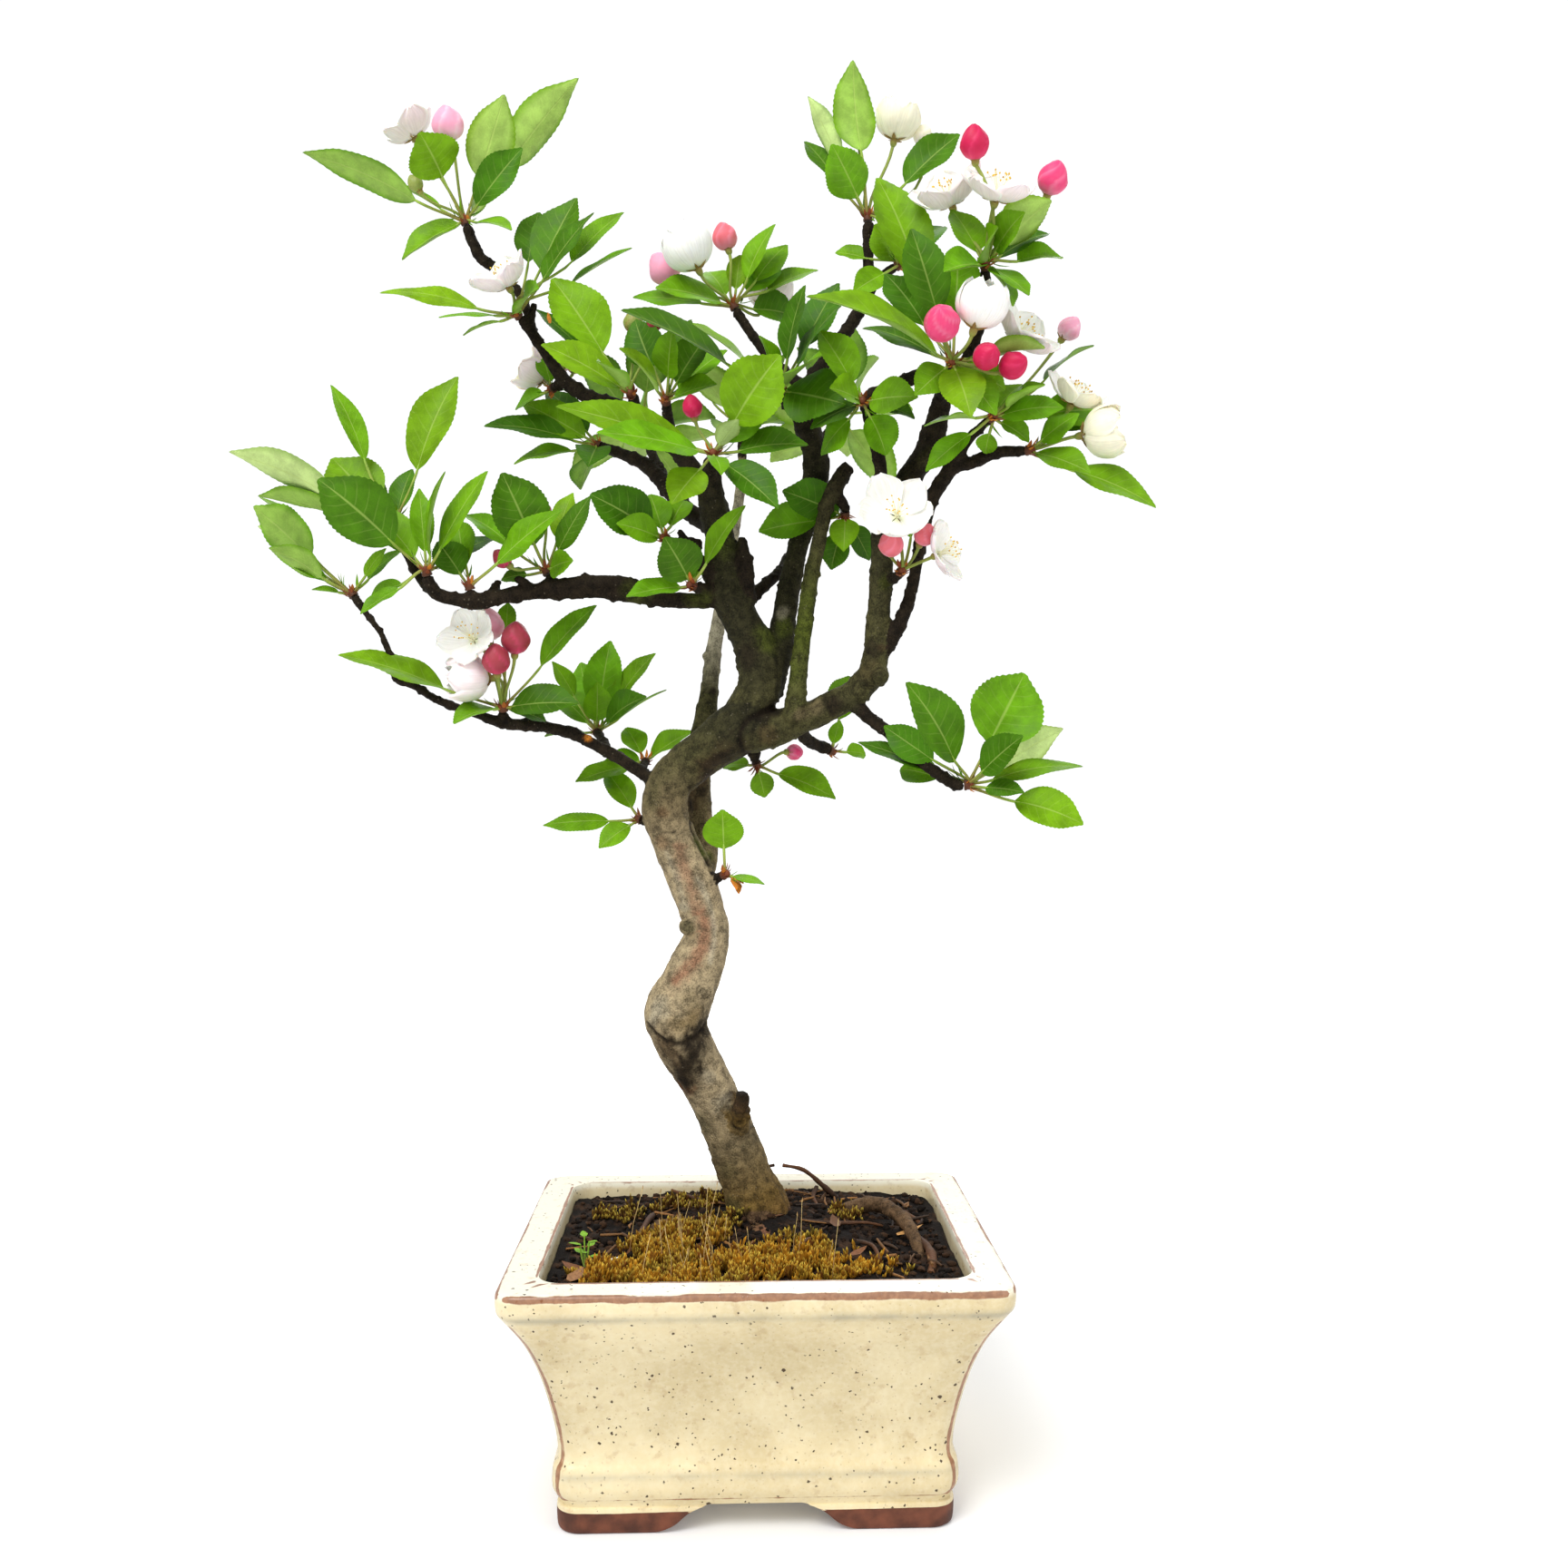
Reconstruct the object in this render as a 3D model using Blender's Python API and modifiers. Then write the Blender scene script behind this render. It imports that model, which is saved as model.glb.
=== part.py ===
"""A crabapple bonsai in flower, in a glazed pot with a flared lip.

The frame is in metres with +Z up. The pot stands on Z = 0, its long side is along X, and its front faces -Y.
Run it with blender --background --python part.py, or from Blender's text editor.
"""

import functools
import math
import random

import bmesh
import bpy
from mathutils import Matrix, Quaternion, Vector, noise
from mathutils.bvhtree import BVHTree

MM = 0.001

# The pot
POT_WIDTH = 200 * MM
POT_DEPTH = 168 * MM
POT_CORNER = 9 * MM
# Height above the table and inset from the lip, up the outside of the wall
POT_PROFILE = [(0, 22.5), (1.5, 21.3), (9.5, 21), (11, 22), (17, 19.4), (25, 19.6), (29, 21.2), (38, 20.6),
               (53, 17.5), (66, 13.8), (78, 8.9), (89, 2.4), (93, 0.2), (99.6, 0), (101, 1.5)]
# The inside of the wall, from the lip down to the floor
WALL_INSIDE = [(101, 13.5), (99.6, 15), (85, 15.8), (69, 19.8), (45, 25.5), (19, 28)]
INSIDE_CORNER = 10 * MM
CORNER_STEPS = 3
FLOOR_TOP = 19 * MM
FLOOR_BOTTOM = 12 * MM
FOOT_CLEARANCE = 11 * MM
FOOT_RING = 15 * MM
ARCH_TOP_HALF = 18 * MM
ARCH_FOOT_HALF = 41 * MM
SIDE_ARCH_SHARE = 0.62
DRAIN_RADIUS = 9 * MM
DRAIN_SPACING = 64 * MM
MESH_SIDE = 30 * MM
MESH_THICK = 1.2 * MM
MESH_CELLS = 5
# How far below the table the cutters of the foot start
CUT_BELOW = 2 * MM
DRAIN_SIDES = 20
# Edges of the pot sharper than this, in degrees, are shaded sharp
SHARP_EDGE = 40
# Between pieces that touch
GAP = 0.3 * MM

# The soil
SOIL_LEVEL = 94 * MM
MOUND_HEIGHT = 8 * MM
MOUND_REACH = 52 * MM
SOIL_RELIEF = 1.3 * MM
RELIEF_SIZE = 11 * MM
SOIL_SIDE_POINTS = 3
SOIL_SHOULDER = 3 * MM
# Rings of the soil's top, as shares of the way from the trunk's foot to the wall
SOIL_RINGS = (1, 0.88, 0.72, 0.56, 0.4, 0.24)
HOLE_GAP = 0.5 * MM
TRUNK_FOOT = Vector((2, 22, 0)) * MM
MOSS_HEIGHT = 4 * MM
MOSS_EDGE = 0.9 * MM
MOSS_GAP = 0.8 * MM
MOSS_LUMP = 6 * MM
MOSS_RINGS = (0.15, 0.6, 1)
MOSS_STEPS = 14
MOSS_RAGGED = 0.1

# The front view, which the tree's routes and leaf tips are read from: u to the right and v down, in view
# units.
# The eye is level, and the view is turned a little about the upright through the middle of the pot.
VIEW_MIDDLE = 864
VIEW_SCALE = 1574
VIEW_DISTANCE = 624 * MM
VIEW_HEIGHT = 294 * MM
VIEW_RIGHT = 13 * MM
VIEW_TURN = math.radians(2)

# From the middle of the pot to the middle of the whole outline
SHIFT = Vector((32, -14, 0)) * MM

# The leaves, spurs and flowers
LEAF_THICK = 1.1 * MM
PETIOLE_HALF = 0.65 * MM
PETIOLE_ROOT = 0.55 * MM
MARGIN = 0.4 * MM
SMALL_LEAF = 18 * MM
# Leaves narrower than this are left to the finish
TINY_LEAF = 12
# Along the blade, as shares of its length and of its width
LEAF_OUTLINE = [(0, 0.08), (0.22, 0.82), (0.5, 1), (0.79, 0.56)]
SMALL_OUTLINE = [(0, 0.1), (0.3, 0.96), (0.68, 0.8)]
LEAF_SCALES = (1, 0.88, 0.76, 0.64)
LEAF_ROLLS = (0, 20, -20, 40, -40)
STALK_BENDS = ((0, 0), (0.3, 0), (-0.3, 0), (0, 0.3), (0, -0.3), (0.5, 0.3), (-0.5, 0.3))
DEPTH_SHIFTS = (0, -3, 3, -6, 6, -9, 9, -13, 13, -17, 17, -22, 22)
# How much the leaves differ: arch and fold of the blade, and wave of its edge
ARCH_RANGE = (0.05, 0.15)
FOLD_RANGE = (0.14, 0.42)
WAVE_RANGE = (0.02, 0.07)
# The leaves of the sprays that the front view hides, in mm, and their petiole shares
WHORL_LENGTH = (38, 50)
WHORL_WIDTH = (17, 23)
WHORL_SHARE = (0.2, 0.36)
GOLDEN_ANGLE = math.radians(137.5)
SPUR_LENGTH = 3.2 * MM
SPUR_LOW = 2 * MM
SPUR_HIGH = 1.5 * MM
TWIG_END = 2.1 * MM
# A petiole that leans further than this from its spur's line, in degrees, is bent round
STRAIGHT_LEAN = 95
STALK_RADIUS = 0.7 * MM
CALYX_LENGTH = 3 * MM
CALYX_RADIUS = 1.9 * MM
BUD_STRETCH = 1.35
BUD_SIDES = 5
# How far from the middle of a spur its stalks start
ROOT_OFFSET = 0.7 * MM
PETAL_THICK = 0.8 * MM
BLOOM_STEPS = 15
LOBE_NOTCH = 0.74
LOBE_TILT = 0.035
STAMEN_RISE = 3 * MM
# How far the cup's rim leans from the stalk's line, in degrees, on a shut and on an open bloom
CUP_SHUT = 150
CUP_OPEN = 42

ROUTE_STEP = 16 * MM
# A point of a route this near to the line between its neighbours is left out
ROUTE_SLACK = 1.2 * MM
# Up to these radii in mm a limb has 8, 6 and 4 sides
THICK_LIMB = 12
STOUT_LIMB = 5.9
SLIM_LIMB = 2.9
# Points nearer than this are merged
MERGE = 0.01 * MM

# Bark routes: u, v, depth in mm behind the middle of the pot, and radius in mm
LIMBS = {
    "trunk": [(852, 1385, 22, 12), (838, 1338, 22, 14.4), (823, 1299, 21, 12.2), (801, 1240, 18, 11.2),
              (784, 1203, 14, 11.1), (762, 1164, 10, 12), (748, 1136, 8, 13), (746, 1113, 8, 14.4),
              (757, 1090, 8, 13), (769, 1062, 10, 11.8), (779, 1030, 12, 10.2), (772, 1000, 12, 10.2),
              (759, 960, 10, 10.8), (744, 928, 8, 10.2), (732, 893, 6, 10.2), (737, 866, 4, 9.9),
              (757, 844, 2, 10), (783, 824, 0, 10.6), (806, 808, -2, 11.6), (824, 794, -4, 11.4)],
    "limb_left": [(820, 790, -3, 9.8), (838, 757, -4, 9.6), (835, 722, -4, 9.2), (819, 690, -6, 8.2),
                  (803, 655, -8, 7.8), (797, 618, -8, 6.8), (791, 583, -8, 6.3), (785, 552, -10, 6),
                  (783, 525, -16, 4.4), (785, 506, -26, 2.8)],
    "limb_middle": [(842, 757, -2, 9), (857, 716, 0, 6.8), (864, 686, 2, 5.4), (871, 640, 4, 4.9),
                    (881, 595, 6, 4.6), (893, 555, 6, 5.6), (900, 520, 6, 5.8), (896, 490, 4, 5.5),
                    (886, 460, 0, 5.3), (890, 430, 4, 4), (908, 400, 8, 3.4), (936, 360, 10, 3),
                    (958, 322, 12, 2.7), (957, 290, 12, 2.5), (957, 250, 12, 2.5)],
    "limb_thin": [(874, 792, -12, 4.8), (877, 770, -14, 4.4), (881, 735, -14, 3.9), (886, 690, -13, 3.7),
                  (893, 640, -12, 3.5), (903, 595, -11, 3.3), (911, 556, -9, 3.4), (923, 532, -8, 3.8),
                  (936, 513, -8, 3)],
    "limb_right": [(824, 806, -4, 9.8), (854, 803, -6, 8.2), (877, 794, -7, 7.2), (900, 786, -9, 6.2),
                   (921, 775, -10, 6.3), (942, 764, -12, 6), (960, 742, -13, 5.8), (967, 710, -14, 5.8),
                   (969, 665, -15, 5), (972, 622, -15, 4.9), (972, 592, -14, 4.8), (980, 560, -12, 4.8),
                   (995, 535, -10, 5), (1012, 512, -8, 5.4), (1025, 490, -8, 5.5), (1033, 462, -10, 4.8),
                   (1038, 440, -16, 4), (1042, 425, -28, 3.2)],
    "cut_limb": [(972, 604, -14, 3.4), (968, 562, -20, 3.2), (971, 525, -24, 2.9), (965, 485, -26, 3),
                 (957, 455, -26, 3), (957, 438, -27, 3), (975, 431, -29, 3), (995, 422, -31, 3),
                 (1014, 413, -35, 3), (1029, 408, -41, 2.2)],
    "right_stub": [(976, 716, -15, 3.4), (990, 690, -18, 3.2), (1000, 668, -20, 3),
                   (1004, 655, -20, 2.7)],
    "right_arm": [(998, 674, -20, 2.6), (1006, 645, -20, 2.6), (1012, 612, -21, 2.8), (1020, 575, -22, 3),
                  (1028, 548, -24, 3.2), (1040, 528, -26, 3.3), (1052, 514, -28, 3.1),
                  (1075, 509, -32, 2.5), (1096, 499, -36, 2.6), (1122, 497, -40, 2.1)],
    "low_right": [(938, 772, -12, 3.6), (960, 793, -14, 3), (975, 804, -16, 2.8), (1000, 824, -20, 2.4),
                  (1015, 840, -24, 2.4), (1030, 850, -26, 2.3), (1054, 866, -30, 2.4)],
    "left_arm": [(803, 652, -8, 5), (783, 661, -9, 3.6), (750, 662, -11, 3.4), (724, 660, -12, 3.3),
                 (690, 655, -13, 3.4), (660, 651, -14, 3.4), (625, 652, -15, 3.4), (590, 653, -16, 3.2),
                 (555, 657, -18, 3.3), (525, 663, -20, 3.8), (500, 660, -22, 3), (481, 655, -24, 2.8),
                 (473, 642, -26, 2.6)],
    "left_arm_double": [(722, 659, -13, 2.4), (694, 643, -16, 2.6), (650, 641, -18, 2.5),
                        (610, 645, -18, 2.4), (582, 652, -16, 2.2)],
    "low_left": [(730, 866, 4, 4), (713, 856, 6, 3), (690, 840, 7, 2.9), (669, 828, 8, 2.9),
                 (629, 808, 6, 2.4), (598, 801, 4, 2.3), (556, 797, 2, 2.6), (528, 788, 1, 1.8),
                 (483, 772, 0, 1.8), (458, 756, 0, 1.7), (438, 747, 0, 2.3), (432, 728, 0, 1.6),
                 (421, 700, 0, 1.4), (408, 682, 0, 1.4), (396, 666, 1, 1.8)],
    "high_left": [(788, 556, -8, 4.4), (760, 512, 0, 4), (725, 475, 8, 3.8), (690, 452, 14, 3.6),
                  (650, 438, 18, 3.3), (621, 418, 20, 3.2), (601, 389, 18, 2.5), (585, 365, 14, 2.7),
                  (577, 353, 11, 2.4)],
    "top_left": [(586, 366, 15, 2.3), (577, 332, 20, 2), (553, 302, 22, 2.2), (530, 284, 20, 2.6),
                 (519, 262, 19, 2.4)],
    "back_left": [(786, 580, -6, 4.6), (760, 564, 4, 4), (738, 541, 14, 3.8), (715, 515, 24, 3.4),
                  (690, 502, 32, 2.8), (668, 494, 38, 2.3)],
    "second_stem": [(771, 968, 12, 6.5), (776, 935, 20, 6.2), (772, 905, 26, 5.8), (770, 870, 30, 5.6),
                    (770, 830, 34, 5.6), (776, 798, 38, 5.4), (781, 768, 41, 4.4), (786, 722, 43, 3.8),
                    (792, 685, 45, 3.4), (800, 640, 48, 3), (808, 590, 54, 2.7), (815, 545, 60, 2.4),
                    (818, 505, 66, 2.2)],
    "inner_arm": [(822, 662, -4, 3.6), (845, 643, 6, 2.6), (862, 627, 20, 2.4), (868, 612, 40, 2)],
    "inner_stub": [(822, 664, -7, 5), (820, 622, -11, 4), (818, 592, -12, 1.6)],
    "outer_stub": [(790, 640, -10, 4), (766, 612, -15, 2.8), (748, 584, -17, 1.3)],
    "fork_stub": [(583, 360, 13, 2), (589, 334, 12, 1.5)],
    "knob_low": [(812, 1240, 12, 6.5), (815, 1228, 6, 4.6), (817, 1215, 2, 3.2), (817, 1204, 0, 2.4)],
    "arm_stub_a": [(652, 645, -17, 2), (642, 632, -18, 1.6)],
    "arm_stub_b": [(588, 652, -17, 1.8), (578, 641, -18, 1.7), (567, 638, -19, 1.5)],
    "arm_stub_c": [(538, 658, -20, 2), (545, 648, -16, 1.7), (550, 640, -14, 1.5)],
}

# Roots in the pot's own frame: x, y, z and radius in mm
ROOTS = {
    "root_right": [(8, 22, 92, 8), (30, 24, 93, 5), (46, 26, 101, 3.6), (58, 18, 104, 3.4), (66, 2, 102, 3.2),
                   (69, -14, 98, 2.6), (70, -26, 90, 2)],
    "root_left": [(-8, 20, 93, 8), (-26, 14, 94, 5), (-42, 12, 97, 3), (-54, 2, 90, 2)],
    "root_front": [(0, 14, 92, 8), (4, -4, 96, 5), (10, -18, 88, 3)],
}

# Sprays: where the spur ends (u, v, depth), its twig (u, v, depth, radius) from the limb that bears it,
# its leaves (tip u, v, depth from the spur, width in mm, how far the upper side turns to the viewer, petiole
# share) and its buds (u, v, depth from the spur, radius in mm, how far it is open)
SPRAYS = {
    "spray_top_left": {
        "at": (511, 240, 18), "twig": [(519, 262, 19, 2.3)],
        "leaves": [(333, 168, -4, 19, -0.55, 0.3), (462, 146, -26, 25, 0.9, 0.5),
                   (556, 104, -10, 21, -0.8, 0.34), (638, 86, 16, 20, -0.6, 0.38),
                   (576, 163, -6, 17, 0.8, 0.2), (564, 254, -12, 15, 0.6, 0.2),
                   (443, 287, -4, 17, 0.75, 0.06), (430, 202, 6, 6, 0.5, 0.3),
                   (545, 206, 14, 13, -0.5, 0.2)],
        "buds": [(494, 138, -14, 6.6, 0.5), (458, 203, -10, 3.2, 0)],
    },
    "spray_fork": {
        "at": (567, 344, 8), "twig": [(580, 357, 12, 2.2)],
        "leaves": [(418, 323, -6, 16, 0.75, 0.28), (483, 350, -14, 9, 0.5, 0.26),
                   (510, 370, 4, 5, 0.3, 0.3), (594, 318, -18, 18, 0.9, 0.1),
                   (636, 218, 10, 22, 0.8, 0.38), (655, 234, -4, 23, 0.35, 0.34),
                   (688, 234, 26, 16, 0.6, 0.5), (697, 273, 14, 11, 0.3, 0.46),
                   (594, 234, 24, 16, 0.7, 0.5)],
        "buds": [],
    },
    "spray_mid_left": {
        "at": (606, 430, 30), "twig": [(621, 420, 22, 2.2)],
        "leaves": [(597, 388, 4, 10, 0.5, 0.15), (568, 452, 6, 15, 0.7, 0.2),
                   (640, 436, 22, 13, 0.7, 0.2)],
        "buds": [(618, 396, 8, 5.6, 0.4), (633, 404, 2, 3.2, 0)],
    },
    "spray_shoulder": {
        "at": (694, 432, -6), "twig": [(700, 456, 12, 2.6), (700, 446, 4, 2.3)],
        "leaves": [(608, 307, 8, 24, 0.75, 0.35), (596, 380, -10, 20, 0.75, 0.1),
                   (590, 341, 22, 12, 0.6, 0.4), (657, 398, -16, 14, -0.7, 0.15),
                   (634, 392, 12, 8, 0.5, 0.3)],
        "buds": [(698, 356, 6, 4.2, 0.2), (722, 354, -2, 3.6, 0)],
    },
    "spray_crook": {
        "at": (733, 438, -14), "twig": [(737, 484, 6, 2.6), (737, 462, -4, 2.2)],
        "leaves": [(682, 384, -12, 19, 0.5, 0.15), (780, 370, -8, 17, 0.8, 0.25),
                   (802, 386, 8, 16, 0.8, 0.2), (700, 352, 16, 18, 0.7, 0.4),
                   (762, 352, 14, 18, 0.7, 0.3), (742, 362, -20, 15, 0.8, 0.3),
                   (790, 424, -16, 14, 0.85, 0.15)],
        "buds": [],
    },
    "spray_crown": {
        "at": (806, 334, 16), "twig": [(890, 430, 6, 2.6), (852, 398, 14, 2.3), (824, 362, 16, 2.1)],
        "leaves": [(855, 247, -2, 15, 0.5, 0.32), (816, 281, 8, 10, 0.8, 0.3),
                   (697, 328, 12, 16, 0.7, 0.3), (858, 288, 20, 17, 0.8, 0.3),
                   (780, 300, 26, 14, 0.6, 0.3), (876, 350, 30, 18, 0.6, 0.3),
                   (722, 318, -14, 22, 0.7, 0.14), (868, 270, 22, 15, 0.8, 0.4),
                   (902, 298, 10, 18, 0.8, 0.4)],
        "buds": [(799, 262, 0, 5.3, 0.1), (733, 297, -6, 6.8, 0.5)],
    },
    "spray_centre": {
        "at": (858, 428, -20), "twig": [(886, 458, 0, 2.8), (868, 446, -10, 2.4)],
        "leaves": [(684, 342, -26, 24, 0.6, 0.34), (763, 357, -30, 20, 0.6, 0.24),
                   (888, 314, -10, 16, 0.4, 0.28), (928, 336, -18, 18, 0.6, 0.28),
                   (932, 446, -14, 27, 0.95, 0.08), (925, 312, 4, 17, 0.7, 0.4),
                   (906, 392, -28, 18, 0.85, 0.1), (836, 370, -12, 15, 0.8, 0.15)],
        "buds": [],
    },
    "spray_front": {
        "at": (786, 498, -36), "twig": [(785, 512, -26, 2.6)],
        "leaves": [(860, 391, -14, 27, 0.95, 0.3), (612, 448, -20, 21, 0.85, 0.14),
                   (657, 477, -24, 18, 0.85, 0.12), (853, 440, 2, 15, 0.9, 0.2),
                   (850, 436, 22, 20, 0.8, 0.4), (891, 491, -2, 18, 0.8, 0.26),
                   (814, 462, -8, 10, -0.4, 0.2), (858, 561, -14, 16, 0.8, 0.2),
                   (740, 556, -12, 17, 0.9, 0.3), (795, 524, -30, 9, -0.5, 0.1)],
        "buds": [(763, 449, 6, 4, 0)],
    },
    "spray_elbow": {
        "at": (729, 592, -24), "twig": [(772, 600, -12, 2.4), (745, 598, -20, 1.9)],
        "leaves": [(650, 545, -6, 22, 0.9, 0.16), (679, 577, -10, 13, 0.8, 0.1),
                   (716, 545, 22, 14, 0.7, 0.2), (755, 552, 24, 13, 0.6, 0.3)],
        "buds": [],
    },
    "spray_armpit": {
        "at": (759, 644, -22), "twig": [(788, 650, -10, 3), (770, 648, -18, 2.2)],
        "leaves": [(732, 592, -8, 20, 0.95, 0.1), (690, 658, -8, 14, 0.7, 0.14),
                   (822, 557, -14, 12, 0.7, 0.26), (775, 615, 22, 10, 0.6, 0.2)],
        "buds": [],
    },
    "spray_arm_mid": {
        "at": (600, 626, -15), "twig": [(613, 646, -18, 2.2), (607, 638, -16, 2)],
        "leaves": [(553, 521, -10, 24, 0.95, 0.26), (632, 543, 6, 11, 0.6, 0.4),
                   (652, 546, -4, 15, 0.7, 0.26), (632, 618, -10, 13, 0.95, 0.12),
                   (552, 640, 0, 10, 0.8, 0.4), (512, 568, 16, 15, 0.6, 0.4)],
        "buds": [(598, 563, 6, 3.6, 0), (554, 616, -4, 3.8, 0.2), (578, 574, 10, 3.4, 0)],
    },
    "spray_arm_low": {
        "at": (516, 642, -22), "twig": [(520, 656, -21, 2)],
        "leaves": [(482, 597, 4, 15, 0.8, 0.24), (620, 562, -14, 17, 0.8, 0.3),
                   (505, 574, 8, 16, 0.8, 0.3)],
        "buds": [],
    },
    "spray_arm_tip": {
        "at": (469, 626, -28), "twig": [(473, 642, -26, 2.4)],
        "leaves": [(491, 519, -8, 11, 0.3, 0.14), (538, 519, -6, 18, 0.5, 0.2),
                   (462, 538, 8, 10, 0.5, 0.22), (350, 528, -12, 27, 0.9, 0.3),
                   (408, 556, 14, 16, 0.7, 0.2), (548, 592, 22, 14, 0.6, 0.3),
                   (406, 664, 4, 11, 0.7, 0.4), (397, 677, -6, 10, 0.6, 0.4)],
        "buds": [],
    },
    "spray_far_left": {
        "at": (432, 574, -20), "twig": [(480, 655, -24, 2.4), (462, 636, -14, 2), (444, 602, -17, 1.8),
                                        (438, 588, -19, 1.8)],
        "leaves": [(366, 505, 14, 25, 0.9, 0.26), (505, 415, 10, 20, 0.7, 0.36),
                   (252, 498, 0, 19, -0.6, 0.34), (284, 547, 12, 15, -0.5, 0.4),
                   (364, 424, 12, 11, 0.35, 0.45), (398, 522, 30, 11, 0.6, 0.3),
                   (455, 517, 10, 11, 0.6, 0.2)],
        "buds": [],
    },
    "spray_low_tip": {
        "at": (386, 651, 2), "twig": [(396, 666, 1, 1.8)],
        "leaves": [(279, 558, -2, 24, -0.7, 0.4), (284, 580, 12, 18, -0.6, 0.4),
                   (319, 620, 2, 8, 0.6, 0.4), (343, 650, 0, 5, 0.6, 0.3), (426, 604, 0, 9, 0.7, 0.36),
                   (444, 606, 16, 9, 0.6, 0.3), (286, 548, 20, 18, 0.6, 0.5),
                   (296, 604, -10, 16, -0.6, 0.35)],
        "buds": [],
    },
    "spray_blossom_left": {
        "at": (554, 776, -2), "twig": [(556, 797, 2, 2.3)],
        "leaves": [(372, 722, -6, 20, 0.5, 0.36), (658, 667, 4, 14, 0.6, 0.4),
                   (560, 664, 14, 9, 0.6, 0.7), (638, 776, -8, 19, 0.8, 0.1),
                   (500, 798, -14, 19, 0.9, 0.1), (602, 796, 10, 13, 0.7, 0.12)],
        "buds": [(538, 690, 2, 6.6, 0.4), (568, 705, -6, 6, 0.1), (547, 728, -12, 5.7, 0.1)],
    },
    "spray_low_back": {
        "at": (657, 806, 52), "twig": [(669, 828, 8, 2.4), (664, 816, 34, 2)],
        "leaves": [(673, 706, 4, 18, 0.8, 0.2), (723, 720, -6, 14, 0.6, 0.3),
                   (713, 768, -24, 16, 0.8, 0.2), (658, 751, -10, 14, 0.8, 0.2),
                   (608, 729, -4, 11, 0.5, 0.5), (735, 760, 6, 6, 0.2, 0.3), (614, 764, 14, 16, 0.7, 0.2),
                   (640, 730, 26, 16, 0.7, 0.3), (600, 812, -22, 10, 0.5, 0.2)],
        "buds": [],
    },
    "spray_low_inner": {
        "at": (712, 838, 36), "twig": [(706, 850, 8, 2.4), (708, 846, 24, 2)],
        "leaves": [(764, 806, 4, 15, 0.7, 0.1), (690, 802, 12, 12, 0.6, 0.2),
                   (660, 846, 14, 14, 0.7, 0.1), (634, 862, -16, 14, 0.6, 0.2)],
        "buds": [],
    },
    "spray_trunk_left": {
        "at": (701, 902, 18), "twig": [(728, 900, 8, 3), (712, 905, 15, 2)],
        "leaves": [(598, 910, -6, 13, 0.7, 0.3), (660, 935, -8, 12, 0.7, 0.2),
                   (668, 850, 16, 13, 0.7, 0.2)],
        "buds": [],
    },
    "spray_low_right": {
        "at": (1071, 865, -31), "twig": [(1054, 866, -30, 2.3)],
        "leaves": [(1129, 742, 4, 31, 0.98, 0.36), (1128, 811, -16, 17, 0.8, 0.24),
                   (998, 752, -12, 24, 0.7, 0.22), (1172, 803, 12, 18, -0.6, 0.3),
                   (1194, 845, -2, 14, 0.6, 0.2), (1194, 909, -10, 19, 0.8, 0.4),
                   (1129, 874, -14, 11, 0.8, 0.3), (974, 800, 14, 14, 0.7, 0.4),
                   (945, 818, 20, 11, 0.5, 0.3), (992, 848, 6, 13, 0.8, 0.4)],
        "buds": [(1108, 828, 2, 3.6, 0)],
    },
    "spray_fork_low": {
        "at": (919, 829, 22), "twig": [(880, 796, -5, 3.6), (888, 814, 8, 2.9), (905, 823, 17, 2.4)],
        "leaves": [(926, 794, 2, 7, 0.5, 0.2), (954, 832, 8, 9, 0.8, 0.4), (936, 745, 26, 16, 0.9, 0.4)],
        "buds": [],
    },
    "spray_fork_under": {
        "at": (835, 846, 16), "twig": [(826, 812, 4, 4), (831, 832, 12, 2.4)],
        "leaves": [(921, 881, -2, 14, 0.8, 0.26), (843, 879, 2, 11, 0.8, 0.16),
                   (796, 846, 10, 10, 0.7, 0.2)],
        "buds": [(875, 829, 4, 3.5, 0)],
    },
    "spray_trunk_right": {
        "at": (802, 962, 4), "twig": [(776, 974, 10, 3), (791, 968, 7, 2)],
        "leaves": [(796, 892, -2, 18, 0.98, 0.38), (843, 975, -4, 7, 0.5, 0.16)],
        "buds": [],
    },
    "spray_top_right": {
        "at": (956, 236, 12), "twig": [(957, 250, 12, 2.4)],
        "leaves": [(940, 66, -4, 20, -0.8, 0.42), (890, 106, 8, 12, -0.4, 0.45),
                   (916, 159, -14, 23, 0.95, 0.26), (1058, 148, 2, 18, 0.8, 0.4),
                   (1001, 248, -16, 15, 0.6, 0.3), (886, 156, 18, 13, 0.7, 0.5)],
        "buds": [(1017, 150, 6, 4.2, 0.3), (946, 150, 6, 3.6, 0.2)],
    },
    "spray_top_inner": {
        "at": (994, 290, 6), "twig": [(958, 318, 12, 2.4), (978, 300, 9, 2.1)],
        "leaves": [(964, 247, -4, 18, 0.9, 0.1), (920, 279, 8, 11, 0.8, 0.5),
                   (976, 262, -18, 15, 0.8, 0.2), (940, 322, -2, 13, 0.7, 0.3),
                   (1040, 250, 22, 18, 0.7, 0.2), (1042, 330, -8, 15, 0.8, 0.12)],
        "buds": [],
    },
    "spray_near_right": {
        "at": (1050, 398, -64), "twig": [(1042, 425, -28, 3), (1046, 412, -46, 2.5)],
        "leaves": [(888, 327, -20, 24, 0.65, 0.1), (966, 196, 22, 22, 0.8, 0.42),
                   (975, 302, 22, 17, 0.7, 0.4), (1004, 252, 2, 18, 0.75, 0.36),
                   (950, 362, 20, 17, 0.7, 0.2), (1152, 384, -6, 13, 0.6, 0.36),
                   (1056, 276, 16, 19, 0.7, 0.4), (1070, 460, -14, 18, 0.85, 0.1),
                   (1098, 458, -8, 16, 0.9, 0.12), (1008, 436, -8, 14, 0.8, 0.15),
                   (1108, 430, 6, 15, 0.8, 0.2)],
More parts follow.
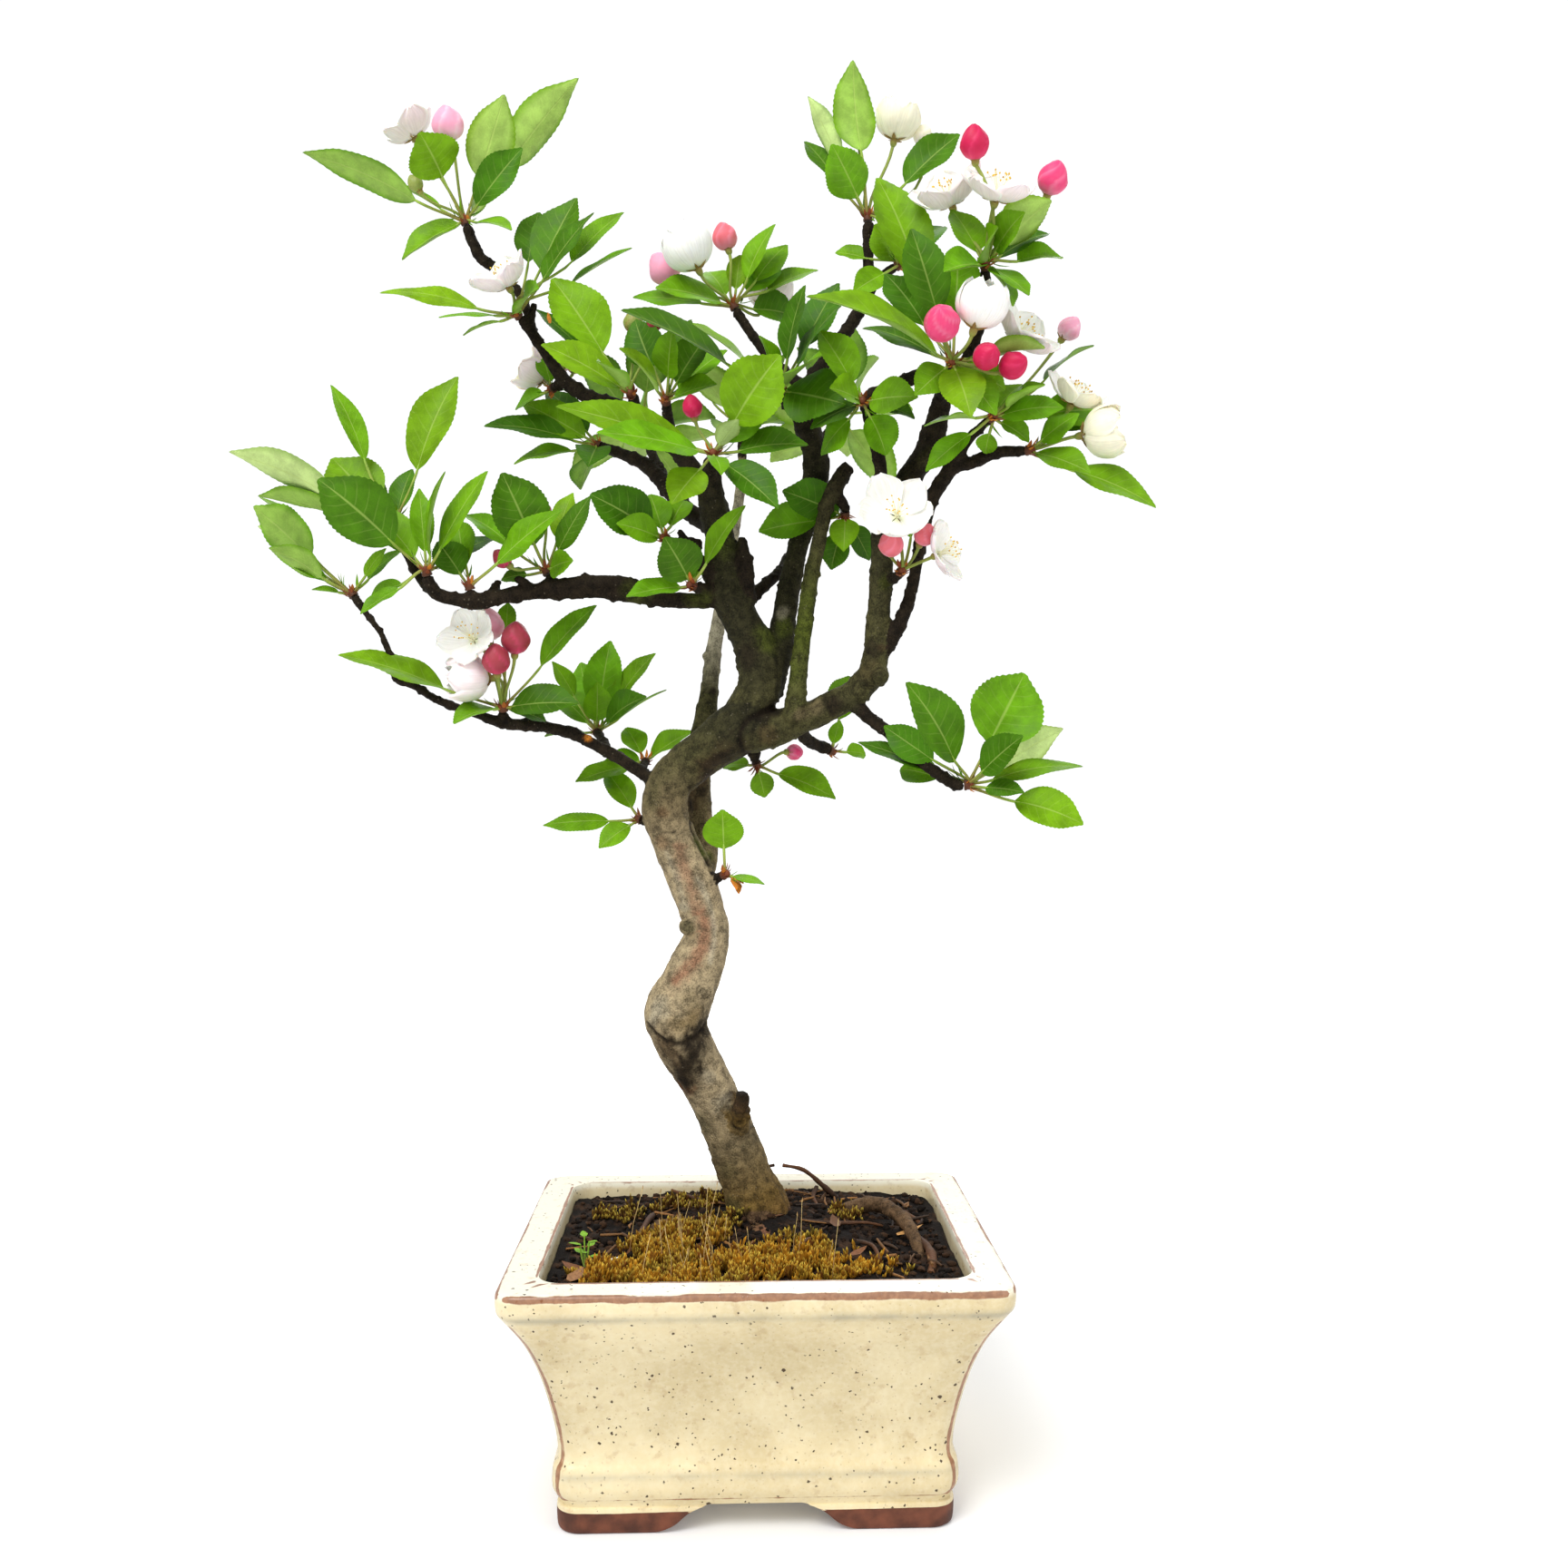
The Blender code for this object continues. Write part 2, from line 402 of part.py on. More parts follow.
        "buds": [(1038, 357, -16, 6.6, 0.2), (1087, 393, -12, 5, 0), (1116, 403, -6, 5.2, 0.1)],
    },
    "spray_right_shoot": {
        "at": (1096, 457, -52), "twig": [(1050, 514, -28, 2.6), (1066, 486, -37, 2.2),
                                         (1081, 471, -45, 1.9)],
        "leaves": [(1018, 470, 16, 13, 0.7, 0.2), (1020, 520, 24, 12, 0.6, 0.3),
                   (1104, 432, 20, 14, 0.7, 0.3), (1173, 450, -6, 15, 0.8, 0.1),
                   (1206, 381, 20, 13, 0.6, 0.5), (1222, 454, 10, 17, 0.6, 0.4),
                   (1128, 424, 10, 14, 0.7, 0.1), (1046, 428, 26, 17, 0.7, 0.3),
                   (1086, 500, 10, 9, 0.8, 0.4), (1152, 424, -10, 14, 0.8, 0.25),
                   (1134, 488, 4, 12, 0.85, 0.2)],
        "buds": [(1178, 363, 26, 4.6, 0.4)],
    },
    "spray_right_top": {
        "at": (1086, 288, -66), "twig": [(1040, 432, -22, 3), (1068, 390, -34, 2.6),
                                         (1084, 340, -46, 2.4), (1086, 308, -58, 2.2)],
        "leaves": [(1159, 221, -8, 22, -0.6, 0.3), (1156, 258, 10, 17, 0.7, 0.2),
                   (1171, 285, 14, 16, 0.7, 0.4), (1048, 231, 12, 17, 0.6, 0.2),
                   (1116, 338, -8, 13, 0.7, 0.1), (1040, 300, -12, 16, 0.8, 0.1),
                   (1130, 234, -4, 16, 0.7, 0.25), (1134, 326, -16, 14, 0.85, 0.12),
                   (1100, 250, -18, 16, 0.85, 0.1)],
        "buds": [(1074, 159, 2, 5.4, 0), (1160, 198, -4, 5.6, 0.3)],
    },
    "spray_far_right": {
        "at": (1139, 496, -43), "twig": [(1122, 497, -40, 2)],
        "leaves": [(1274, 560, -8, 20, 0.75, 0.35), (1202, 522, -18, 14, 0.75, 0.1),
                   (1168, 514, 14, 6, 0.6, 0.3), (1206, 440, 16, 15, 0.6, 0.4),
                   (1190, 456, -8, 14, 0.8, 0.2)],
        "buds": [],
    },
    "spray_cut_limb": {
        "at": (950, 441, -33), "twig": [(957, 448, -27, 2.3)],
        "leaves": [(902, 364, 4, 17, 0.8, 0.24), (914, 428, -8, 16, 0.9, 0.1),
                   (893, 473, 4, 15, 0.7, 0.1), (1008, 462, 6, 14, 0.7, 0.2),
                   (1012, 438, -10, 17, 0.85, 0.1), (976, 502, 8, 16, 0.8, 0.25),
                   (905, 502, 14, 16, 0.8, 0.3)],
        "buds": [],
    },
    "spray_inner": {
        "at": (932, 572, -2), "twig": [(918, 542, -8, 2.8), (930, 556, -5, 2.2)],
        "leaves": [(930, 608, -8, 13, 0.95, 0.08), (862, 541, -6, 19, 0.85, 0.08),
                   (958, 618, 6, 13, 0.8, 0.2), (916, 628, 4, 13, 0.8, 0.3),
                   (836, 586, 12, 18, 0.75, 0.3)],
        "buds": [],
    },
    "spray_near_blossom": {
        "at": (995, 628, -38), "twig": [(974, 644, -16, 2.6), (987, 636, -29, 2)],
        "leaves": [(1018, 540, 22, 12, 0.6, 0.4)],
        "buds": [(982, 600, -10, 4.9, 0.1), (1019, 590, -4, 4.2, 0.2)],
    },
    "spray_left_inner": {
        "at": (656, 489, 40), "twig": [(668, 494, 38, 2.2)],
        "leaves": [(533, 470, -10, 17, 0.7, 0.2), (566, 512, -2, 13, 0.7, 0.3),
                   (648, 515, -22, 16, 0.8, 0.1), (600, 430, 20, 15, 0.6, 0.2),
                   (640, 540, 22, 15, 0.6, 0.2), (574, 444, 4, 17, 0.75, 0.15)],
        "buds": [],
    },
    "spray_back_left": {
        "at": (706, 470, 76), "twig": [(740, 543, 15, 2.8), (724, 512, 40, 2.3), (712, 484, 62, 2)],
        "whorl": 7,
        "buds": [],
    },
    "spray_back_mid": {
        "at": (815, 466, 78), "twig": [(818, 505, 66, 2.2), (817, 486, 74, 2)],
        "whorl": 8,
        "buds": [],
    },
    "spray_back_right": {
        "at": (925, 455, 74), "twig": [(899, 512, 8, 3.2), (912, 484, 36, 2.6), (921, 464, 60, 2.2)],
        "whorl": 8,
        "buds": [],
    },
}

# Open blooms: the spray that bears it, the middle of the bloom (u, v, depth from the spur), the radius in mm,
# the way it faces (right, away, up) and how far it is open
BLOOMS = {
    "bloom_top_left": ("spray_top_left", (446, 134, 4), 12.5, (-0.5, -0.2, 0.8), 0.8),
    "bloom_fork": ("spray_fork", (548, 294, -14), 13.5, (-0.4, -0.5, 0.7), 0.7),
    "bloom_mid_left": ("spray_mid_left", (584, 408, 8), 9.5, (-0.7, -0.2, 0.5), 0.5),
    "bloom_crown": ("spray_crown", (757, 271, -12), 11, (-0.4, -0.1, 0.8), 0.12),
    "bloom_crown_right": ("spray_crown", (848, 320, 22), 10.5, (0.3, 0.3, 0.9), 0.3),
    "bloom_left": ("spray_blossom_left", (513, 698, -14), 13, (-0.3, -0.9, 0.3), 0.9),
    "bloom_left_low": ("spray_blossom_left", (514, 747, -10), 10, (-0.9, -0.3, 0.0), 0.12),
    "bloom_top_right": ("spray_top_right", (990, 132, 4), 10, (0.2, -0.1, 0.95), 0.35),
    "bloom_high_right": ("spray_right_top", (1104, 195, -14), 14, (0.2, -0.5, 0.8), 0.85),
    "bloom_high_mid": ("spray_right_top", (1040, 200, 0), 14, (-0.4, -0.5, 0.8), 0.7),
    "bloom_near_globe": ("spray_near_right", (1083, 334, -14), 9.6, (0.3, -0.2, 0.9), 0.08),
    "bloom_near_right": ("spray_near_right", (1137, 356, 6), 14.5, (0.6, -0.5, 0.6), 0.75),
    "bloom_far_right": ("spray_far_right", (1192, 424, -2), 13, (0.4, -0.4, 0.8), 0.8),
    "bloom_far_low": ("spray_far_right", (1218, 476, -6), 10, (0.9, -0.2, 0.1), 0.3),
    "bloom_near": ("spray_near_blossom", (988, 558, -14), 14, (-0.1, -0.9, 0.3), 0.75),
    "bloom_near_side": ("spray_near_blossom", (1050, 604, -6), 12.5, (0.8, -0.5, 0.3), 0.95),
}

# The moss lies in two pads, given in the pot's own frame as middle x and y, half length, half width and turn
MOSS_PADS = {
    "moss_front": (-16, -47, 58, 17, 3),
    "moss_by_trunk": (-34, -14, 24, 12, 20),
}

# Knots on the bark: u, v, depth and radius
KNOTS = [(758, 1022, 2, 4.2), (774, 1092, 1, 5.2), (778, 723, 42, 2.2), (1022, 500, -12, 4),
         (969, 745, -18, 4.4), (829, 706, -8, 6.4)]

UP = Vector((0, 0, 1))


def clear_scene():
    """Empty the scene."""
    for item in list(bpy.data.objects):
        bpy.data.objects.remove(item)
    for group in list(bpy.data.collections):
        bpy.data.collections.remove(group)


def new_collection(name):
    """Return a new collection, linked to the scene."""
    group = bpy.data.collections.new(name)
    bpy.context.scene.collection.children.link(group)
    return group


def new_material(name, color, roughness):
    """Return a material of one colour and one roughness; nothing here is metallic."""
    skin = bpy.data.materials.new(name)
    skin.use_nodes = True
    shader = skin.node_tree.nodes["Principled BSDF"]
    shader.inputs["Base Color"].default_value = (*color, 1)
    shader.inputs["Roughness"].default_value = roughness
    shader.inputs["Metallic"].default_value = 0
    skin.diffuse_color = (*color, 1)
    return skin


def new_mesh(name, shape):
    """Turn a bmesh into a mesh with its faces pointing out."""
    mesh = bpy.data.meshes.new(name)
    bmesh.ops.recalc_face_normals(shape, faces=shape.faces)
    shape.to_mesh(mesh)
    shape.free()
    return mesh


def new_object(name, mesh, group, skin=None):
    """Return a new object made of a mesh, in a collection."""
    item = bpy.data.objects.new(name, mesh)
    group.objects.link(item)
    if skin:
        mesh.materials.clear()
        mesh.materials.append(skin)
    return item


def cut(target, cutter):
    """Cut one object out of another, and show the cutter as a wire guide."""
    cutter.hide_render = True
    cutter.display_type = "WIRE"
    step = target.modifiers.new(cutter.name, "BOOLEAN")
    step.operation = "DIFFERENCE"
    step.object = cutter


def fuse(name, meshes, group, skin=None):
    """Join overlapping closed meshes into one body, and return its object."""
    pieces = new_collection(name + "_pieces")
    for mesh in meshes[1:]:
        new_object(mesh.name, mesh, pieces)
    body = new_object(name, meshes[0], group, skin)
    if len(meshes) > 1:
        union = body.modifiers.new("join", "BOOLEAN")
        union.operation = "UNION"
        union.operand_type = "COLLECTION"
        union.collection = pieces
        union.solver = "MANIFOLD"
        view = bpy.context.evaluated_depsgraph_get()
        joined = bpy.data.meshes.new_from_object(body.evaluated_get(view))
        body.modifiers.clear()
        body.data = joined
    for piece in list(pieces.objects):
        bpy.data.objects.remove(piece)
    bpy.data.collections.remove(pieces)
    return body


def place(u, v, depth):
    """Turn a point of the front view, and its depth in mm behind the pot's middle, into the part's frame."""
    distance = VIEW_DISTANCE + depth * MM
    right = VIEW_RIGHT + (u - VIEW_MIDDLE) * distance / VIEW_SCALE
    up = VIEW_HEIGHT - (v - VIEW_MIDDLE) * distance / VIEW_SCALE
    return Matrix.Rotation(-VIEW_TURN, 3, "Z") @ Vector((right, depth * MM, up)) + SHIFT


def rounded_rectangle(half_width, half_depth, radius, z, side_points=0):
    """Return the points of a level rectangle with round corners, anticlockwise from above."""
    corners = [(1, -1), (1, 1), (-1, 1), (-1, -1)]
    arcs = []
    for index, (sign_x, sign_y) in enumerate(corners):
        centre = Vector((sign_x * (half_width - radius), sign_y * (half_depth - radius), z))
        arc = []
        for step in range(CORNER_STEPS + 1):
            angle = math.radians(90 * (index - 1 + step / CORNER_STEPS))
            arc.append(centre + radius * Vector((math.cos(angle), math.sin(angle), 0)))
        arcs.append(arc)
    points = []
    for index, arc in enumerate(arcs):
        points += arc
        goal = arcs[(index + 1) % 4][0]
        for step in range(side_points):
            points.append(arc[-1].lerp(goal, (step + 1) / (side_points + 1)))
    return points


def loft(name, rings):
    """Return a closed mesh through rings with equal numbers of points."""
    shape = bmesh.new()
    loops = [[shape.verts.new(point) for point in ring] for ring in rings]
    for lower, upper in zip(loops, loops[1:]):
        for index in range(len(lower)):
            beside = (index + 1) % len(lower)
            shape.faces.new((lower[index], lower[beside], upper[beside], upper[index]))
    shape.faces.new(loops[0])
    shape.faces.new(loops[-1])
    return new_mesh(name, shape)


def wall_inset(height):
    """Return how far the inside of the pot's wall lies in from the lip at a height."""
    for (high, high_inset), (low, low_inset) in zip(WALL_INSIDE, WALL_INSIDE[1:]):
        if low * MM <= height <= high * MM:
            share = (height - low * MM) / ((high - low) * MM)
            return (low_inset + (high_inset - low_inset) * share) * MM
    return WALL_INSIDE[-1][1] * MM


def pot_ring(inset, height, radius, side_points=0):
    """Return one outline of the pot, a distance in from the lip."""
    return rounded_rectangle(POT_WIDTH / 2 - inset, POT_DEPTH / 2 - inset, radius, height, side_points)


def box_mesh(name, size, middle):
    """Return a box as a mesh."""
    shape = bmesh.new()
    bmesh.ops.create_cube(shape, size=1)
    bmesh.ops.scale(shape, vec=size, verts=shape.verts)
    bmesh.ops.translate(shape, vec=middle, verts=shape.verts)
    return new_mesh(name, shape)


def make_pot(parts, cutters, skin):
    """Make the glazed pot: flared wall, lip, floor with two holes, and four feet between arches."""
    rings = [pot_ring(inset * MM, height * MM, POT_CORNER) for height, inset in POT_PROFILE]
    rings += [pot_ring(inset * MM, height * MM, INSIDE_CORNER) for height, inset in WALL_INSIDE]
    pot = new_object("pot", loft("pot", rings), parts, skin)
    pot.location = SHIFT
    inside = 2 * (POT_PROFILE[1][1] * MM + FOOT_RING)
    tools = [box_mesh("foot_recess", (POT_WIDTH - inside, POT_DEPTH - inside, FLOOR_BOTTOM + CUT_BELOW),
                      (0, 0, (FLOOR_BOTTOM - CUT_BELOW) / 2))]
    for name, share, turn in (("front_arch", 1, 0), ("side_arch", SIDE_ARCH_SHARE, 90)):
        top = ARCH_TOP_HALF * share
        foot = ARCH_FOOT_HALF * share
        foot += (foot - top) / FOOT_CLEARANCE * CUT_BELOW
        outline = [(-foot, -CUT_BELOW), (foot, -CUT_BELOW), (top, FOOT_CLEARANCE), (-top, FOOT_CLEARANCE)]
        rings = [[Vector((across, along, up)) for across, up in outline] for along in (-POT_WIDTH, POT_WIDTH)]
        arch = loft(name, rings)
        arch.transform(Matrix.Rotation(math.radians(turn), 4, "Z"))
        tools.append(arch)
    for side in (-1, 1):
        hole = bmesh.new()
        bmesh.ops.create_cone(hole, cap_ends=True, segments=DRAIN_SIDES, radius1=DRAIN_RADIUS,
                              radius2=DRAIN_RADIUS, depth=2 * (FLOOR_TOP + CUT_BELOW),
                              matrix=Matrix.Translation((side * DRAIN_SPACING / 2, 0, 0)))
        tools.append(new_mesh("drain_hole", hole))
    for tool in tools:
        maker = new_object(tool.name, tool, cutters)
        maker.location = SHIFT
        cut(pot, maker)
    pot.data.shade_smooth()
    pot.data.set_sharp_from_angle(angle=math.radians(SHARP_EDGE))


def make_drain_mesh(name, x, parts, skin):
    """Make one of the two plastic screens on the floor, over a drain hole."""
    shape = bmesh.new()
    bmesh.ops.create_grid(shape, x_segments=MESH_CELLS, y_segments=MESH_CELLS, size=MESH_SIDE / 2)
    cell = MESH_SIDE / MESH_CELLS
    holes = []
    for face in shape.faces:
        middle = face.calc_center_median() + Vector((MESH_SIDE / 2, MESH_SIDE / 2, 0))
        if int(middle.x / cell) % 2 and int(middle.y / cell) % 2:
            holes.append(face)
    bmesh.ops.delete(shape, geom=holes, context="FACES")
    screen = new_object(name, new_mesh(name, shape), parts, skin)
    screen.location = SHIFT + Vector((x, 0, FLOOR_TOP + GAP + MESH_THICK / 2))
    thick = screen.modifiers.new("thickness", "SOLIDIFY")
    thick.thickness = MESH_THICK
    thick.offset = 0


def soil_height(x, y):
    """Return the soil's height at a spot of the pot: a low mound round the trunk, with a little relief."""
    away = ((x - TRUNK_FOOT.x) ** 2 + (y - TRUNK_FOOT.y) ** 2) / MOUND_REACH ** 2
    relief = noise.noise(Vector((x, y, 0)) / RELIEF_SIZE) * SOIL_RELIEF
    return SOIL_LEVEL + MOUND_HEIGHT * math.exp(-away) + relief


def make_soil(parts, cutters, skin, wood):
    """Make the soil that fills the pot, with a hole for the foot of the trunk and its roots."""
    bottom = FLOOR_TOP + MESH_THICK + 2 * GAP
    rings = []
    shoulder = SOIL_LEVEL - SOIL_SHOULDER
    between = [height * MM for height, inset in reversed(WALL_INSIDE) if bottom < height * MM < shoulder]
    for height in [bottom] + between + [shoulder]:
        rings.append(pot_ring(wall_inset(height) + GAP, height, INSIDE_CORNER, SOIL_SIDE_POINTS))
    edge = pot_ring(wall_inset(SOIL_LEVEL) + GAP, 0, INSIDE_CORNER, SOIL_SIDE_POINTS)
    for share in SOIL_RINGS:
        ring = []
        for point in edge:
            spot = TRUNK_FOOT.lerp(point, share)
            ring.append(Vector((spot.x, spot.y, soil_height(spot.x, spot.y))))
        rings.append(ring)
    soil = new_object("soil", loft("soil", rings), parts, skin)
    soil.location = SHIFT
    cut(soil, fuse("root_hole", wood, cutters))
    return soil


def make_moss(name, pad, parts, skin, soil_tree):
    """Make a pad of moss: a thin cushion with relief, which follows the soil under it."""
    middle_x, middle_y, half_length, half_width, turn = pad
    spin = Matrix.Rotation(math.radians(turn), 3, "Z")
    centre = Vector((middle_x, middle_y, 0)) * MM + SHIFT
    low_rings = []
    high_rings = []
    for share in MOSS_RINGS:
        low_ring = []
        high_ring = []
        for step in range(MOSS_STEPS):
            angle = math.tau * step / MOSS_STEPS
            spoke = Vector((math.cos(angle), math.sin(angle), 0))
            ragged = 1 + MOSS_RAGGED * noise.noise(spoke * 3 + Vector((0, 0, middle_x)))
            reach = share * ragged * MM
            spot = centre + spin @ Vector((half_length * spoke.x, half_width * spoke.y, 0)) * reach
            ground = soil_tree.ray_cast(Vector((spot.x, spot.y, 1)), -UP)[0].z
            lumps = 0.6 + 0.5 * noise.noise(spot / MOSS_LUMP)
            low_ring.append(Vector((spot.x, spot.y, ground + MOSS_GAP)))
            rise = MOSS_EDGE + MOSS_HEIGHT * math.sqrt(1 - share ** 2) * lumps
            high_ring.append(Vector((spot.x, spot.y, ground + MOSS_GAP + rise)))
        low_rings.append(low_ring)
        high_rings.append(high_ring)
    rings = low_rings + high_rings[::-1]
    pad_object = new_object(name, loft(name, rings), parts, skin)
    pad_object.data.shade_smooth()


def thin_route(points):
    """Return the route without the points that lie on the line between their neighbours."""
    kept = [points[0]]
    for index in range(1, len(points) - 1):
        before = kept[-1]
        after = points[index + 1]
        share = (points[index] - before).xyz.length / (after - before).xyz.length
        bent = (points[index] - before.lerp(after, min(share, 1))).length > ROUTE_SLACK
        if bent or index == len(points) - 2:
            kept.append(points[index])
    kept.append(points[-1])
    return kept


def smooth_route(points):
    """Return the points, in position and radius, of a smooth curve through the given ones."""
    route = []
    points = thin_route(points)
    last = len(points) - 1
    for index in range(last):
        before = points[max(index - 1, 0)]
        here = points[index]
        after = points[index + 1]
        beyond = points[min(index + 2, last)]
        length = (after.xyz - here.xyz).length
        steps = max(1, round(length / max(ROUTE_STEP, 2.2 * here.w)))
        for step in range(steps):
            t = step / steps
            route.append(0.5 * (2 * here + (after - before) * t
                                + (2 * before - 5 * here + 4 * after - beyond) * t ** 2
                                + (3 * here - before - 3 * after + beyond) * t ** 3))
    route.append(points[last])
    return route


def tube(name, points, grow=0.0, resolution=2):
    """Return a mesh tube with closed ends, from points that hold a place and a radius, maybe grown all round."""
    first, second = points[:2]
    before, last = points[-2:]
    points = ([Vector((*(first.xyz + (first - second).xyz.normalized() * grow), first.w))] + points[1:-1]
              + [Vector((*(last.xyz + (last - before).xyz.normalized() * grow), last.w))])
    curve = bpy.data.curves.new(name, "CURVE")
    curve.dimensions = "3D"
    curve.bevel_depth = MM
    curve.bevel_resolution = resolution
    curve.use_fill_caps = True
    line = curve.splines.new("POLY")
    line.points.add(len(points) - 1)
    for spot, point in zip(line.points, points):
        spot.co = (*point.xyz, 1)
        spot.radius = (point.w + grow) / MM
    holder = bpy.data.objects.new(name, curve)
    bpy.context.scene.collection.objects.link(holder)
    view = bpy.context.evaluated_depsgraph_get()
    mesh = bpy.data.meshes.new_from_object(holder.evaluated_get(view))
    bpy.data.objects.remove(holder)
    shape = bmesh.new()
    shape.from_mesh(mesh)
    bmesh.ops.remove_doubles(shape, verts=shape.verts, dist=MERGE)
    bpy.data.meshes.remove(mesh)
    return new_mesh(name, shape)


def view_route(points):
    """Turn a limb's list of u, v, depth and radius into places and radii in the part's frame."""
    return [Vector((*place(u, v, depth), radius * MM)) for u, v, depth, radius in points]


def pot_route(points):
    """Turn a root's list of x, y, z and radius into places and radii in the part's frame."""
    return [Vector((*(Vector((x, y, z)) * MM + SHIFT), radius * MM)) for x, y, z, radius in points]


def spray_frame(spray):
    """Return where a spray's spur ends and the way it points."""
    tip = place(*spray["at"])
    u, v, depth, radius = spray["twig"][-1]
    return tip, (tip - place(u, v, depth)).normalized()


def twig_route(spray):
    """Return the route of the woody twig that carries a spray, which ends a gap short of the spur."""
    tip, heading = spray_frame(spray)
    points = view_route(spray["twig"])
    end = tip - heading * (SPUR_LENGTH + GAP)
    return points + [Vector((*end, min(points[-1].w, TWIG_END)))]


def wood_meshes(grow=0.0, low_only=False):
    """Return the meshes of the trunk, its limbs and its roots, to be joined."""
    meshes = []
    for name, points in ROOTS.items():
        meshes.append(tube(name, smooth_route(pot_route(points)), grow))
    if low_only:
        meshes.append(tube("trunk", smooth_route(view_route(LIMBS["trunk"])), grow, 4))
        return meshes
    for name, points in LIMBS.items():
        widest = max(radius for u, v, depth, radius in points)
        bounds = ((THICK_LIMB, 4), (STOUT_LIMB, 2), (SLIM_LIMB, 1), (0, 0))
        resolution = next(steps for bound, steps in bounds if widest > bound)
        meshes.append(tube(name, smooth_route(view_route(points)), grow, resolution))
    for name, spray in SPRAYS.items():
        meshes.append(tube(name + "_twig", smooth_route(twig_route(spray)), grow, 0))
    for u, v, depth, radius in KNOTS:
        knot = bmesh.new()
        bmesh.ops.create_icosphere(knot, subdivisions=1, radius=radius * MM,
                                   matrix=Matrix.Translation(place(u, v, depth)))
        meshes.append(new_mesh("knot", knot))
    return meshes


def solid_mesh(name, corners, faces):
    """Return a mesh from corners and faces."""
    shape = bmesh.new()
    made = [shape.verts.new(corner) for corner in corners]
    for face in faces:
        shape.faces.new([made[index] for index in face])
    return new_mesh(name, shape)


def stalk_points(root, heading, end, arrival, count, bend=(0, 0)):
    """Return points on a stalk that leaves along one direction, arrives along another and may bow aside."""
    reach = (end - root).length
    level = (end - root).cross(UP).normalized()
    bow = (level * bend[0] + level.cross(end - root).normalized() * bend[1]) * reach
    first = root + heading * 0.3 * reach + bow
    second = end - arrival * 0.35 * reach + bow
    points = []
    for step in range(count):
        t = step / (count - 1)
        points.append(root * (1 - t) ** 3 + first * 3 * t * (1 - t) ** 2
                      + second * 3 * t ** 2 * (1 - t) + end * t ** 3)
    return points


def leaf_shape(leaf, grow=0.0):
    """Return the corners and faces of a leaf with its petiole: rings of four points, from spur to tip."""
    axis = (leaf["tip"] - leaf["base"]).normalized()
    side = axis.cross(leaf["toward"]).normalized()
    normal = side.cross(axis)
    length = (leaf["tip"] - leaf["base"]).length
    peak = leaf["base"].lerp(leaf["tip"], 0.5) + normal * length * leaf["arch"]
    rings = []
    if leaf["width"] < SMALL_LEAF:
        outline = SMALL_OUTLINE
    else:
        outline = LEAF_OUTLINE
    for index, (t, share) in enumerate(outline):
        middle = leaf["base"] * (1 - t) ** 2 + peak * 2 * t * (1 - t) + leaf["tip"] * t ** 2
        along = ((peak - leaf["base"]) * (1 - t) + (leaf["tip"] - peak) * t).normalized()
        up = side.cross(along)
        half = leaf["width"] * share / 2
        wave = leaf["wave"] * (1 if index % 2 else -1)
        lift = half * leaf["fold"]
        thick = LEAF_THICK / 2 * (1.1 - 0.5 * t) + grow
        rings.append([middle + side * (half * (1 + wave) + grow) + up * lift * (1 + 3 * wave),
                      middle + up * thick,
                      middle - side * (half * (1 - wave) + grow) + up * lift * (1 - 3 * wave),
                      middle - up * thick])
    if (leaf["base"] - leaf["root"]).angle(leaf["heading"]) > math.radians(STRAIGHT_LEAN):
        arrival = (peak - leaf["base"]).normalized()
        stalk = stalk_points(leaf["root"], leaf["heading"], leaf["base"], arrival, 3)
    else:
        stalk = [leaf["root"], leaf["base"]]
    for index in reversed(range(1, len(stalk) - 1)):
        along = (stalk[index + 1] - stalk[index]).normalized()
        side = (side - along * side.dot(along)).normalized()
        up = side.cross(along)
        half = PETIOLE_HALF + grow / 2
        rings.insert(0, [stalk[index] + side * half, stalk[index] + up * half,
                         stalk[index] - side * half, stalk[index] - up * half])
    along = (stalk[1] - stalk[0]).normalized()
    side = (side - along * side.dot(along)).normalized()
    up = side.cross(along)
    corners = [corner for ring in rings for corner in ring]
    last = len(corners) - 4
    corners.append(leaf["tip"] + axis * grow)
    corners += [stalk[0] + way * PETIOLE_ROOT for way in (side, up, -(side + up))]
    left, top, low = last + 5, last + 6, last + 7
    faces = [(left, top, low), (left, top, 0), (top, 0, 1), (top, 1, 2), (top, low, 2), (low, 2, 3),
             (low, 3, left), (left, 3, 0)]
    for start in range(0, last, 4):
        for edge in (0, 2):
            for face_side in (1, 3):
                faces.append((start + edge, start + face_side, start + face_side + 4))
                faces.append((start + edge, start + face_side + 4, start + edge + 4))
    for edge in range(4):
        faces.append((last + edge, last + (edge + 1) % 4, last + 4))
    return corners, faces


def leaf_options(leaf):
    """Yield the leaf as it was read from the view, then the same one turned, moved or made smaller."""
    for scale in LEAF_SCALES:
        for shift in DEPTH_SHIFTS:
            for roll in LEAF_ROLLS:
                option = dict(leaf)
                ray = (leaf["tip"] - EYE).normalized()
                tip = leaf["root"].lerp(leaf["tip"] + ray * shift * MM, scale)
                option["tip"] = tip
                option["base"] = leaf["root"].lerp(tip, leaf["share"])
                turn = Quaternion((tip - leaf["root"]).normalized(), math.radians(roll))
                option["toward"] = turn @ leaf["toward"]
                option["width"] = leaf["width"] * scale
                yield option


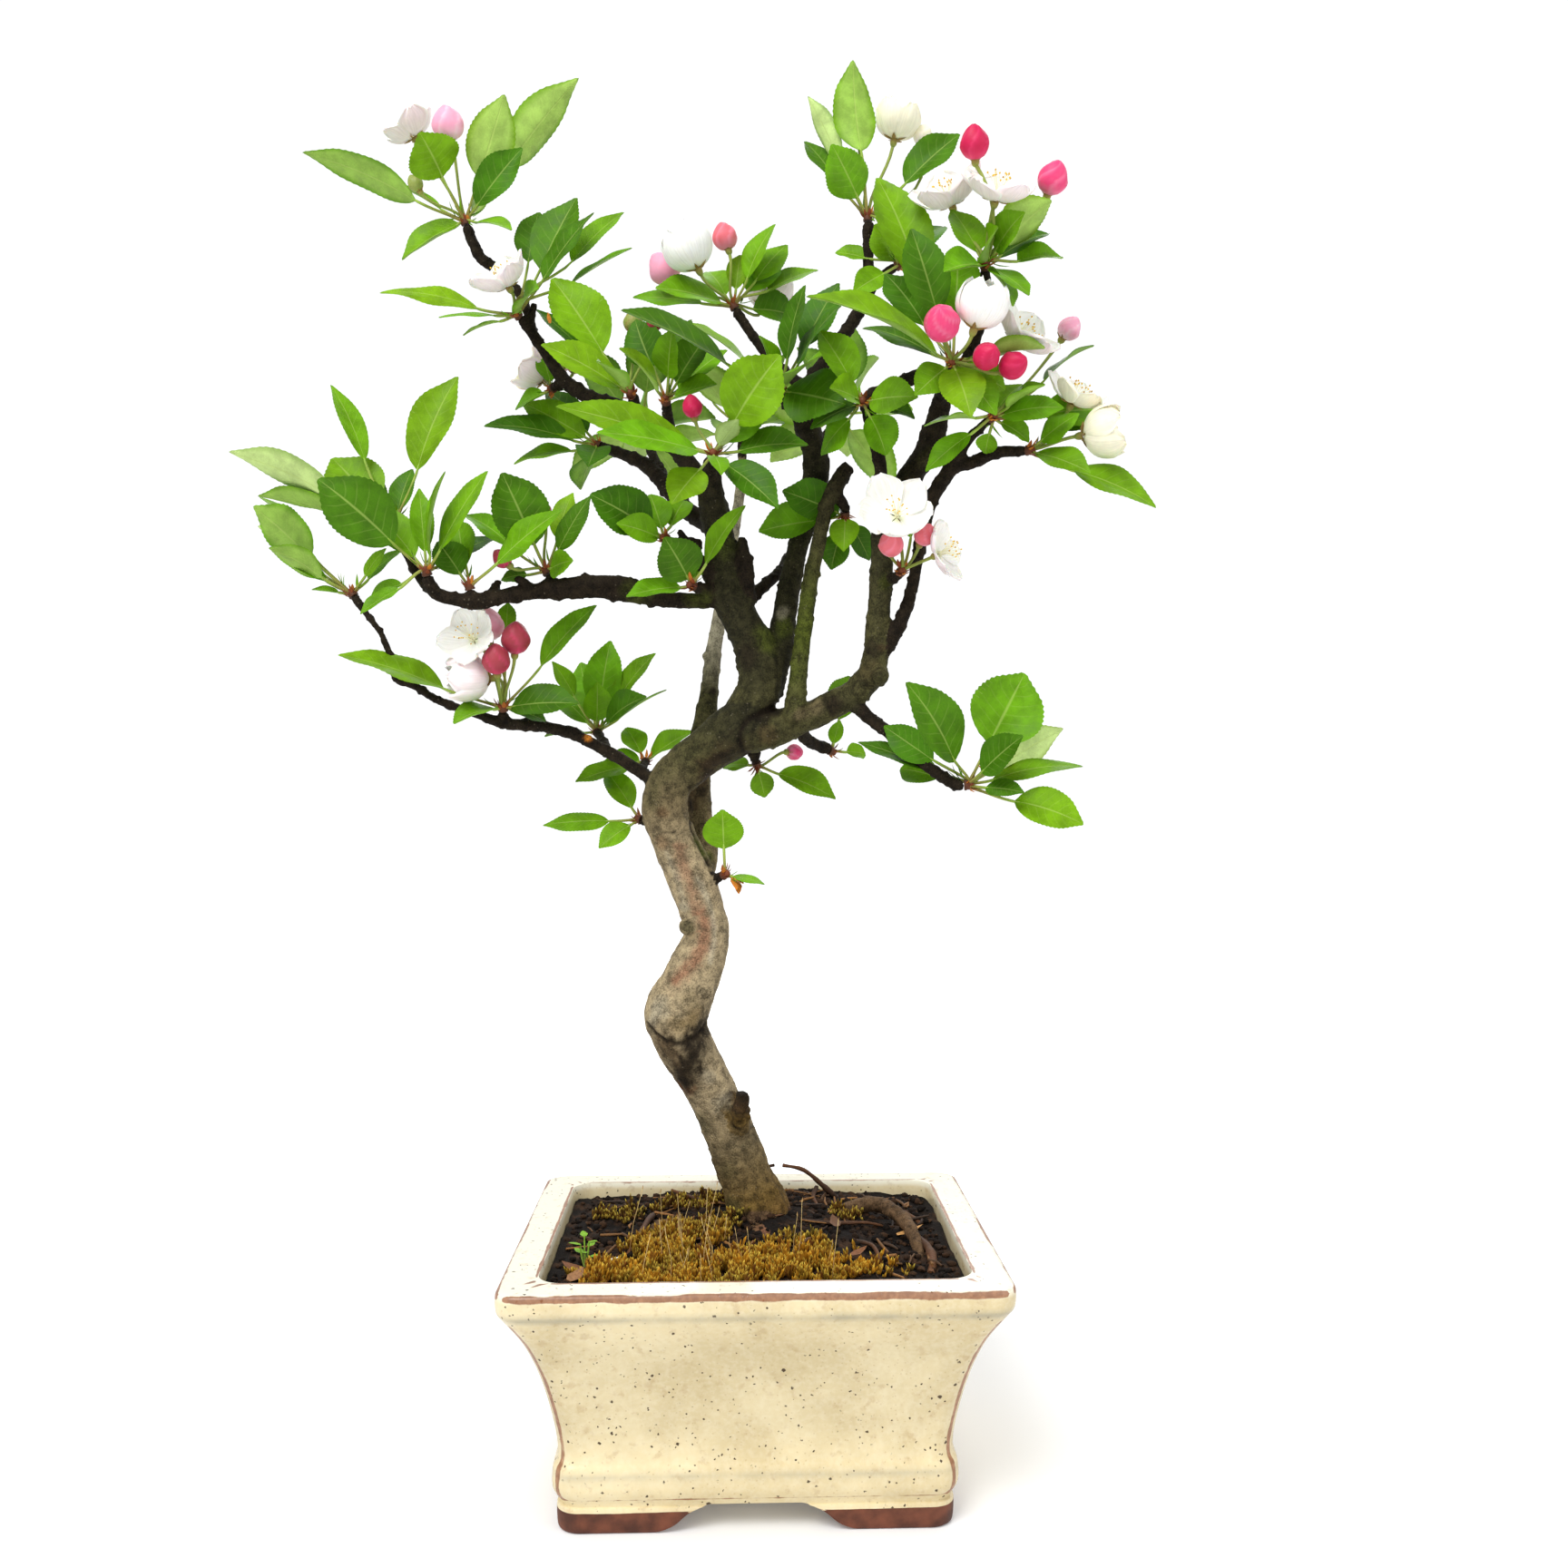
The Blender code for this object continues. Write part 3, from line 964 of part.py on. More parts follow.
def spray_leaves(name, spray):
    """Return the leaves of a spray, each as a dictionary of its places and sizes."""
    spur, heading = spray_frame(spray)
    depth_here = spray["at"][2]
    leaves = []
    draw = random.Random(name)
    for u, v, depth, width, facing, share in spray.get("leaves", []):
        if width < TINY_LEAF:
            continue
        toward = facing * TO_EYE + math.sqrt(1 - facing ** 2) * UP
        leaves.append({"tip": place(u, v, depth_here + depth), "width": width * MM, "toward": toward,
                       "share": share})
    around = heading.orthogonal().normalized()
    count = spray.get("whorl", 0)
    for index in range(count):
        lean = math.acos(0.95 - 1.15 * (index + 0.5) / count)
        side = Quaternion(heading, GOLDEN_ANGLE * index) @ around
        direction = heading * math.cos(lean) + side * math.sin(lean)
        length = draw.uniform(*WHORL_LENGTH) * MM
        leaves.append({"tip": spur + direction * length, "width": draw.uniform(*WHORL_WIDTH) * MM,
                       "toward": heading * 0.8 + UP * 0.6, "share": draw.uniform(*WHORL_SHARE)})
    for leaf in leaves:
        leaf["root"] = spur_root(spray, leaf["tip"])
        leaf["heading"] = heading
        leaf["base"] = leaf["root"].lerp(leaf["tip"], leaf["share"])
        leaf["arch"] = draw.uniform(*ARCH_RANGE)
        leaf["fold"] = draw.uniform(*FOLD_RANGE)
        leaf["wave"] = draw.uniform(*WAVE_RANGE)
    return leaves


def bloom_shape(bloom, grow=0.0):
    """Return the corners and faces of an open bloom: a cup of one thickness with five lobes."""
    widest = math.radians(CUP_SHUT + (CUP_OPEN - CUP_SHUT) * bloom["open"])
    radius = bloom["radius"]
    if widest < math.pi / 2:
        radius /= math.sin(widest)
    axis = bloom["axis"]
    across = axis.orthogonal().normalized()
    centre = bloom["base"] + axis * radius
    corners = []
    half_thick = PETAL_THICK / 2 + grow
    for share, skin in ((0.5, half_thick), (1, half_thick), (1, -half_thick)):
        for step in range(BLOOM_STEPS):
            notch = LOBE_NOTCH if share == 1 and step % 3 == 0 else 1
            tilt = (0, 1, -1)[step % 3] * LOBE_TILT * share
            lean = widest * share * notch
            side = Quaternion(axis, math.tau * step / BLOOM_STEPS) @ across
            reach = radius * (1 + tilt) + skin
            corners.append(centre + (side * math.sin(lean) - axis * math.cos(lean)) * reach)
    corners.append(centre - axis * (radius + PETAL_THICK / 2 + grow))
    corners.append(centre - axis * (radius - PETAL_THICK / 2 - STAMEN_RISE))
    faces = []
    for step in range(BLOOM_STEPS):
        beside = (step + 1) % BLOOM_STEPS
        faces.append((step, beside, 3 * BLOOM_STEPS))
        faces.append((2 * BLOOM_STEPS + step, 2 * BLOOM_STEPS + beside, 3 * BLOOM_STEPS + 1))
        for start in (0, BLOOM_STEPS):
            first = start + step
            second = start + beside
            faces.append((first, second, second + BLOOM_STEPS))
            faces.append((first, second + BLOOM_STEPS, first + BLOOM_STEPS))
    return corners, faces


def bloom_spot(name):
    """Return a bloom as a dictionary of its places and sizes."""
    bearer, (u, v, depth), radius, facing, openness = BLOOMS[name]
    spray = SPRAYS[bearer]
    axis = (Matrix.Rotation(-VIEW_TURN, 3, "Z") @ Vector(facing)).normalized()
    middle = place(u, v, spray["at"][2] + depth)
    return {"middle": middle, "axis": axis, "radius": radius * MM, "open": openness,
            "root": spur_root(spray, middle), "heading": spray_frame(spray)[1]}


def bud_spot(spray, bud):
    """Return a bud as a dictionary of its places and sizes."""
    u, v, depth, radius, openness = bud
    spur, heading = spray_frame(spray)
    middle = place(u, v, spray["at"][2] + depth)
    axis = ((middle - spur).normalized() + heading + UP * 0.4).normalized()
    return {"middle": middle, "axis": axis, "radius": radius * MM, "stretch": BUD_STRETCH - 0.2 * openness,
            "root": spur_root(spray, middle), "heading": heading}


def flower_options(flower):
    """Yield a bud or bloom as it was read from the view, then the same one moved or on a bowed stalk."""
    ray = (flower["middle"] - EYE).normalized()
    for shift in DEPTH_SHIFTS:
        for bend in STALK_BENDS:
            option = dict(flower)
            option["bend"] = bend
            option["middle"] = flower["middle"] + ray * shift * MM
            if "open" in flower:
                drop = flower["radius"] * (1 - 0.5 * flower["open"])
                option["base"] = option["middle"] - flower["axis"] * drop
            yield option


def stem_shape(path, radii, sides, grow=0.0):
    """Return the corners and faces of a round stem along a path; a last radius of 0 gives it a point."""
    along = (path[1] - path[0]).normalized()
    side = along.orthogonal().normalized()
    corners = []
    faces = []
    rings = sum(1 for radius in radii if radius)
    for index in range(rings):
        if index > 0:
            along = (path[min(index + 1, len(path) - 1)] - path[index - 1]).normalized()
        side = (side - along * side.dot(along)).normalized()
        for step in range(sides):
            spoke = Quaternion(along, math.tau * step / sides) @ side
            corners.append(path[index] + spoke * (radii[index] + min(index, 1) * grow))
    for start in range(0, sides * (rings - 1), sides):
        for step in range(sides):
            beside = (step + 1) % sides
            faces.append((start + step, start + beside, start + beside + sides, start + step + sides))
    faces.append(tuple(range(sides)))
    last = sides * (rings - 1)
    if rings < len(path):
        corners.append(path[-1] + along * grow)
        faces += [(last + step, last + (step + 1) % sides, last + sides) for step in range(sides)]
    else:
        faces.append(tuple(range(last, last + sides)))
    return corners, faces


def spur_root(spray, goal):
    """Return the point inside a spur where the stalk that leads to a goal starts."""
    spur, heading = spray_frame(spray)
    centre = spur - heading * SPUR_LENGTH / 2
    aside = goal - centre
    forward = aside.normalized().dot(heading)
    aside -= heading * aside.dot(heading)
    return centre + aside.normalized() * ROOT_OFFSET + heading * forward * ROOT_OFFSET


def bud_shape(bud, grow=0.0):
    """Return the corners and faces of a bud with its stalk."""
    length = 2 * bud["radius"] * bud["stretch"]
    foot = bud["middle"] - bud["axis"] * length / 2
    path = stalk_points(bud["root"], bud["heading"], foot, bud["axis"], 3, bud["bend"])
    path += [foot + bud["axis"] * length * share for share in (0.36, 0.76, 1)]
    radii = [STALK_RADIUS] * 2 + [STALK_RADIUS * 1.3, bud["radius"], bud["radius"] * 0.7, 0]
    return stem_shape(path, radii, BUD_SIDES, grow)


def bloom_stalk_shape(bloom, grow=0.0):
    """Return the corners and faces of a bloom's stalk, which widens to the green cup under the petals."""
    top = bloom["base"] - bloom["axis"] * (PETAL_THICK / 2 + GAP + grow)
    foot = top - bloom["axis"] * CALYX_LENGTH
    path = stalk_points(bloom["root"], bloom["heading"], foot, bloom["axis"], 3, bloom["bend"]) + [top]
    return stem_shape(path, [STALK_RADIUS] * 3 + [CALYX_RADIUS], BUD_SIDES, grow)


@functools.cache
def spur_obstacle(name):
    """Return a spray's spur as an obstacle."""
    mesh = spur_mesh(SPRAYS[name])
    found = obstacle(*mesh_shape(mesh))
    bpy.data.meshes.remove(mesh)
    return found


def spur_mesh(spray):
    """Return the short spur that carries a spray's stalks."""
    tip, heading = spray_frame(spray)
    shape = bmesh.new()
    turn = heading.to_track_quat("Z", "Y").to_matrix().to_4x4()
    middle = Matrix.Translation(tip - heading * SPUR_LENGTH / 2)
    bmesh.ops.create_cone(shape, cap_ends=True, segments=5, radius1=SPUR_LOW, radius2=SPUR_HIGH,
                          depth=SPUR_LENGTH, matrix=middle @ turn)
    return new_mesh("spur", shape)


def mesh_shape(mesh):
    """Return a mesh's corners and faces, as the leaf and bloom functions give them."""
    return [corner.co.copy() for corner in mesh.vertices], [tuple(face.vertices) for face in mesh.polygons]


def obstacle(corners, faces):
    """Return what a clearance test needs of a solid: its search tree and its box."""
    low = Vector([min(corner[axis] for corner in corners) for axis in range(3)])
    high = Vector([max(corner[axis] for corner in corners) for axis in range(3)])
    return BVHTree.FromPolygons(corners, faces), low, high


def is_clear(shape, others):
    """Say whether a shape's surface crosses none of the others."""
    tree, low, high = obstacle(*shape)
    for other_tree, other_low, other_high in others:
        apart = any(low[axis] > other_high[axis] or high[axis] < other_low[axis] for axis in range(3))
        if not apart and tree.overlap(other_tree):
            return False
    return True


def first_clear(options, builders, strict, loose):
    """Return the first option that clears everything, or else the first that clears what it must."""
    fallback = None
    for option in options:
        shapes = [build(option, MARGIN) for build in builders]
        folded = len(shapes) > 1 and not is_clear(shapes[1], [obstacle(*shapes[0])])
        if not folded and all(is_clear(shape, strict) for shape in shapes):
            if all(is_clear(shape, loose) for shape in shapes):
                return option
            fallback = fallback or option
    return fallback


def upper_part(shape, first):
    """Return a shape without the faces near its root, where the stalks of one spray run into each other."""
    corners, faces = shape
    return corners, [face for face in faces if min(face) >= first]


def make_flowers(parts, petal_skin, wood_obstacle):
    """Make the blooms, and return them as obstacles, with the shapes of each spray's stalks and buds."""
    blooms = []
    stems = {name: [] for name in SPRAYS}
    for name, entry in BLOOMS.items():
        bearer = entry[0]
        strict = [wood_obstacle] + blooms + stem_obstacles(stems, bearer)
        bloom = first_clear(flower_options(bloom_spot(name)), (bloom_shape, bloom_stalk_shape), strict, [])
        cup = bloom_shape(bloom)
        blooms.append(obstacle(*cup))
        new_object(name, solid_mesh(name, *cup), parts, petal_skin)
        stems[bearer].append(bloom_stalk_shape(bloom))
    for name, spray in SPRAYS.items():
        for entry in spray["buds"]:
            strict = [wood_obstacle] + blooms + stem_obstacles(stems, name)
            bud = first_clear(flower_options(bud_spot(spray, entry)), (bud_shape,), strict, [])
            stems[name].append(bud_shape(bud))
    return blooms, stems


def others(stems, name):
    """Return the stems of all the sprays but one."""
    return {other: shapes for other, shapes in stems.items() if other != name}


def stem_obstacles(stems, bearer):
    """Return the spurs, stalks and buds as obstacles, those of one spray without its spur and their roots."""
    found = [spur_obstacle(name) for name in SPRAYS if name != bearer]
    for name, shapes in stems.items():
        for shape in shapes:
            found.append(obstacle(*upper_part(shape, 2 * BUD_SIDES if name == bearer else 0)))
    return found


def make_sprays(parts, skin, wood_obstacle, blooms, stems):
    """Make each spray of leaves: its spur, leaves, flower stalks and buds as one body, clear of the rest."""
    placed = []
    for name, spray in SPRAYS.items():
        strict = [wood_obstacle] + blooms + placed + stem_obstacles(others(stems, name), name)
        own = [obstacle(*upper_part(stem, 2 * BUD_SIDES)) for stem in stems[name]]
        meshes = [spur_mesh(spray)]
        for leaf in spray_leaves(name, spray):
            settled = first_clear(leaf_options(leaf), (leaf_shape,), strict, own)
            corners, faces = leaf_shape(settled)
            root_corners = 3
            own.append(obstacle(corners, [face for face in faces if max(face) < len(corners) - root_corners]))
            meshes.append(solid_mesh("leaf", corners, faces))
        meshes += [solid_mesh("stem", *stem) for stem in stems[name]]
        body = fuse(name, meshes, parts, skin)
        placed.append(obstacle(*mesh_shape(body.data)))


def main():
    """Build the bonsai."""
    clear_scene()
    parts = new_collection("crabapple_bonsai")
    cutters = new_collection("cutters")
    glaze = new_material("glazed_pot", (0.79, 0.72, 0.56), 0.25)
    earth = new_material("soil", (0.09, 0.06, 0.045), 0.95)
    plastic = new_material("mesh_plastic", (0.03, 0.03, 0.03), 0.6)
    bark = new_material("bark", (0.26, 0.21, 0.16), 0.85)
    leaf_green = new_material("leaf", (0.16, 0.32, 0.06), 0.5)
    petal = new_material("petal", (0.86, 0.8, 0.76), 0.6)
    moss = new_material("moss", (0.34, 0.28, 0.07), 0.95)

    make_pot(parts, cutters, glaze)
    for side, name in ((-1, "drain_mesh_left"), (1, "drain_mesh_right")):
        make_drain_mesh(name, side * DRAIN_SPACING / 2, parts, plastic)
    soil = make_soil(parts, cutters, earth, wood_meshes(HOLE_GAP, True))
    bpy.context.view_layer.update()
    ground = bpy.data.meshes.new_from_object(soil.evaluated_get(bpy.context.evaluated_depsgraph_get()))
    ground.transform(soil.matrix_world)
    soil_tree = obstacle(*mesh_shape(ground))[0]
    bpy.data.meshes.remove(ground)
    for name, pad in MOSS_PADS.items():
        make_moss(name, pad, parts, moss, soil_tree)

    wood = fuse("trunk_and_branches", wood_meshes(), parts, bark)
    wood.data.shade_smooth()
    wood_obstacle = obstacle(*mesh_shape(wood.data))
    blooms, stems = make_flowers(parts, petal, wood_obstacle)
    make_sprays(parts, leaf_green, wood_obstacle, blooms, stems)


EYE = place(VIEW_MIDDLE, VIEW_MIDDLE, -VIEW_DISTANCE / MM)
TO_EYE = (EYE - place(VIEW_MIDDLE, VIEW_MIDDLE, 0)).normalized()
main()
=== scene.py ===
"""The looks of a crabapple bonsai in flower: bark, leaves, blooms, moss, soil and glaze.

Everything is in metres, in the part's own frame, unless a comment says otherwise. Leaves, buds and blooms
are read from the same front view as the solids. Each one is then matched to its solid and takes its place.
"""

import math
import random

import bmesh
import bpy
from mathutils import Matrix, Quaternion, Vector, noise
from mathutils.bvhtree import BVHTree
from mathutils.kdtree import KDTree


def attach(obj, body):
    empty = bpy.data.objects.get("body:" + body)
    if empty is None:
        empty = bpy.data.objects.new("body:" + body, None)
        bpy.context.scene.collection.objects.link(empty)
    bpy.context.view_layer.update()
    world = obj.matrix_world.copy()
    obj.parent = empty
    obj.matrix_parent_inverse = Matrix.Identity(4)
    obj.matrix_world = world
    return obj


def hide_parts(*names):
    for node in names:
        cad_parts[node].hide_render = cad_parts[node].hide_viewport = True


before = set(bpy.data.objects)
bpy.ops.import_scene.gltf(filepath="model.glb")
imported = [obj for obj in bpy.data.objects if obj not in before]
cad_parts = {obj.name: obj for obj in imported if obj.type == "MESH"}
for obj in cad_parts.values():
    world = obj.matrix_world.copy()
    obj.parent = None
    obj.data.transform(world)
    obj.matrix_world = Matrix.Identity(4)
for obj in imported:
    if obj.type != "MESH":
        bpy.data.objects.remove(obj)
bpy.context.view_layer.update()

MM = 0.001
UP = Vector((0, 0, 1))

# The front view that the tree is read from: u to the right and v down, in view units
VIEW_MIDDLE = 864
VIEW_SCALE = 1574
VIEW_WIDTH = 1728
VIEW_DISTANCE = 624 * MM
VIEW_HEIGHT = 294 * MM
VIEW_RIGHT = 13 * MM
VIEW_TURN = math.radians(2)
SENSOR_WIDTH = 36

# From the middle of the pot to the middle of the whole outline
SHIFT = Vector((32, -14, 0)) * MM
TRUNK_FOOT = Vector((2, 22, 0)) * MM

# What the solids' leaves, spurs and flowers are built with
LEAF_THICK = 1.1 * MM
SMALL_LEAF = 18 * MM
TINY_LEAF = 12
LEAF_OUTLINE = [(0, 0.08), (0.22, 0.82), (0.5, 1), (0.79, 0.56)]
SMALL_OUTLINE = [(0, 0.1), (0.3, 0.96), (0.68, 0.8)]
LEAF_SCALES = (1, 0.88, 0.76, 0.64)
LEAF_ROLLS = (0, 20, -20, 40, -40)
STALK_BENDS = ((0, 0), (0.3, 0), (-0.3, 0), (0, 0.3), (0, -0.3), (0.5, 0.3), (-0.5, 0.3))
DEPTH_SHIFTS = (0, -3, 3, -6, 6, -9, 9, -13, 13, -17, 17, -22, 22)
ARCH_RANGE = (0.05, 0.15)
FOLD_RANGE = (0.14, 0.42)
WAVE_RANGE = (0.02, 0.07)
WHORL_LENGTH = (38, 50)
WHORL_WIDTH = (17, 23)
WHORL_SHARE = (0.2, 0.36)
GOLDEN_ANGLE = math.radians(137.5)
SPUR_LENGTH = 3.2 * MM
TWIG_END = 2.1 * MM
STRAIGHT_LEAN = 95
STALK_RADIUS = 0.7 * MM
CALYX_LENGTH = 3 * MM
CALYX_RADIUS = 1.9 * MM
BUD_STRETCH = 1.35
ROOT_OFFSET = 0.7 * MM
PETAL_THICK = 0.8 * MM
LOBE_TILT = 0.035
BLOOM_STEPS = 15
CUP_SHUT = 150
CUP_OPEN = 42
GAP = 0.3 * MM
# A leaf or flower this near to its solid, on average, is the one that the solid was made from
MATCHED = 0.02 * MM

# The pot, the soil, and what lies on it
POT_WIDTH = 200 * MM
POT_DEPTH = 168 * MM
POT_CORNER = 9 * MM
POT_PROFILE = [(0, 22.5), (1.5, 21.3), (9.5, 21), (11, 22), (17, 19.4), (25, 19.6), (29, 21.2), (38, 20.6),
               (53, 17.5), (66, 13.8), (78, 8.9), (89, 2.4), (93, 0.2), (99.6, 0), (101, 1.5)]
WALL_INSIDE = [(101, 13.5), (99.6, 15), (85, 15.8), (69, 19.8), (45, 25.5), (19, 28)]
INSIDE_CORNER = 10 * MM
LIP_TOP = 101
LIP_RINGS = [2.6, 12.2]
POT_EDGE = math.radians(38)
POT_STEPS = 4
WALL_STEPS = 3
# Heights, and for the inner edge the inset, of the lines where the glaze is worn or grey, in mm. The grey
# band under the lip is painted shade, and the inner edge line is partly worn and dirty glaze and partly
# painted shade
WORN_LIP = 99.6
WORN_AND_SHADED_INNER = 13.9
WORN_FOOT = 8.6
WORN_RIDGE = 14
SHADE_UNDER_LIP = 91.5
GREY_LOW = 23
CORNER_STEPS = 9
SIDE_STEPS = 24
FLOOR_TOP = 19 * MM
FLOOR_BOTTOM = 12 * MM
FOOT_CLEARANCE = 11 * MM
FOOT_RING = 15 * MM
RECESS_CORNER = 4 * MM
ARCH_TOP_HALF = 18 * MM
ARCH_FOOT_HALF = 41 * MM
ARCH_STEPS = 12
ARCH_BOW = 1.4 * MM
SIDE_ARCH_SHARE = 0.62
DRAIN_RADIUS = 9 * MM
# Above this height the top of the lip is painted paler, as painted light
LIT_LIP_TOP_FROM = 0.0975
DRAIN_SPACING = 64 * MM
CUT_BELOW = 2 * MM
SOIL_LEVEL = 94 * MM
MOUND_HEIGHT = 8 * MM
MOUND_REACH = 52 * MM
SOIL_RELIEF = 1.3 * MM
RELIEF_SIZE = 11 * MM
SOIL_RINGS = 46
CRUMBS = 2600
CRUMB_SIZE = 3.2 * MM
CRUMB_RISE = 1.5 * MM
SWELL_SIZE = 14 * MM
SWELL_RISE = 0.9 * MM
MOSS_PATCH_SIZE = 9 * MM
MOSS_TUFT_SIZE = 3.6 * MM
MOSS_GREEN_SIZE = 16 * MM
MOSS_HEIGHT = 4 * MM
MOSS_EDGE = 0.9 * MM
SHOOTS_PER_AREA = 5.5
TUFT_SHARE = 0.3
MOSS_LIMIT = 0.4
SHOOT_BLADES = 3
STRAWS = 34
DEBRIS = 130
DEBRIS_REACH = (76, 60)

# The roughness of all noise, and the depths in mm from which marks on the bark are looked for
NOISE_ROUGHNESS = 0.55
LOOK_BEFORE = -60
LOOK_PAST = 20

# Bark
BARK_STEP = 2.5 * MM
BARK_VOXEL = 1.06 * MM
THICK_LIMB = 6 * MM
THIN_LIMB = 2.6 * MM
THIN_GROW = 0.15 * MM
RING_STEP = 9 * MM
LUMP_SIZE = 11 * MM
GRAIN_SIZE = 2.6 * MM
GRAIN_RISE = 0.25 * MM
BEAD_SIZE = 4.5 * MM
BEAD_RISE = 1.6 * MM
RING_WANDER = 9 * MM
RING_RISE = 0.3 * MM
PATCH_SIZE = 7 * MM
SPECKLE_SIZE = 3.4 * MM
SPECKLE_SHARE = 0.36
# The trunk and the second stem are smooth above this height
SMOOTH_FROM = 0.14
PATCH_SHIFT = Vector((1, 2, 3))
SCAR_RINGS = 2.4
SCAR_RISE = 0.4 * MM
STREAK_STEP = 0.6 * MM
HIDDEN_SHARE = 0.92

# Leaves
SHARP_RIM = math.radians(75)
BLADE_ROWS = 36
BLADE_COLUMNS = 3
SMALL_BLADE = 16 * MM
BLADE_FOOT = 0.06
BLADE_THICK = 0.4 * MM
BLADE_PUFF = 0.03
TOOTH = 0.022
VEIN_PAIRS = 8
PETIOLE_RADIUS = 0.75 * MM
PETIOLE_RINGS = 8
STIPULE_SHARE = 0.35
LEAF_LIGHT = (-0.12, 0.14)
LEAF_WARMTH = (-0.06, 0.1)
UNDER_LIGHT = (-0.08, 0.1)
BLADE_CURL = (-0.12, 0.2)
BLADE_TWIST = (-14, 14)
SCALE_THICK = 0.15 * MM
SPUR_RINGS = 7
SPUR_SCALES = 9
# The mark of what is no blade
STEM_MARK = (0, 2, 0)

# Blooms and buds
BUD_STALK = (1.1, 1, 0.9, 0.9, 0.9, 0.9, 0.95, 1.05, 1.2)
STALK_SIDES = 7
PETALS = 5
SEPALS = 5
BLOOM_STALK = (1.2, 1, 1, 1, 1, 1, 1, 1.05, 1.1)
BUD_ROWS = 14
BUD_AROUND = 30
PETAL_ROWS = 12
PETAL_COLUMNS = 6
PETAL_SPREAD = math.radians(41)
PETAL_SKIN = 0.3 * MM
PETAL_BOW = 0.06
PETAL_LAP = 0.45 * MM
RUFFLE = 0.7 * MM
NOTCH = 0.04
STAMENS = 16
SHOWS_STAMENS = 0.5
THREAD_RADII = (0.16 * MM, 0.13 * MM, 0.12 * MM)
ANTHER_HALF = 0.55
ANTHER_RADIUS = 0.42
ANTHER_SIDES = 5

# The stage: each light has a name, a place, a size and a power
FLOOR_REACH = 40
FLOOR_GLOW = (0.12, 0.55)
FLOOR_POOL = (0.16, 0.5)
WORLD_STRENGTH = 0.62
WORLD_SHOWN = 1.05
LIGHT_TARGET = Vector((0, 0, 0.3))
LIGHTS = [("key", (-0.8, -1.3, 2.0), 1.2, 40), ("fill", (1.6, -1.2, 1.0), 1.6, 9),
          ("back", (0.5, 1.8, 1.6), 1.6, 20)]

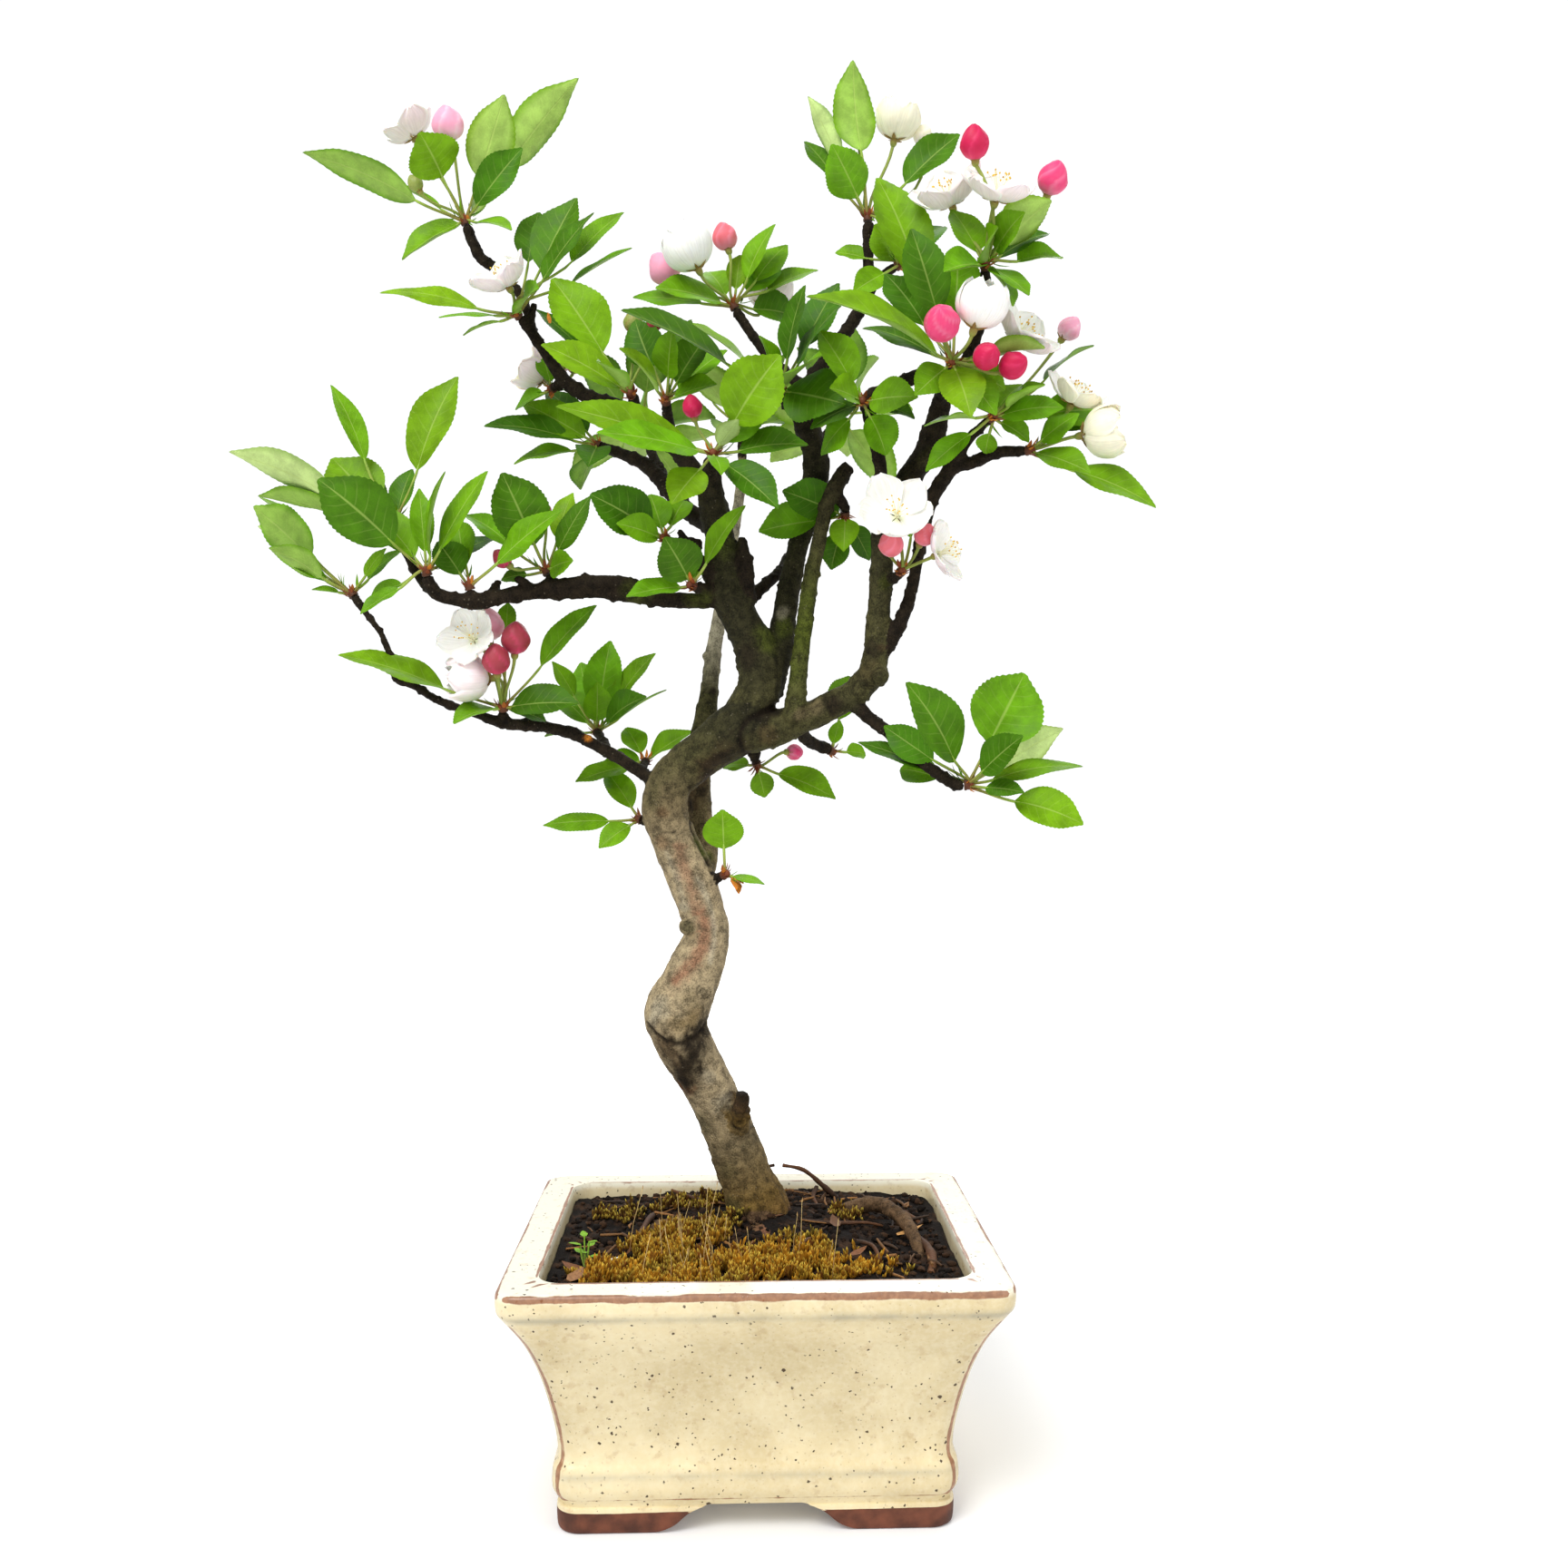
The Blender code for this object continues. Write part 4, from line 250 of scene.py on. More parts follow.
# Bark routes: u, v, depth in mm behind the middle of the pot, and radius in mm
LIMBS = {
    "trunk": [(852, 1385, 22, 12), (838, 1338, 22, 14.4), (823, 1299, 21, 12.2), (801, 1240, 18, 11.2),
        (784, 1203, 14, 11.1), (762, 1164, 10, 12), (748, 1136, 8, 13), (746, 1113, 8, 14.4),
        (757, 1090, 8, 13), (769, 1062, 10, 11.8), (779, 1030, 12, 10.2), (772, 1000, 12, 10.2),
        (759, 960, 10, 10.8), (744, 928, 8, 10.2), (732, 893, 6, 10.2), (737, 866, 4, 9.9),
        (757, 844, 2, 10), (783, 824, 0, 10.6), (806, 808, -2, 11.6), (824, 794, -4, 11.4)],
    "limb_left": [(820, 790, -3, 9.8), (838, 757, -4, 9.6), (835, 722, -4, 9.2), (819, 690, -6, 8.2),
        (803, 655, -8, 7.8), (797, 618, -8, 6.8), (791, 583, -8, 6.3), (785, 552, -10, 6),
        (783, 525, -16, 4.4), (785, 506, -26, 2.8)],
    "limb_middle": [(842, 757, -2, 9), (857, 716, 0, 6.8), (864, 686, 2, 5.4), (871, 640, 4, 4.9),
        (881, 595, 6, 4.6), (893, 555, 6, 5.6), (900, 520, 6, 5.8), (896, 490, 4, 5.5), (886, 460, 0, 5.3),
        (890, 430, 4, 4), (908, 400, 8, 3.4), (936, 360, 10, 3), (958, 322, 12, 2.7), (957, 290, 12, 2.5),
        (957, 250, 12, 2.5)],
    "limb_thin": [(874, 792, -12, 4.8), (877, 770, -14, 4.4), (881, 735, -14, 3.9), (886, 690, -13, 3.7),
        (893, 640, -12, 3.5), (903, 595, -11, 3.3), (911, 556, -9, 3.4), (923, 532, -8, 3.8),
        (936, 513, -8, 3)],
    "limb_right": [(824, 806, -4, 9.8), (854, 803, -6, 8.2), (877, 794, -7, 7.2), (900, 786, -9, 6.2),
        (921, 775, -10, 6.3), (942, 764, -12, 6), (960, 742, -13, 5.8), (967, 710, -14, 5.8),
        (969, 665, -15, 5), (972, 622, -15, 4.9), (972, 592, -14, 4.8), (980, 560, -12, 4.8),
        (995, 535, -10, 5), (1012, 512, -8, 5.4), (1025, 490, -8, 5.5), (1033, 462, -10, 4.8),
        (1038, 440, -16, 4), (1042, 425, -28, 3.2)],
    "cut_limb": [(972, 604, -14, 3.4), (968, 562, -20, 3.2), (971, 525, -24, 2.9), (965, 485, -26, 3),
        (957, 455, -26, 3), (957, 438, -27, 3), (975, 431, -29, 3), (995, 422, -31, 3), (1014, 413, -35, 3),
        (1029, 408, -41, 2.2)],
    "right_stub": [(976, 716, -15, 3.4), (990, 690, -18, 3.2), (1000, 668, -20, 3), (1004, 655, -20, 2.7)],
    "right_arm": [(998, 674, -20, 2.6), (1006, 645, -20, 2.6), (1012, 612, -21, 2.8), (1020, 575, -22, 3),
        (1028, 548, -24, 3.2), (1040, 528, -26, 3.3), (1052, 514, -28, 3.1), (1075, 509, -32, 2.5),
        (1096, 499, -36, 2.6), (1122, 497, -40, 2.1)],
    "low_right": [(938, 772, -12, 3.6), (960, 793, -14, 3), (975, 804, -16, 2.8), (1000, 824, -20, 2.4),
        (1015, 840, -24, 2.4), (1030, 850, -26, 2.3), (1054, 866, -30, 2.4)],
    "left_arm": [(803, 652, -8, 5), (783, 661, -9, 3.6), (750, 662, -11, 3.4), (724, 660, -12, 3.3),
        (690, 655, -13, 3.4), (660, 651, -14, 3.4), (625, 652, -15, 3.4), (590, 653, -16, 3.2),
        (555, 657, -18, 3.3), (525, 663, -20, 3.8), (500, 660, -22, 3), (481, 655, -24, 2.8),
        (473, 642, -26, 2.6)],
    "left_arm_double": [(722, 659, -13, 2.4), (694, 643, -16, 2.6), (650, 641, -18, 2.5),
        (610, 645, -18, 2.4), (582, 652, -16, 2.2)],
    "low_left": [(730, 866, 4, 4), (713, 856, 6, 3), (690, 840, 7, 2.9), (669, 828, 8, 2.9),
        (629, 808, 6, 2.4), (598, 801, 4, 2.3), (556, 797, 2, 2.6), (528, 788, 1, 1.8), (483, 772, 0, 1.8),
        (458, 756, 0, 1.7), (438, 747, 0, 2.3), (432, 728, 0, 1.6), (421, 700, 0, 1.4), (408, 682, 0, 1.4),
        (396, 666, 1, 1.8)],
    "high_left": [(788, 556, -8, 4.4), (760, 512, 0, 4), (725, 475, 8, 3.8), (690, 452, 14, 3.6),
        (650, 438, 18, 3.3), (621, 418, 20, 3.2), (601, 389, 18, 2.5), (585, 365, 14, 2.7),
        (577, 353, 11, 2.4)],
    "top_left": [(586, 366, 15, 2.3), (577, 332, 20, 2), (553, 302, 22, 2.2), (530, 284, 20, 2.6),
        (519, 262, 19, 2.4)],
    "back_left": [(786, 580, -6, 4.6), (760, 564, 4, 4), (738, 541, 14, 3.8), (715, 515, 24, 3.4),
        (690, 502, 32, 2.8), (668, 494, 38, 2.3)],
    "second_stem": [(771, 968, 12, 6.5), (776, 935, 20, 6.2), (772, 905, 26, 5.8), (770, 870, 30, 5.6),
        (770, 830, 34, 5.6), (776, 798, 38, 5.4), (781, 768, 41, 4.4), (786, 722, 43, 3.8),
        (792, 685, 45, 3.4), (800, 640, 48, 3), (808, 590, 54, 2.7), (815, 545, 60, 2.4),
        (818, 505, 66, 2.2)],
    "inner_arm": [(822, 662, -4, 3.6), (845, 643, 6, 2.6), (862, 627, 20, 2.4), (868, 612, 40, 2)],
    "inner_stub": [(822, 664, -7, 5), (820, 622, -11, 4), (818, 592, -12, 1.6)],
    "outer_stub": [(790, 640, -10, 4), (766, 612, -15, 2.8), (748, 584, -17, 1.3)],
    "fork_stub": [(583, 360, 13, 2), (589, 334, 12, 1.5)],
    "knob_low": [(812, 1240, 12, 6.5), (815, 1228, 6, 4.6), (817, 1215, 2, 3.2), (817, 1204, 0, 2.4)],
    "arm_stub_a": [(652, 645, -17, 2), (642, 632, -18, 1.6)],
    "arm_stub_b": [(588, 652, -17, 1.8), (578, 641, -18, 1.7), (567, 638, -19, 1.5)],
    "arm_stub_c": [(538, 658, -20, 2), (545, 648, -16, 1.7), (550, 640, -14, 1.5)],
}

# Roots in the pot's own frame: x, y, z and radius in mm
ROOTS = {
    "root_right": [(8, 22, 92, 8), (30, 24, 93, 5), (46, 26, 101, 3.6), (58, 18, 104, 3.4),
                   (66, 2, 102, 3.2), (69, -14, 98, 2.6), (70, -26, 90, 2)],
    "root_left": [(-8, 20, 93, 8), (-26, 14, 94, 5), (-42, 12, 97, 3), (-54, 2, 90, 2)],
    "root_front": [(0, 14, 92, 8), (4, -4, 96, 5), (10, -18, 88, 3)],
}

# Sprays: where the spur ends (u, v, depth), its twig (u, v, depth, radius) from the limb that bears it, its
# leaves (tip u, v, depth from the spur, width in mm, how far the upper side turns to the viewer, and the
# petiole's share) and its buds (u, v, depth from the spur, radius in mm, how far it is open)
SPRAYS = {
    "spray_top_left": {"at": (511, 240, 18), "twig": [(519, 262, 19, 2.3)],
        "leaves": [(333, 168, -4, 19, -0.55, 0.3), (462, 146, -26, 25, 0.9, 0.5),
                   (556, 104, -10, 21, -0.8, 0.34), (638, 86, 16, 20, -0.6, 0.38),
                   (576, 163, -6, 17, 0.8, 0.2), (564, 254, -12, 15, 0.6, 0.2),
                   (443, 287, -4, 17, 0.75, 0.06), (430, 202, 6, 6, 0.5, 0.3),
                   (545, 206, 14, 13, -0.5, 0.2)],
        "buds": [(494, 138, -14, 6.6, 0.5), (458, 203, -10, 3.2, 0)]},
    "spray_fork": {"at": (567, 344, 8), "twig": [(580, 357, 12, 2.2)],
        "leaves": [(418, 323, -6, 16, 0.75, 0.28), (483, 350, -14, 9, 0.5, 0.26), (510, 370, 4, 5, 0.3, 0.3),
                   (594, 318, -18, 18, 0.9, 0.1), (636, 218, 10, 22, 0.8, 0.38),
                   (655, 234, -4, 23, 0.35, 0.34), (688, 234, 26, 16, 0.6, 0.5),
                   (697, 273, 14, 11, 0.3, 0.46), (594, 234, 24, 16, 0.7, 0.5)]},
    "spray_mid_left": {"at": (606, 430, 30), "twig": [(621, 420, 22, 2.2)],
        "leaves": [(597, 388, 4, 10, 0.5, 0.15), (568, 452, 6, 15, 0.7, 0.2), (640, 436, 22, 13, 0.7, 0.2)],
        "buds": [(618, 396, 8, 5.6, 0.4), (633, 404, 2, 3.2, 0)]},
    "spray_shoulder": {"at": (694, 432, -6), "twig": [(700, 456, 12, 2.6), (700, 446, 4, 2.3)],
        "leaves": [(608, 307, 8, 24, 0.75, 0.35), (596, 380, -10, 20, 0.75, 0.1),
                   (590, 341, 22, 12, 0.6, 0.4), (657, 398, -16, 14, -0.7, 0.15),
                   (634, 392, 12, 8, 0.5, 0.3)],
        "buds": [(698, 356, 6, 4.2, 0.2), (722, 354, -2, 3.6, 0)]},
    "spray_crook": {"at": (733, 438, -14), "twig": [(737, 484, 6, 2.6), (737, 462, -4, 2.2)],
        "leaves": [(682, 384, -12, 19, 0.5, 0.15), (780, 370, -8, 17, 0.8, 0.25),
                   (802, 386, 8, 16, 0.8, 0.2), (700, 352, 16, 18, 0.7, 0.4), (762, 352, 14, 18, 0.7, 0.3),
                   (742, 362, -20, 15, 0.8, 0.3), (790, 424, -16, 14, 0.85, 0.15)]},
    "spray_crown": {"at": (806, 334, 16),
        "twig": [(890, 430, 6, 2.6), (852, 398, 14, 2.3), (824, 362, 16, 2.1)],
        "leaves": [(855, 247, -2, 15, 0.5, 0.32), (816, 281, 8, 10, 0.8, 0.3), (697, 328, 12, 16, 0.7, 0.3),
                   (858, 288, 20, 17, 0.8, 0.3), (780, 300, 26, 14, 0.6, 0.3), (876, 350, 30, 18, 0.6, 0.3),
                   (722, 318, -14, 22, 0.7, 0.14), (868, 270, 22, 15, 0.8, 0.4),
                   (902, 298, 10, 18, 0.8, 0.4)],
        "buds": [(799, 262, 0, 5.3, 0.1), (733, 297, -6, 6.8, 0.5)]},
    "spray_centre": {"at": (858, 428, -20), "twig": [(886, 458, 0, 2.8), (868, 446, -10, 2.4)],
        "leaves": [(684, 342, -26, 24, 0.6, 0.34), (763, 357, -30, 20, 0.6, 0.24),
                   (888, 314, -10, 16, 0.4, 0.28), (928, 336, -18, 18, 0.6, 0.28),
                   (932, 446, -14, 27, 0.95, 0.08), (925, 312, 4, 17, 0.7, 0.4),
                   (906, 392, -28, 18, 0.85, 0.1), (836, 370, -12, 15, 0.8, 0.15)]},
    "spray_front": {"at": (786, 498, -36), "twig": [(785, 512, -26, 2.6)],
        "leaves": [(860, 391, -14, 27, 0.95, 0.3), (612, 448, -20, 21, 0.85, 0.14),
                   (657, 477, -24, 18, 0.85, 0.12), (853, 440, 2, 15, 0.9, 0.2),
                   (850, 436, 22, 20, 0.8, 0.4), (891, 491, -2, 18, 0.8, 0.26),
                   (814, 462, -8, 10, -0.4, 0.2), (858, 561, -14, 16, 0.8, 0.2),
                   (740, 556, -12, 17, 0.9, 0.3), (795, 524, -30, 9, -0.5, 0.1)],
        "buds": [(763, 449, 6, 4, 0)]},
    "spray_elbow": {"at": (729, 592, -24), "twig": [(772, 600, -12, 2.4), (745, 598, -20, 1.9)],
        "leaves": [(650, 545, -6, 22, 0.9, 0.16), (679, 577, -10, 13, 0.8, 0.1),
                   (716, 545, 22, 14, 0.7, 0.2), (755, 552, 24, 13, 0.6, 0.3)]},
    "spray_armpit": {"at": (759, 644, -22), "twig": [(788, 650, -10, 3), (770, 648, -18, 2.2)],
        "leaves": [(732, 592, -8, 20, 0.95, 0.1), (690, 658, -8, 14, 0.7, 0.14),
                   (822, 557, -14, 12, 0.7, 0.26), (775, 615, 22, 10, 0.6, 0.2)]},
    "spray_arm_mid": {"at": (600, 626, -15), "twig": [(613, 646, -18, 2.2), (607, 638, -16, 2)],
        "leaves": [(553, 521, -10, 24, 0.95, 0.26), (632, 543, 6, 11, 0.6, 0.4),
                   (652, 546, -4, 15, 0.7, 0.26), (632, 618, -10, 13, 0.95, 0.12),
                   (552, 640, 0, 10, 0.8, 0.4), (512, 568, 16, 15, 0.6, 0.4)],
        "buds": [(598, 563, 6, 3.6, 0), (554, 616, -4, 3.8, 0.2), (578, 574, 10, 3.4, 0)]},
    "spray_arm_low": {"at": (516, 642, -22), "twig": [(520, 656, -21, 2)],
        "leaves": [(482, 597, 4, 15, 0.8, 0.24), (620, 562, -14, 17, 0.8, 0.3),
                   (505, 574, 8, 16, 0.8, 0.3)]},
    "spray_arm_tip": {"at": (469, 626, -28), "twig": [(473, 642, -26, 2.4)],
        "leaves": [(491, 519, -8, 11, 0.3, 0.14), (538, 519, -6, 18, 0.5, 0.2), (462, 538, 8, 10, 0.5, 0.22),
                   (350, 528, -12, 27, 0.9, 0.3), (408, 556, 14, 16, 0.7, 0.2), (548, 592, 22, 14, 0.6, 0.3),
                   (406, 664, 4, 11, 0.7, 0.4), (397, 677, -6, 10, 0.6, 0.4)]},
    "spray_far_left": {"at": (432, 574, -20),
        "twig": [(480, 655, -24, 2.4), (462, 636, -14, 2), (444, 602, -17, 1.8), (438, 588, -19, 1.8)],
        "leaves": [(366, 505, 14, 25, 0.9, 0.26), (505, 415, 10, 20, 0.7, 0.36),
                   (252, 498, 0, 19, -0.6, 0.34), (284, 547, 12, 15, -0.5, 0.4),
                   (364, 424, 12, 11, 0.35, 0.45), (398, 522, 30, 11, 0.6, 0.3),
                   (455, 517, 10, 11, 0.6, 0.2)]},
    "spray_low_tip": {"at": (386, 651, 2), "twig": [(396, 666, 1, 1.8)],
        "leaves": [(279, 558, -2, 24, -0.7, 0.4), (284, 580, 12, 18, -0.6, 0.4), (319, 620, 2, 8, 0.6, 0.4),
                   (343, 650, 0, 5, 0.6, 0.3), (426, 604, 0, 9, 0.7, 0.36), (444, 606, 16, 9, 0.6, 0.3),
                   (286, 548, 20, 18, 0.6, 0.5), (296, 604, -10, 16, -0.6, 0.35)]},
    "spray_blossom_left": {"at": (554, 776, -2), "twig": [(556, 797, 2, 2.3)],
        "leaves": [(372, 722, -6, 20, 0.5, 0.36), (658, 667, 4, 14, 0.6, 0.4), (560, 664, 14, 9, 0.6, 0.7),
                   (638, 776, -8, 19, 0.8, 0.1), (500, 798, -14, 19, 0.9, 0.1),
                   (602, 796, 10, 13, 0.7, 0.12)],
        "buds": [(538, 690, 2, 6.6, 0.4), (568, 705, -6, 6, 0.1), (547, 728, -12, 5.7, 0.1)]},
    "spray_low_back": {"at": (657, 806, 52), "twig": [(669, 828, 8, 2.4), (664, 816, 34, 2)],
        "leaves": [(673, 706, 4, 18, 0.8, 0.2), (723, 720, -6, 14, 0.6, 0.3), (713, 768, -24, 16, 0.8, 0.2),
                   (658, 751, -10, 14, 0.8, 0.2), (608, 729, -4, 11, 0.5, 0.5), (735, 760, 6, 6, 0.2, 0.3),
                   (614, 764, 14, 16, 0.7, 0.2), (640, 730, 26, 16, 0.7, 0.3),
                   (600, 812, -22, 10, 0.5, 0.2)]},
    "spray_low_inner": {"at": (712, 838, 36), "twig": [(706, 850, 8, 2.4), (708, 846, 24, 2)],
        "leaves": [(764, 806, 4, 15, 0.7, 0.1), (690, 802, 12, 12, 0.6, 0.2), (660, 846, 14, 14, 0.7, 0.1),
                   (634, 862, -16, 14, 0.6, 0.2)]},
    "spray_trunk_left": {"at": (701, 902, 18), "twig": [(728, 900, 8, 3), (712, 905, 15, 2)],
        "leaves": [(598, 910, -6, 13, 0.7, 0.3), (660, 935, -8, 12, 0.7, 0.2),
                   (668, 850, 16, 13, 0.7, 0.2)]},
    "spray_low_right": {"at": (1071, 865, -31), "twig": [(1054, 866, -30, 2.3)],
        "leaves": [(1129, 742, 4, 31, 0.98, 0.36), (1128, 811, -16, 17, 0.8, 0.24),
                   (998, 752, -12, 24, 0.7, 0.22), (1172, 803, 12, 18, -0.6, 0.3),
                   (1194, 845, -2, 14, 0.6, 0.2), (1194, 909, -10, 19, 0.8, 0.4),
                   (1129, 874, -14, 11, 0.8, 0.3), (974, 800, 14, 14, 0.7, 0.4),
                   (945, 818, 20, 11, 0.5, 0.3), (992, 848, 6, 13, 0.8, 0.4)],
        "buds": [(1108, 828, 2, 3.6, 0)]},
    "spray_fork_low": {"at": (919, 829, 22),
        "twig": [(880, 796, -5, 3.6), (888, 814, 8, 2.9), (905, 823, 17, 2.4)],
        "leaves": [(926, 794, 2, 7, 0.5, 0.2), (954, 832, 8, 9, 0.8, 0.4), (936, 745, 26, 16, 0.9, 0.4)]},
    "spray_fork_under": {"at": (835, 846, 16), "twig": [(826, 812, 4, 4), (831, 832, 12, 2.4)],
        "leaves": [(921, 881, -2, 14, 0.8, 0.26), (843, 879, 2, 11, 0.8, 0.16),
                   (796, 846, 10, 10, 0.7, 0.2)],
        "buds": [(875, 829, 4, 3.5, 0)]},
    "spray_trunk_right": {"at": (802, 962, 4), "twig": [(776, 974, 10, 3), (791, 968, 7, 2)],
        "leaves": [(796, 892, -2, 18, 0.98, 0.38), (843, 975, -4, 7, 0.5, 0.16)]},
    "spray_top_right": {"at": (956, 236, 12), "twig": [(957, 250, 12, 2.4)],
        "leaves": [(940, 66, -4, 20, -0.8, 0.42), (890, 106, 8, 12, -0.4, 0.45),
                   (916, 159, -14, 23, 0.95, 0.26), (1058, 148, 2, 18, 0.8, 0.4),
                   (1001, 248, -16, 15, 0.6, 0.3), (886, 156, 18, 13, 0.7, 0.5)],
        "buds": [(1017, 150, 6, 4.2, 0.3), (946, 150, 6, 3.6, 0.2)]},
    "spray_top_inner": {"at": (994, 290, 6), "twig": [(958, 318, 12, 2.4), (978, 300, 9, 2.1)],
        "leaves": [(964, 247, -4, 18, 0.9, 0.1), (920, 279, 8, 11, 0.8, 0.5), (976, 262, -18, 15, 0.8, 0.2),
                   (940, 322, -2, 13, 0.7, 0.3), (1040, 250, 22, 18, 0.7, 0.2),
                   (1042, 330, -8, 15, 0.8, 0.12)]},
    "spray_near_right": {"at": (1050, 398, -64), "twig": [(1042, 425, -28, 3), (1046, 412, -46, 2.5)],
        "leaves": [(888, 327, -20, 24, 0.65, 0.1), (966, 196, 22, 22, 0.8, 0.42),
                   (975, 302, 22, 17, 0.7, 0.4), (1004, 252, 2, 18, 0.75, 0.36),
                   (950, 362, 20, 17, 0.7, 0.2), (1152, 384, -6, 13, 0.6, 0.36),
                   (1056, 276, 16, 19, 0.7, 0.4), (1070, 460, -14, 18, 0.85, 0.1),
                   (1098, 458, -8, 16, 0.9, 0.12), (1008, 436, -8, 14, 0.8, 0.15),
                   (1108, 430, 6, 15, 0.8, 0.2)],
        "buds": [(1038, 357, -16, 6.6, 0.2), (1087, 393, -12, 5, 0), (1116, 403, -6, 5.2, 0.1)]},
    "spray_right_shoot": {"at": (1096, 457, -52),
        "twig": [(1050, 514, -28, 2.6), (1066, 486, -37, 2.2), (1081, 471, -45, 1.9)],
        "leaves": [(1018, 470, 16, 13, 0.7, 0.2), (1020, 520, 24, 12, 0.6, 0.3),
                   (1104, 432, 20, 14, 0.7, 0.3), (1173, 450, -6, 15, 0.8, 0.1),
                   (1206, 381, 20, 13, 0.6, 0.5), (1222, 454, 10, 17, 0.6, 0.4),
                   (1128, 424, 10, 14, 0.7, 0.1), (1046, 428, 26, 17, 0.7, 0.3),
                   (1086, 500, 10, 9, 0.8, 0.4), (1152, 424, -10, 14, 0.8, 0.25),
                   (1134, 488, 4, 12, 0.85, 0.2)],
        "buds": [(1178, 363, 26, 4.6, 0.4)]},
    "spray_right_top": {"at": (1086, 288, -66),
        "twig": [(1040, 432, -22, 3), (1068, 390, -34, 2.6), (1084, 340, -46, 2.4), (1086, 308, -58, 2.2)],
        "leaves": [(1159, 221, -8, 22, -0.6, 0.3), (1156, 258, 10, 17, 0.7, 0.2),
                   (1171, 285, 14, 16, 0.7, 0.4), (1048, 231, 12, 17, 0.6, 0.2),
                   (1116, 338, -8, 13, 0.7, 0.1), (1040, 300, -12, 16, 0.8, 0.1),
                   (1130, 234, -4, 16, 0.7, 0.25), (1134, 326, -16, 14, 0.85, 0.12),
                   (1100, 250, -18, 16, 0.85, 0.1)],
        "buds": [(1074, 159, 2, 5.4, 0), (1160, 198, -4, 5.6, 0.3)]},
    "spray_far_right": {"at": (1139, 496, -43), "twig": [(1122, 497, -40, 2)],
        "leaves": [(1274, 560, -8, 20, 0.75, 0.35), (1202, 522, -18, 14, 0.75, 0.1),
                   (1168, 514, 14, 6, 0.6, 0.3), (1206, 440, 16, 15, 0.6, 0.4),
                   (1190, 456, -8, 14, 0.8, 0.2)]},
    "spray_cut_limb": {"at": (950, 441, -33), "twig": [(957, 448, -27, 2.3)],
        "leaves": [(902, 364, 4, 17, 0.8, 0.24), (914, 428, -8, 16, 0.9, 0.1), (893, 473, 4, 15, 0.7, 0.1),
                   (1008, 462, 6, 14, 0.7, 0.2), (1012, 438, -10, 17, 0.85, 0.1),
                   (976, 502, 8, 16, 0.8, 0.25), (905, 502, 14, 16, 0.8, 0.3)]},
    "spray_inner": {"at": (932, 572, -2), "twig": [(918, 542, -8, 2.8), (930, 556, -5, 2.2)],
        "leaves": [(930, 608, -8, 13, 0.95, 0.08), (862, 541, -6, 19, 0.85, 0.08),
                   (958, 618, 6, 13, 0.8, 0.2), (916, 628, 4, 13, 0.8, 0.3), (836, 586, 12, 18, 0.75, 0.3)]},
    "spray_near_blossom": {"at": (995, 628, -38), "twig": [(974, 644, -16, 2.6), (987, 636, -29, 2)],
        "leaves": [(1018, 540, 22, 12, 0.6, 0.4)],
        "buds": [(982, 600, -10, 4.9, 0.1), (1019, 590, -4, 4.2, 0.2)]},
    "spray_left_inner": {"at": (656, 489, 40), "twig": [(668, 494, 38, 2.2)],
        "leaves": [(533, 470, -10, 17, 0.7, 0.2), (566, 512, -2, 13, 0.7, 0.3),
                   (648, 515, -22, 16, 0.8, 0.1), (600, 430, 20, 15, 0.6, 0.2), (640, 540, 22, 15, 0.6, 0.2),
                   (574, 444, 4, 17, 0.75, 0.15)]},
    "spray_back_left": {"at": (706, 470, 76), "whorl": 7,
        "twig": [(740, 543, 15, 2.8), (724, 512, 40, 2.3), (712, 484, 62, 2)]},
    "spray_back_mid": {"at": (815, 466, 78), "whorl": 8, "twig": [(818, 505, 66, 2.2), (817, 486, 74, 2)]},
    "spray_back_right": {"at": (925, 455, 74), "whorl": 8,
        "twig": [(899, 512, 8, 3.2), (912, 484, 36, 2.6), (921, 464, 60, 2.2)]},
}

